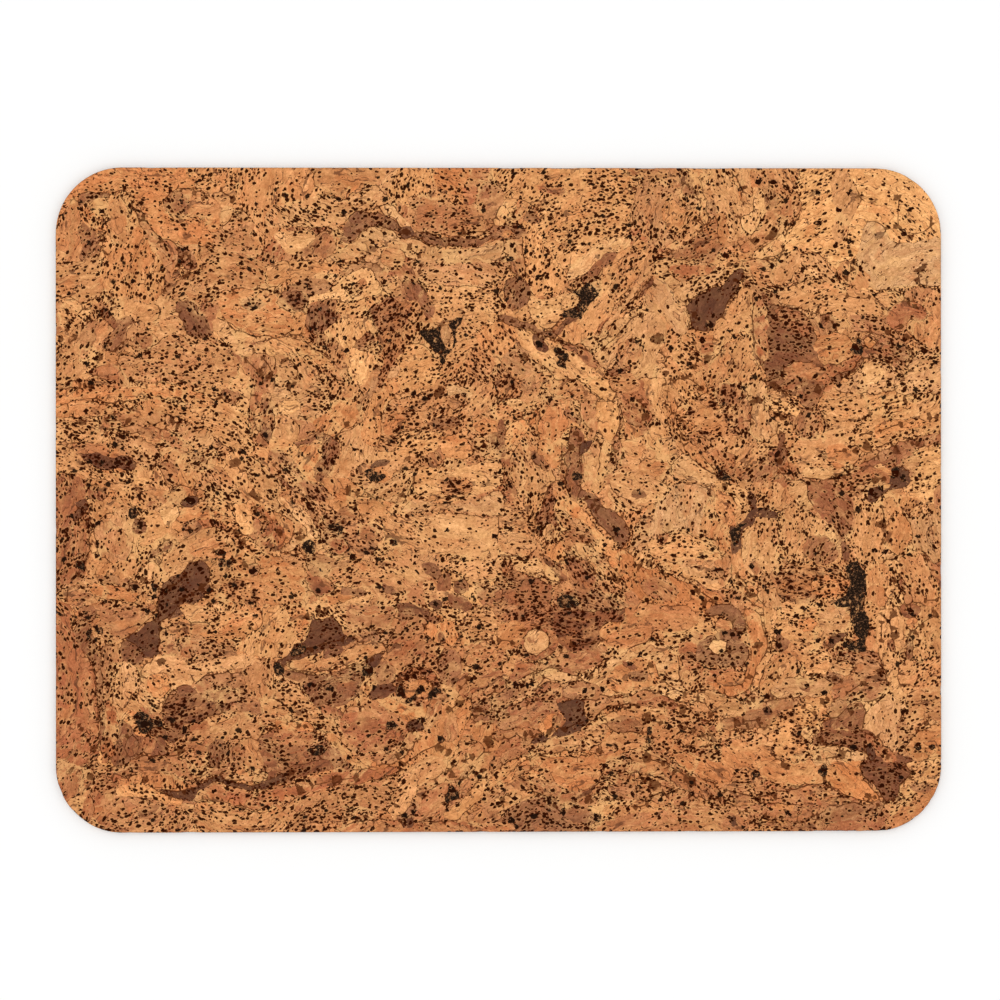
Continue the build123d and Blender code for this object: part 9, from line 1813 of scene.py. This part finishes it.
def bark():
    M = Mat("marbled_cork")
    P = M.mm()
    gu, gv, gs = M.sep(M.attr("gro").outputs["Vector"])
    dens, eat, rnd = M.sep(M.attr("prm").outputs["Vector"])
    dist = M.attr("dist").outputs["Fac"]
    half = (0.5, 0.5, 0.5)
    warp = M.vmath("SUBTRACT", M.noise(P, 0.16, 3.0, 0.55, colour=True), half)
    wx, wy, wz = M.sep(warp)
    u = M.math("ADD", gu, M.math("MULTIPLY", wx, 7.0))
    v = M.math("ADD", gv, M.math("MULTIPLY", wy, 7.0))

    pu = M.math("ADD", gu, M.math("MULTIPLY", wx, 2.0))
    pv = M.math("ADD", gv, M.math("MULTIPLY", wy, 2.0))

    def tint(c, x, lo, hi, spans, fac=1.0):
        """Multiplies the colour by a ramp of x, with its own span for red, green and blue."""
        return M.mix(fac, c, M.xyz(*[M.step(x, lo, hi, o) for o in spans]), "MULTIPLY")

    def layers(height, seed):
        """Terraces of a height: the level, the place within it, and three random numbers for it."""
        lev = M.math("FLOOR", height)
        wn = M.new("ShaderNodeTexWhiteNoise", noise_dimensions="2D")
        M.put(wn.inputs["Vector"], M.xyz(M.math("ADD", lev, seed), gs, 0.0))
        return lev, M.math("SUBTRACT", height, lev), M.sep(wn.outputs["Color"])

    # growth bands and fine fibre along the flake, patches across it
    band = M.noise(M.xyz(M.math("MULTIPLY", u, 0.035), M.math("MULTIPLY", v, 0.30), gs), 1.0, 3.0, 0.55)
    fibre = M.noise(M.xyz(M.math("MULTIPLY", u, 0.17), M.math("MULTIPLY", v, 1.3), gs), 1.0, 4.0, 0.66)
    mott = M.noise(P, 0.10, 5.0, 0.62, 0.5)
    mott2 = M.noise(M.vmath("ADD", P, (37.0, 11.0, 5.0)), 0.40, 5.0, 0.66, 0.4)
    fine = M.noise(P, 1.15, 4.0, 0.75)
    run = M.noise(P, 0.11, 3.0, 0.6)
    run2 = M.noise(M.vmath("ADD", P, (5.0, 71.0, 9.0)), 0.16, 3.0, 0.6)
    jit = M.noise(P, 1.3, 3.0, 0.65)

    # thin layers of growth, drawn out along the flake, and rings that follow the flake's own edge
    ter = M.noise(M.xyz(M.math("MULTIPLY", u, 0.035), M.math("MULTIPLY", v, 0.13), M.math("ADD", gs, 3.3)), 1.0, 1.0, 0.4)
    lev, part, (t1, t2, t3) = layers(M.math("MULTIPLY", ter, 14.0), 0.0)
    ter_line = M.math("MULTIPLY", M.step(part, 0.13, 0.06), M.step(run2, 0.44, 0.52))
    ring = M.math("ADD", dist, M.math("MULTIPLY", M.math("SUBTRACT", M.noise(P, 0.10, 1.0, 0.4), 0.5), 9.0))
    ring = M.math("DIVIDE", ring, M.math("ADD", 1.3, M.math("MULTIPLY", rnd, 1.5)))
    lev2, part2, (s1, s2, s3) = layers(ring, 40.0)
    own = M.math("FRACT", M.math("MULTIPLY", gs, 0.1357))
    ring_line = M.math("MULTIPLY", M.step(part2, 0.18, 0.08), M.step(M.math("ADD", run, M.math("MULTIPLY", own, 0.16)), 0.57, 0.63))
    ring_line = M.math("MULTIPLY", ring_line, M.step(dist, 0.6, 1.1))

    # colour of the flake, breaking up into its neighbours' along the edge where the bark is soft
    near = M.attr("near").outputs["Color"]
    base = M.attr("bark").outputs["Color"]
    crumble = M.step(M.noise(P, 0.85, 3.0, 0.6), 0.44, 0.54, (0.15, 1.25))
    fade = M.math("MULTIPLY", M.attr("fade").outputs["Fac"], crumble, clamp=True)
    c = M.mix(fade, base, near)
    # dark bark takes less of the pale tints
    bright = M.step(M.sep(c)[0], 0.10, 0.42, (0.12, 1.0))

    def pale_mix(f, c, tone):
        return M.mix(M.math("MULTIPLY", f, bright), c, tone)

    # dark bark is eaten away to the paler bark round it in ragged crumbs
    rag0 = M.noise(M.vmath("ADD", P, (3.0, 7.0, 1.0)), 0.60, 4.0, 0.70, 0.3)
    deep = M.math("MULTIPLY", M.math("MINIMUM", dist, 3.5), 0.05)
    bar = M.math("SUBTRACT", 0.70, M.math("MULTIPLY", eat, 0.19))
    hole = M.step(M.math("SUBTRACT", M.math("ADD", rag0, 0.07), deep), bar, M.math("ADD", bar, 0.03))
    pale = M.mix(0.5, near, srgb(206, 142, 90))
    c = M.mix(M.math("MULTIPLY", hole, 0.92), c, pale)
    c = pale_mix(M.math("MULTIPLY", M.step(t1, 0.50, 1.0), 0.34), c, srgb(246, 186, 122))
    c = pale_mix(M.math("MULTIPLY", M.step(t2, 0.60, 1.0), 0.28), c, srgb(192, 108, 56))
    c = pale_mix(M.math("MULTIPLY", M.step(s1, 0.55, 1.0), 0.24), c, srgb(246, 184, 118))
    c = pale_mix(M.math("MULTIPLY", M.step(s2, 0.60, 1.0), 0.26), c, srgb(186, 112, 64))
    c = pale_mix(M.step(mott, 0.52, 0.68, (0.0, 0.34)), c, srgb(210, 122, 64))
    c = pale_mix(M.step(mott, 0.48, 0.30, (0.0, 0.32)), c, srgb(244, 186, 120))
    c = tint(c, band, 0.25, 0.75, ((0.87, 1.13), (0.84, 1.15), (0.79, 1.18)))
    c = tint(c, fibre, 0.25, 0.75, ((0.82, 1.16), (0.79, 1.18), (0.73, 1.22)))
    c = tint(c, mott2, 0.28, 0.72, ((0.84, 1.13), (0.80, 1.15), (0.74, 1.18)))
    c = tint(c, fine, 0.26, 0.74, ((0.78, 1.22), (0.75, 1.24), (0.68, 1.30)))

    # a pale torn rim inside some stretches of the flake edges
    torn = M.math("ADD", dist, M.math("MULTIPLY", M.math("SUBTRACT", M.noise(P, 0.9, 3.0, 0.65), 0.5), 2.4))
    torn = M.math("MULTIPLY", M.step(torn, 1.25, 0.75), M.step(M.noise(M.vmath("ADD", P, (91.0, 3.0, 5.0)), 0.07, 2.0, 0.5), 0.54, 0.60))
    lum = M.sep(c)[0]
    torn = M.math("MULTIPLY", torn, M.step(lum, 0.22, 0.45))
    c = M.mix(M.math("MULTIPLY", torn, 0.42), c, srgb(245, 190, 122))

    # contours of a long, flat noise: hair-thin growth lines
    n1 = M.noise(M.xyz(M.math("MULTIPLY", u, 0.028), M.math("MULTIPLY", v, 0.21), M.math("ADD", gs, 6.1)), 1.0, 1.0, 0.4)
    ln1 = M.step(M.math("ABSOLUTE", M.math("SUBTRACT", n1, 0.5)), 0.016, 0.006)
    ln1 = M.math("MULTIPLY", ln1, M.step(mott, 0.44, 0.54))
    # cracks inside the flakes
    vc = M.voronoi(M.vmath("ADD", P, M.vmath("SCALE", warp, scale=18.0)), 0.062, "DISTANCE_TO_EDGE", dims="2D")
    crk = M.step(vc.outputs["Distance"], 0.022, 0.009)
    crk = M.math("MULTIPLY", crk, M.step(mott2, 0.52, 0.58))

    # edge lines of the flakes, broken along their run and of varying width
    lip = M.attr("lip").outputs["Fac"]
    thr = M.fmix(M.step(run2, 0.38, 0.50), 0.62, 0.28)
    line = M.step(M.math("ADD", lip, M.math("MULTIPLY", M.math("SUBTRACT", jit, 0.5), 0.55)), thr, M.math("ADD", thr, 0.09))
    line = M.math("MULTIPLY", line, M.step(mott2, 0.32, 0.52, (0.7, 1.0)))

    # pores: gathered in clumps and along flake edges, drawn out along the growth
    clump = M.step(M.noise(P, 0.11, 4.0, 0.65), 0.38, 0.62, (0.20, 1.5))
    clump = M.math("ADD", clump, M.math("MULTIPLY", M.step(dist, 2.2, 0.6), M.step(run, 0.48, 0.58, (0.0, 1.1))))
    rag = M.math("SUBTRACT", M.noise(P, 1.7, 3.0, 0.68), 0.5)

    dens2 = M.math("ADD", dens, M.math("MULTIPLY", M.math("SUBTRACT", 1.0, bright), 0.14))

    def pores(cell, stretch, tmin, tmax, amount, seed, ragged, edge_w, floor_=0.0):
        vec = M.xyz(M.math("DIVIDE", pu, cell * stretch), M.math("DIVIDE", pv, cell), 0.0)
        vec = M.vmath("ADD", vec, M.xyz(gs, M.math("MULTIPLY", gs, 0.37), 0.0))
        vec = M.vmath("ADD", vec, (seed, seed * 0.7, 0.0))
        vo = M.voronoi(vec, 1.0, dims="2D")
        r1, r2, r3 = M.sep(vo.outputs["Color"])
        have = M.math("LESS_THAN", r1, M.math("MULTIPLY", M.math("MULTIPLY", M.math("ADD", dens2, floor_), clump), amount))
        t = M.math("ADD", tmin, M.math("MULTIPLY", r2, tmax - tmin))
        dd = M.math("ADD", vo.outputs["Distance"], M.math("MULTIPLY", rag, ragged))
        m = M.step(dd, M.math("ADD", t, edge_w), M.math("SUBTRACT", t, edge_w))
        glow = M.step(dd, M.math("ADD", t, 0.34), M.math("ADD", t, 0.05))
        return M.math("MULTIPLY", m, have), M.math("MULTIPLY", glow, have)

    tiny, _ = pores(1.15, 1.5, 0.20, 0.36, 0.48, 33.1, 0.26, 0.02, 0.09)
    small, s_glow = pores(1.9, 1.5, 0.18, 0.35, 0.94, 3.1, 0.26, 0.018, 0.09)
    medium, m_glow = pores(3.5, 1.4, 0.14, 0.24, 0.68, 9.7, 0.22, 0.014, 0.09)
    large, l_glow = pores(8.5, 1.2, 0.07, 0.15, 0.45, 21.3, 0.22, 0.02, 0.05)
    pit = M.attr("pit").outputs["Fac"]
    pitm = M.step(M.math("ADD", pit, M.math("MULTIPLY", rag, 0.6)), 0.04, 0.26)
    pitm = M.math("MULTIPLY", pitm, M.math("SUBTRACT", 1.0, hole))

    glow = M.math("MAXIMUM", s_glow, m_glow)
    dusk = M.step(dens, 0.62, 0.95)
    c = pale_mix(M.math("MULTIPLY", glow, M.math("SUBTRACT", 0.30, M.math("MULTIPLY", dusk, 0.30))), c, srgb(236, 174, 108))
    c = M.mix(M.math("MULTIPLY", M.math("MAXIMUM", m_glow, l_glow), M.math("MULTIPLY", dusk, 0.50)), c, srgb(112, 66, 42))
    c = M.mix(M.math("MULTIPLY", ter_line, 0.72), c, srgb(92, 44, 16))
    c = M.mix(M.math("MULTIPLY", ring_line, 0.66), c, srgb(98, 50, 22))
    c = M.mix(M.math("MULTIPLY", ln1, 0.72), c, srgb(84, 42, 18))
    c = M.mix(M.math("MULTIPLY", crk, 0.85), c, srgb(76, 36, 14))
    c = M.mix(M.math("MULTIPLY", line, 0.86), c, srgb(76, 32, 9))
    c = M.mix(M.math("MULTIPLY", tiny, 0.92), c, srgb(78, 26, 4))
    c = M.mix(M.math("MULTIPLY", small, 0.98), c, srgb(52, 13, 1))
    c = M.mix(M.math("MULTIPLY", medium, 0.98), c, srgb(42, 10, 1))
    c = M.mix(M.math("MULTIPLY", large, 0.97), c, srgb(28, 14, 8))
    char = M.mix(M.step(fine, 0.52, 0.64), srgb(30, 20, 14), srgb(112, 78, 54))
    pit_tone = M.mix(M.step(eat, 0.60, 0.64), M.mix(rnd, srgb(50, 13, 1), srgb(30, 16, 9)), char)
    c = M.mix(M.math("MULTIPLY", pitm, 0.96), c, pit_tone)

    # sanded arris and cut side: painted shade, darkening both toward a dull brown where the edge turns from the top
    # light
    rim = M.attr("rim").outputs["Fac"]
    c = M.mix(M.step(rim, 0.5, 1.0, (0.0, 0.42)), c, srgb(112, 74, 46))
    # painted shade in the chipped dents of the cut side
    c = M.mix(M.math("MULTIPLY", M.attr("nick").outputs["Fac"], 0.8), c, srgb(62, 36, 22))

    dark = M.math("MAXIMUM", M.math("MAXIMUM", small, medium), M.math("MAXIMUM", large, pitm))
    rough = M.math("ADD", M.step(fine, 0.3, 0.7, (0.50, 0.64)), M.math("MULTIPLY", dark, 0.22))
    h = M.math("ADD", M.math("MULTIPLY", fibre, 0.35), M.math("MULTIPLY", fine, 0.45))
    h = M.math("ADD", h, M.math("MULTIPLY", M.math("ADD", lev, lev2), 0.14))
    h = M.math("SUBTRACT", h, M.math("MULTIPLY", dark, 0.9))
    h = M.math("SUBTRACT", h, M.math("MULTIPLY", M.math("MAXIMUM", line, crk), 0.7))
    nrm = M.bump(h, 0.6, 0.00016)
    gloss = M.math("SUBTRACT", 0.13, M.math("MULTIPLY", M.math("MAXIMUM", dark, M.math("MAXIMUM", line, tiny)), 0.12))
    return M.out(c, rough, nrm, spec=gloss, coat=0.0, coat_rough=0.45)


face.data.materials.append(bark())
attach(face, "root")
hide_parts("face_sheet")


# ---------------------------------------------------------------- granulated core and cork-rubber backing


def slab(name, z0, z1, inset, step, levels, depth, grain, corner):
    """A sheet with a torn, granular cut side: rings of points round the edge, left open above and below."""
    base = outline(inset, step)
    n = len(base)
    pts, fcs = [], []
    for k in range(levels + 1):
        t = k / levels
        zz = z0 + (z1 - z0) * t
        lip = corner if k in (0, levels) else 0.0
        for x, y in base:
            ox, oy = outward(x, y)
            g = noise.noise(Vector((x * grain, y * grain, zz * grain * 1.3 + 4.0)))
            g2 = noise.noise(Vector((x * grain * 2.7, y * grain * 2.7, zz * grain * 3.0 + 9.0)))
            d = depth * max(0.0, 0.45 + 0.9 * g + 0.35 * g2) + lip
            pts.append((x - ox * d, y - oy * d, zz))
    for k in range(levels):
        for i in range(n):
            j = (i + 1) % n
            fcs.append((k * n + i, k * n + j, (k + 1) * n + j, (k + 1) * n + i))
    return pts, fcs, n


def cap(pts, ring, zz, spacing, relief, seed, up):
    """Fills a ring of points with a jittered field of points, carrying a crumbly relief."""
    r2 = random.Random(seed)
    loop2 = [(pts[i][0], pts[i][1]) for i in ring]
    field, g = [], {}
    for x, y in loop2:
        claim(x, y, 0.01, g, 4.0)
    yy = -H / 2
    row = 0
    while yy < H / 2:
        xx = -W / 2 + (spacing / 2 if row % 2 else 0)
        while xx < W / 2:
            px, py = xx + r2.uniform(-0.3, 0.3) * spacing, yy + r2.uniform(-0.3, 0.3) * spacing
            if claim(px, py, spacing * 0.45, g, max(4.0, spacing)):
                field.append((px, py))
            xx += spacing
        yy += spacing * 0.87
        row += 1
    L = np.array(loop2)
    field = [p for p, k in zip(field, inside(L * (1 - 1.2 / 200), np.array(field))) if k]
    co2 = loop2 + field
    e2 = [(i, (i + 1) % len(loop2)) for i in range(len(loop2))]
    vo2, _, fo2, ov2, _, _ = geometry.delaunay_2d_cdt([Vector(c) for c in co2], e2, [], 1, 1e-4)
    back, extra = {}, []
    for i, o in enumerate(ov2):
        s = min(o) if len(o) else -1
        if 0 <= s < len(loop2):
            back[i] = ring[s]
        else:
            x, y = vo2[i]
            q = noise.noise(Vector((x * 0.5, y * 0.5, seed * 1.0))) + 0.5 * noise.noise(Vector((x * 1.3, y * 1.3, seed * 2.0)))
            back[i] = len(pts) + len(extra)
            extra.append((x, y, zz - up * relief * max(0.0, 0.5 + q)))
    pts += extra
    out = []
    for f in fo2:
        a, b, c = [back[i] for i in f[:3]]
        (ax, ay, _), (bx, by, _), (cx, cy, _) = pts[a], pts[b], pts[c]
        ccw = (bx - ax) * (cy - ay) - (by - ay) * (cx - ax) > 0
        out.append((a, b, c) if ccw == (up > 0) else (a, c, b))
    return out


def granules(name, colours, cell, tints, rough, bump_mm, binder):
    """Pressed crumbs: cells of several tones in a darker binder, pores between them."""
    M = Mat(name)
    P = M.mm()
    w = M.vmath("SCALE", M.vmath("SUBTRACT", M.noise(P, 0.9 / cell, 2.0, 0.5, colour=True), (0.5, 0.5, 0.5)), scale=cell * 0.7)
    Q = M.vmath("ADD", P, w)
    vo = M.voronoi(Q, 1.0 / cell)
    ve = M.voronoi(Q, 1.0 / cell, "DISTANCE_TO_EDGE")
    r1, r2, r3 = M.sep(vo.outputs["Color"])
    c = M.mix(M.step(r1, 0.15, 0.85), srgb(*colours[0]), srgb(*colours[1]))
    c = M.mix(M.math("GREATER_THAN", r2, 0.78), c, srgb(*colours[2]))
    c = M.mix(M.math("LESS_THAN", r3, tints), c, srgb(*colours[3]))
    grain = M.noise(P, 3.0 / cell, 4.0, 0.65)
    c = M.mix(1.0, c, M.xyz(*[M.step(grain, 0.25, 0.75, o) for o in ((0.84, 1.14), (0.82, 1.15), (0.80, 1.16))]), "MULTIPLY")
    gap_ = M.step(ve.outputs["Distance"], 0.07, 0.015)
    c = M.mix(M.math("MULTIPLY", gap_, 0.75), c, srgb(*binder))
    big = M.noise(P, 0.05, 2.0, 0.5)
    c = M.mix(M.step(big, 0.4, 0.7, (0.0, 0.14)), c, srgb(*binder))
    h = M.math("SUBTRACT", M.math("MULTIPLY", grain, 0.5), M.math("MULTIPLY", gap_, 0.9))
    rg = M.math("ADD", M.step(grain, 0.3, 0.7, (rough - 0.06, rough + 0.08)), M.math("MULTIPLY", gap_, 0.08))
    return M.out(c, rg, M.bump(h, 0.6, bump_mm * MM), spec=0.2)


c_lo, c_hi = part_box("core_sheet")
pts, fcs, n = slab("core", c_lo.z / MM, c_hi.z / MM, 0.06, 1.1, 5, 0.16, 1.15, 0.03)
fcs += cap(pts, list(range(5 * n, 6 * n)), c_hi.z / MM, 14.0, 0.0, 3, 1)
fcs += cap(pts, list(range(n)), c_lo.z / MM, 14.0, 0.0, 5, -1)
core = make_mesh("granulated_core", pts, fcs)
core.data.materials.append(
    granules("granulated_cork", [(176, 124, 78), (204, 152, 98), (120, 76, 46), (226, 178, 120)], 1.35, 0.16, 0.78, 0.25, (84, 52, 32))
)
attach(core, "root")
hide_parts("core_sheet")

b_lo, b_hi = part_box("backing_sheet")
pts, fcs, n = slab("back", b_lo.z / MM, b_hi.z / MM, 0.0, 1.3, 3, 0.07, 1.6, 0.0)
for i in range(n):
    x, y, zz = pts[i]
    ox, oy = outward(x, y)
    pts[i] = (x - ox * 0.18, y - oy * 0.18, zz)
fcs += cap(pts, list(range(3 * n, 4 * n)), b_hi.z / MM, 14.0, 0.0, 6, 1)
fcs += cap(pts, list(range(n)), b_lo.z / MM, 6.0, 0.05, 8, -1)
back = make_mesh("nonslip_backing", pts, fcs)
back.data.materials.append(
    granules("cork_rubber", [(52, 46, 42), (70, 60, 52), (34, 31, 30), (150, 104, 66)], 0.9, 0.20, 0.86, 0.18, (26, 24, 24))
)
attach(back, "root")
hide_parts("backing_sheet")

# the two glue lines keep their CAD bodies and get their own finish
G = Mat("amber_adhesive")
P = G.mm()
a1 = G.noise(P, 0.6, 3.0, 0.6)
a2 = G.noise(P, 4.0, 2.0, 0.6)
gc = G.mix(G.step(a1, 0.35, 0.65), srgb(150, 98, 54), srgb(184, 132, 80))
gc = G.mix(G.step(a2, 0.5, 0.72, (0.0, 0.5)), gc, srgb(96, 60, 36))
glue = G.out(gc, G.step(a2, 0.3, 0.7, (0.30, 0.52)), G.bump(G.math("ADD", a1, G.math("MULTIPLY", a2, 0.4)), 0.4, 0.00008), spec=0.45)
for nm in ("lower_adhesive_film", "upper_adhesive_film"):
    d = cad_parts[nm].data
    d.materials.clear()
    d.materials.append(glue)

# ---------------------------------------------------------------- floor, light, camera
bpy.ops.mesh.primitive_plane_add(size=6.0, location=(0, 0, -0.0002))
floor = bpy.context.object
floor.name = "studio_floor"
S = Mat("studio_floor")
sp = S.mm()
sn = S.noise(sp, 0.004, 2.0, 0.5)
floor.data.materials.append(
    S.out(S.mix(sn, srgb(252, 252, 252), srgb(250, 250, 249)), 0.9, S.bump(S.noise(sp, 0.8, 2.0), 0.05, 0.0002), spec=0.1)
)

world = bpy.data.worlds.new("studio")
world.use_nodes = True
bg = world.node_tree.nodes["Background"]
bg.inputs[0].default_value = (1.0, 1.0, 1.0, 1.0)
bg.inputs[1].default_value = 0.77
# the studio sweep behind the floor looks as pale as the floor, while the light it gives stays softer
wt = world.node_tree
sweep = wt.nodes.new("ShaderNodeBackground")
sweep.inputs[0].default_value = (0.985, 0.985, 0.985, 1.0)
rays = wt.nodes.new("ShaderNodeLightPath")
pick = wt.nodes.new("ShaderNodeMixShader")
wt.links.new(rays.outputs["Is Camera Ray"], pick.inputs[0])
wt.links.new(bg.outputs[0], pick.inputs[1])
wt.links.new(sweep.outputs[0], pick.inputs[2])
wt.links.new(pick.outputs[0], wt.nodes["World Output"].inputs["Surface"])
bpy.context.scene.world = world


def lamp(name, come_from, spread, strength):
    """A wide, far softbox: the same light all over the floor, with soft shadows."""
    L = bpy.data.lights.new(name, "SUN")
    L.angle = math.radians(spread)
    L.energy = strength
    o = bpy.data.objects.new(name, L)
    o.location = come_from
    o.rotation_mode = "QUATERNION"
    o.rotation_quaternion = (-Vector(come_from)).to_track_quat("-Z", "Y")
    bpy.context.scene.collection.objects.link(o)
    return o


lamp("key", (-0.35, 0.45, 2.6), 39.0, 0.719)
lamp("fill", (1.3, -0.9, 2.2), 38.0, 0.217)

scene = bpy.context.scene
scene.view_settings.view_transform = "Standard"
scene.view_settings.look = "None"
scene.view_settings.exposure = 0.0
scene.view_settings.gamma = 1.0

CAM_D = 1.20
yaw = math.radians(0.78)
aim = Vector((0.00025, -0.00005, TOP * MM))
cam_data = bpy.data.cameras.new("camera")
cam_data.sensor_width = 36.0
cam_data.lens = 36.0 * CAM_D / (W * MM * 1000 / 885.67)
cam_data.clip_start, cam_data.clip_end = 0.05, 20.0
cam = bpy.data.objects.new("camera", cam_data)
cam.rotation_mode = "XYZ"
cam.rotation_euler = (0.0, -yaw, math.radians(-0.03))
cam.location = aim + Vector((-math.sin(yaw) * CAM_D, 0.0, math.cos(yaw) * CAM_D))
scene.collection.objects.link(cam)
scene.camera = cam

bpy.context.view_layer.update()
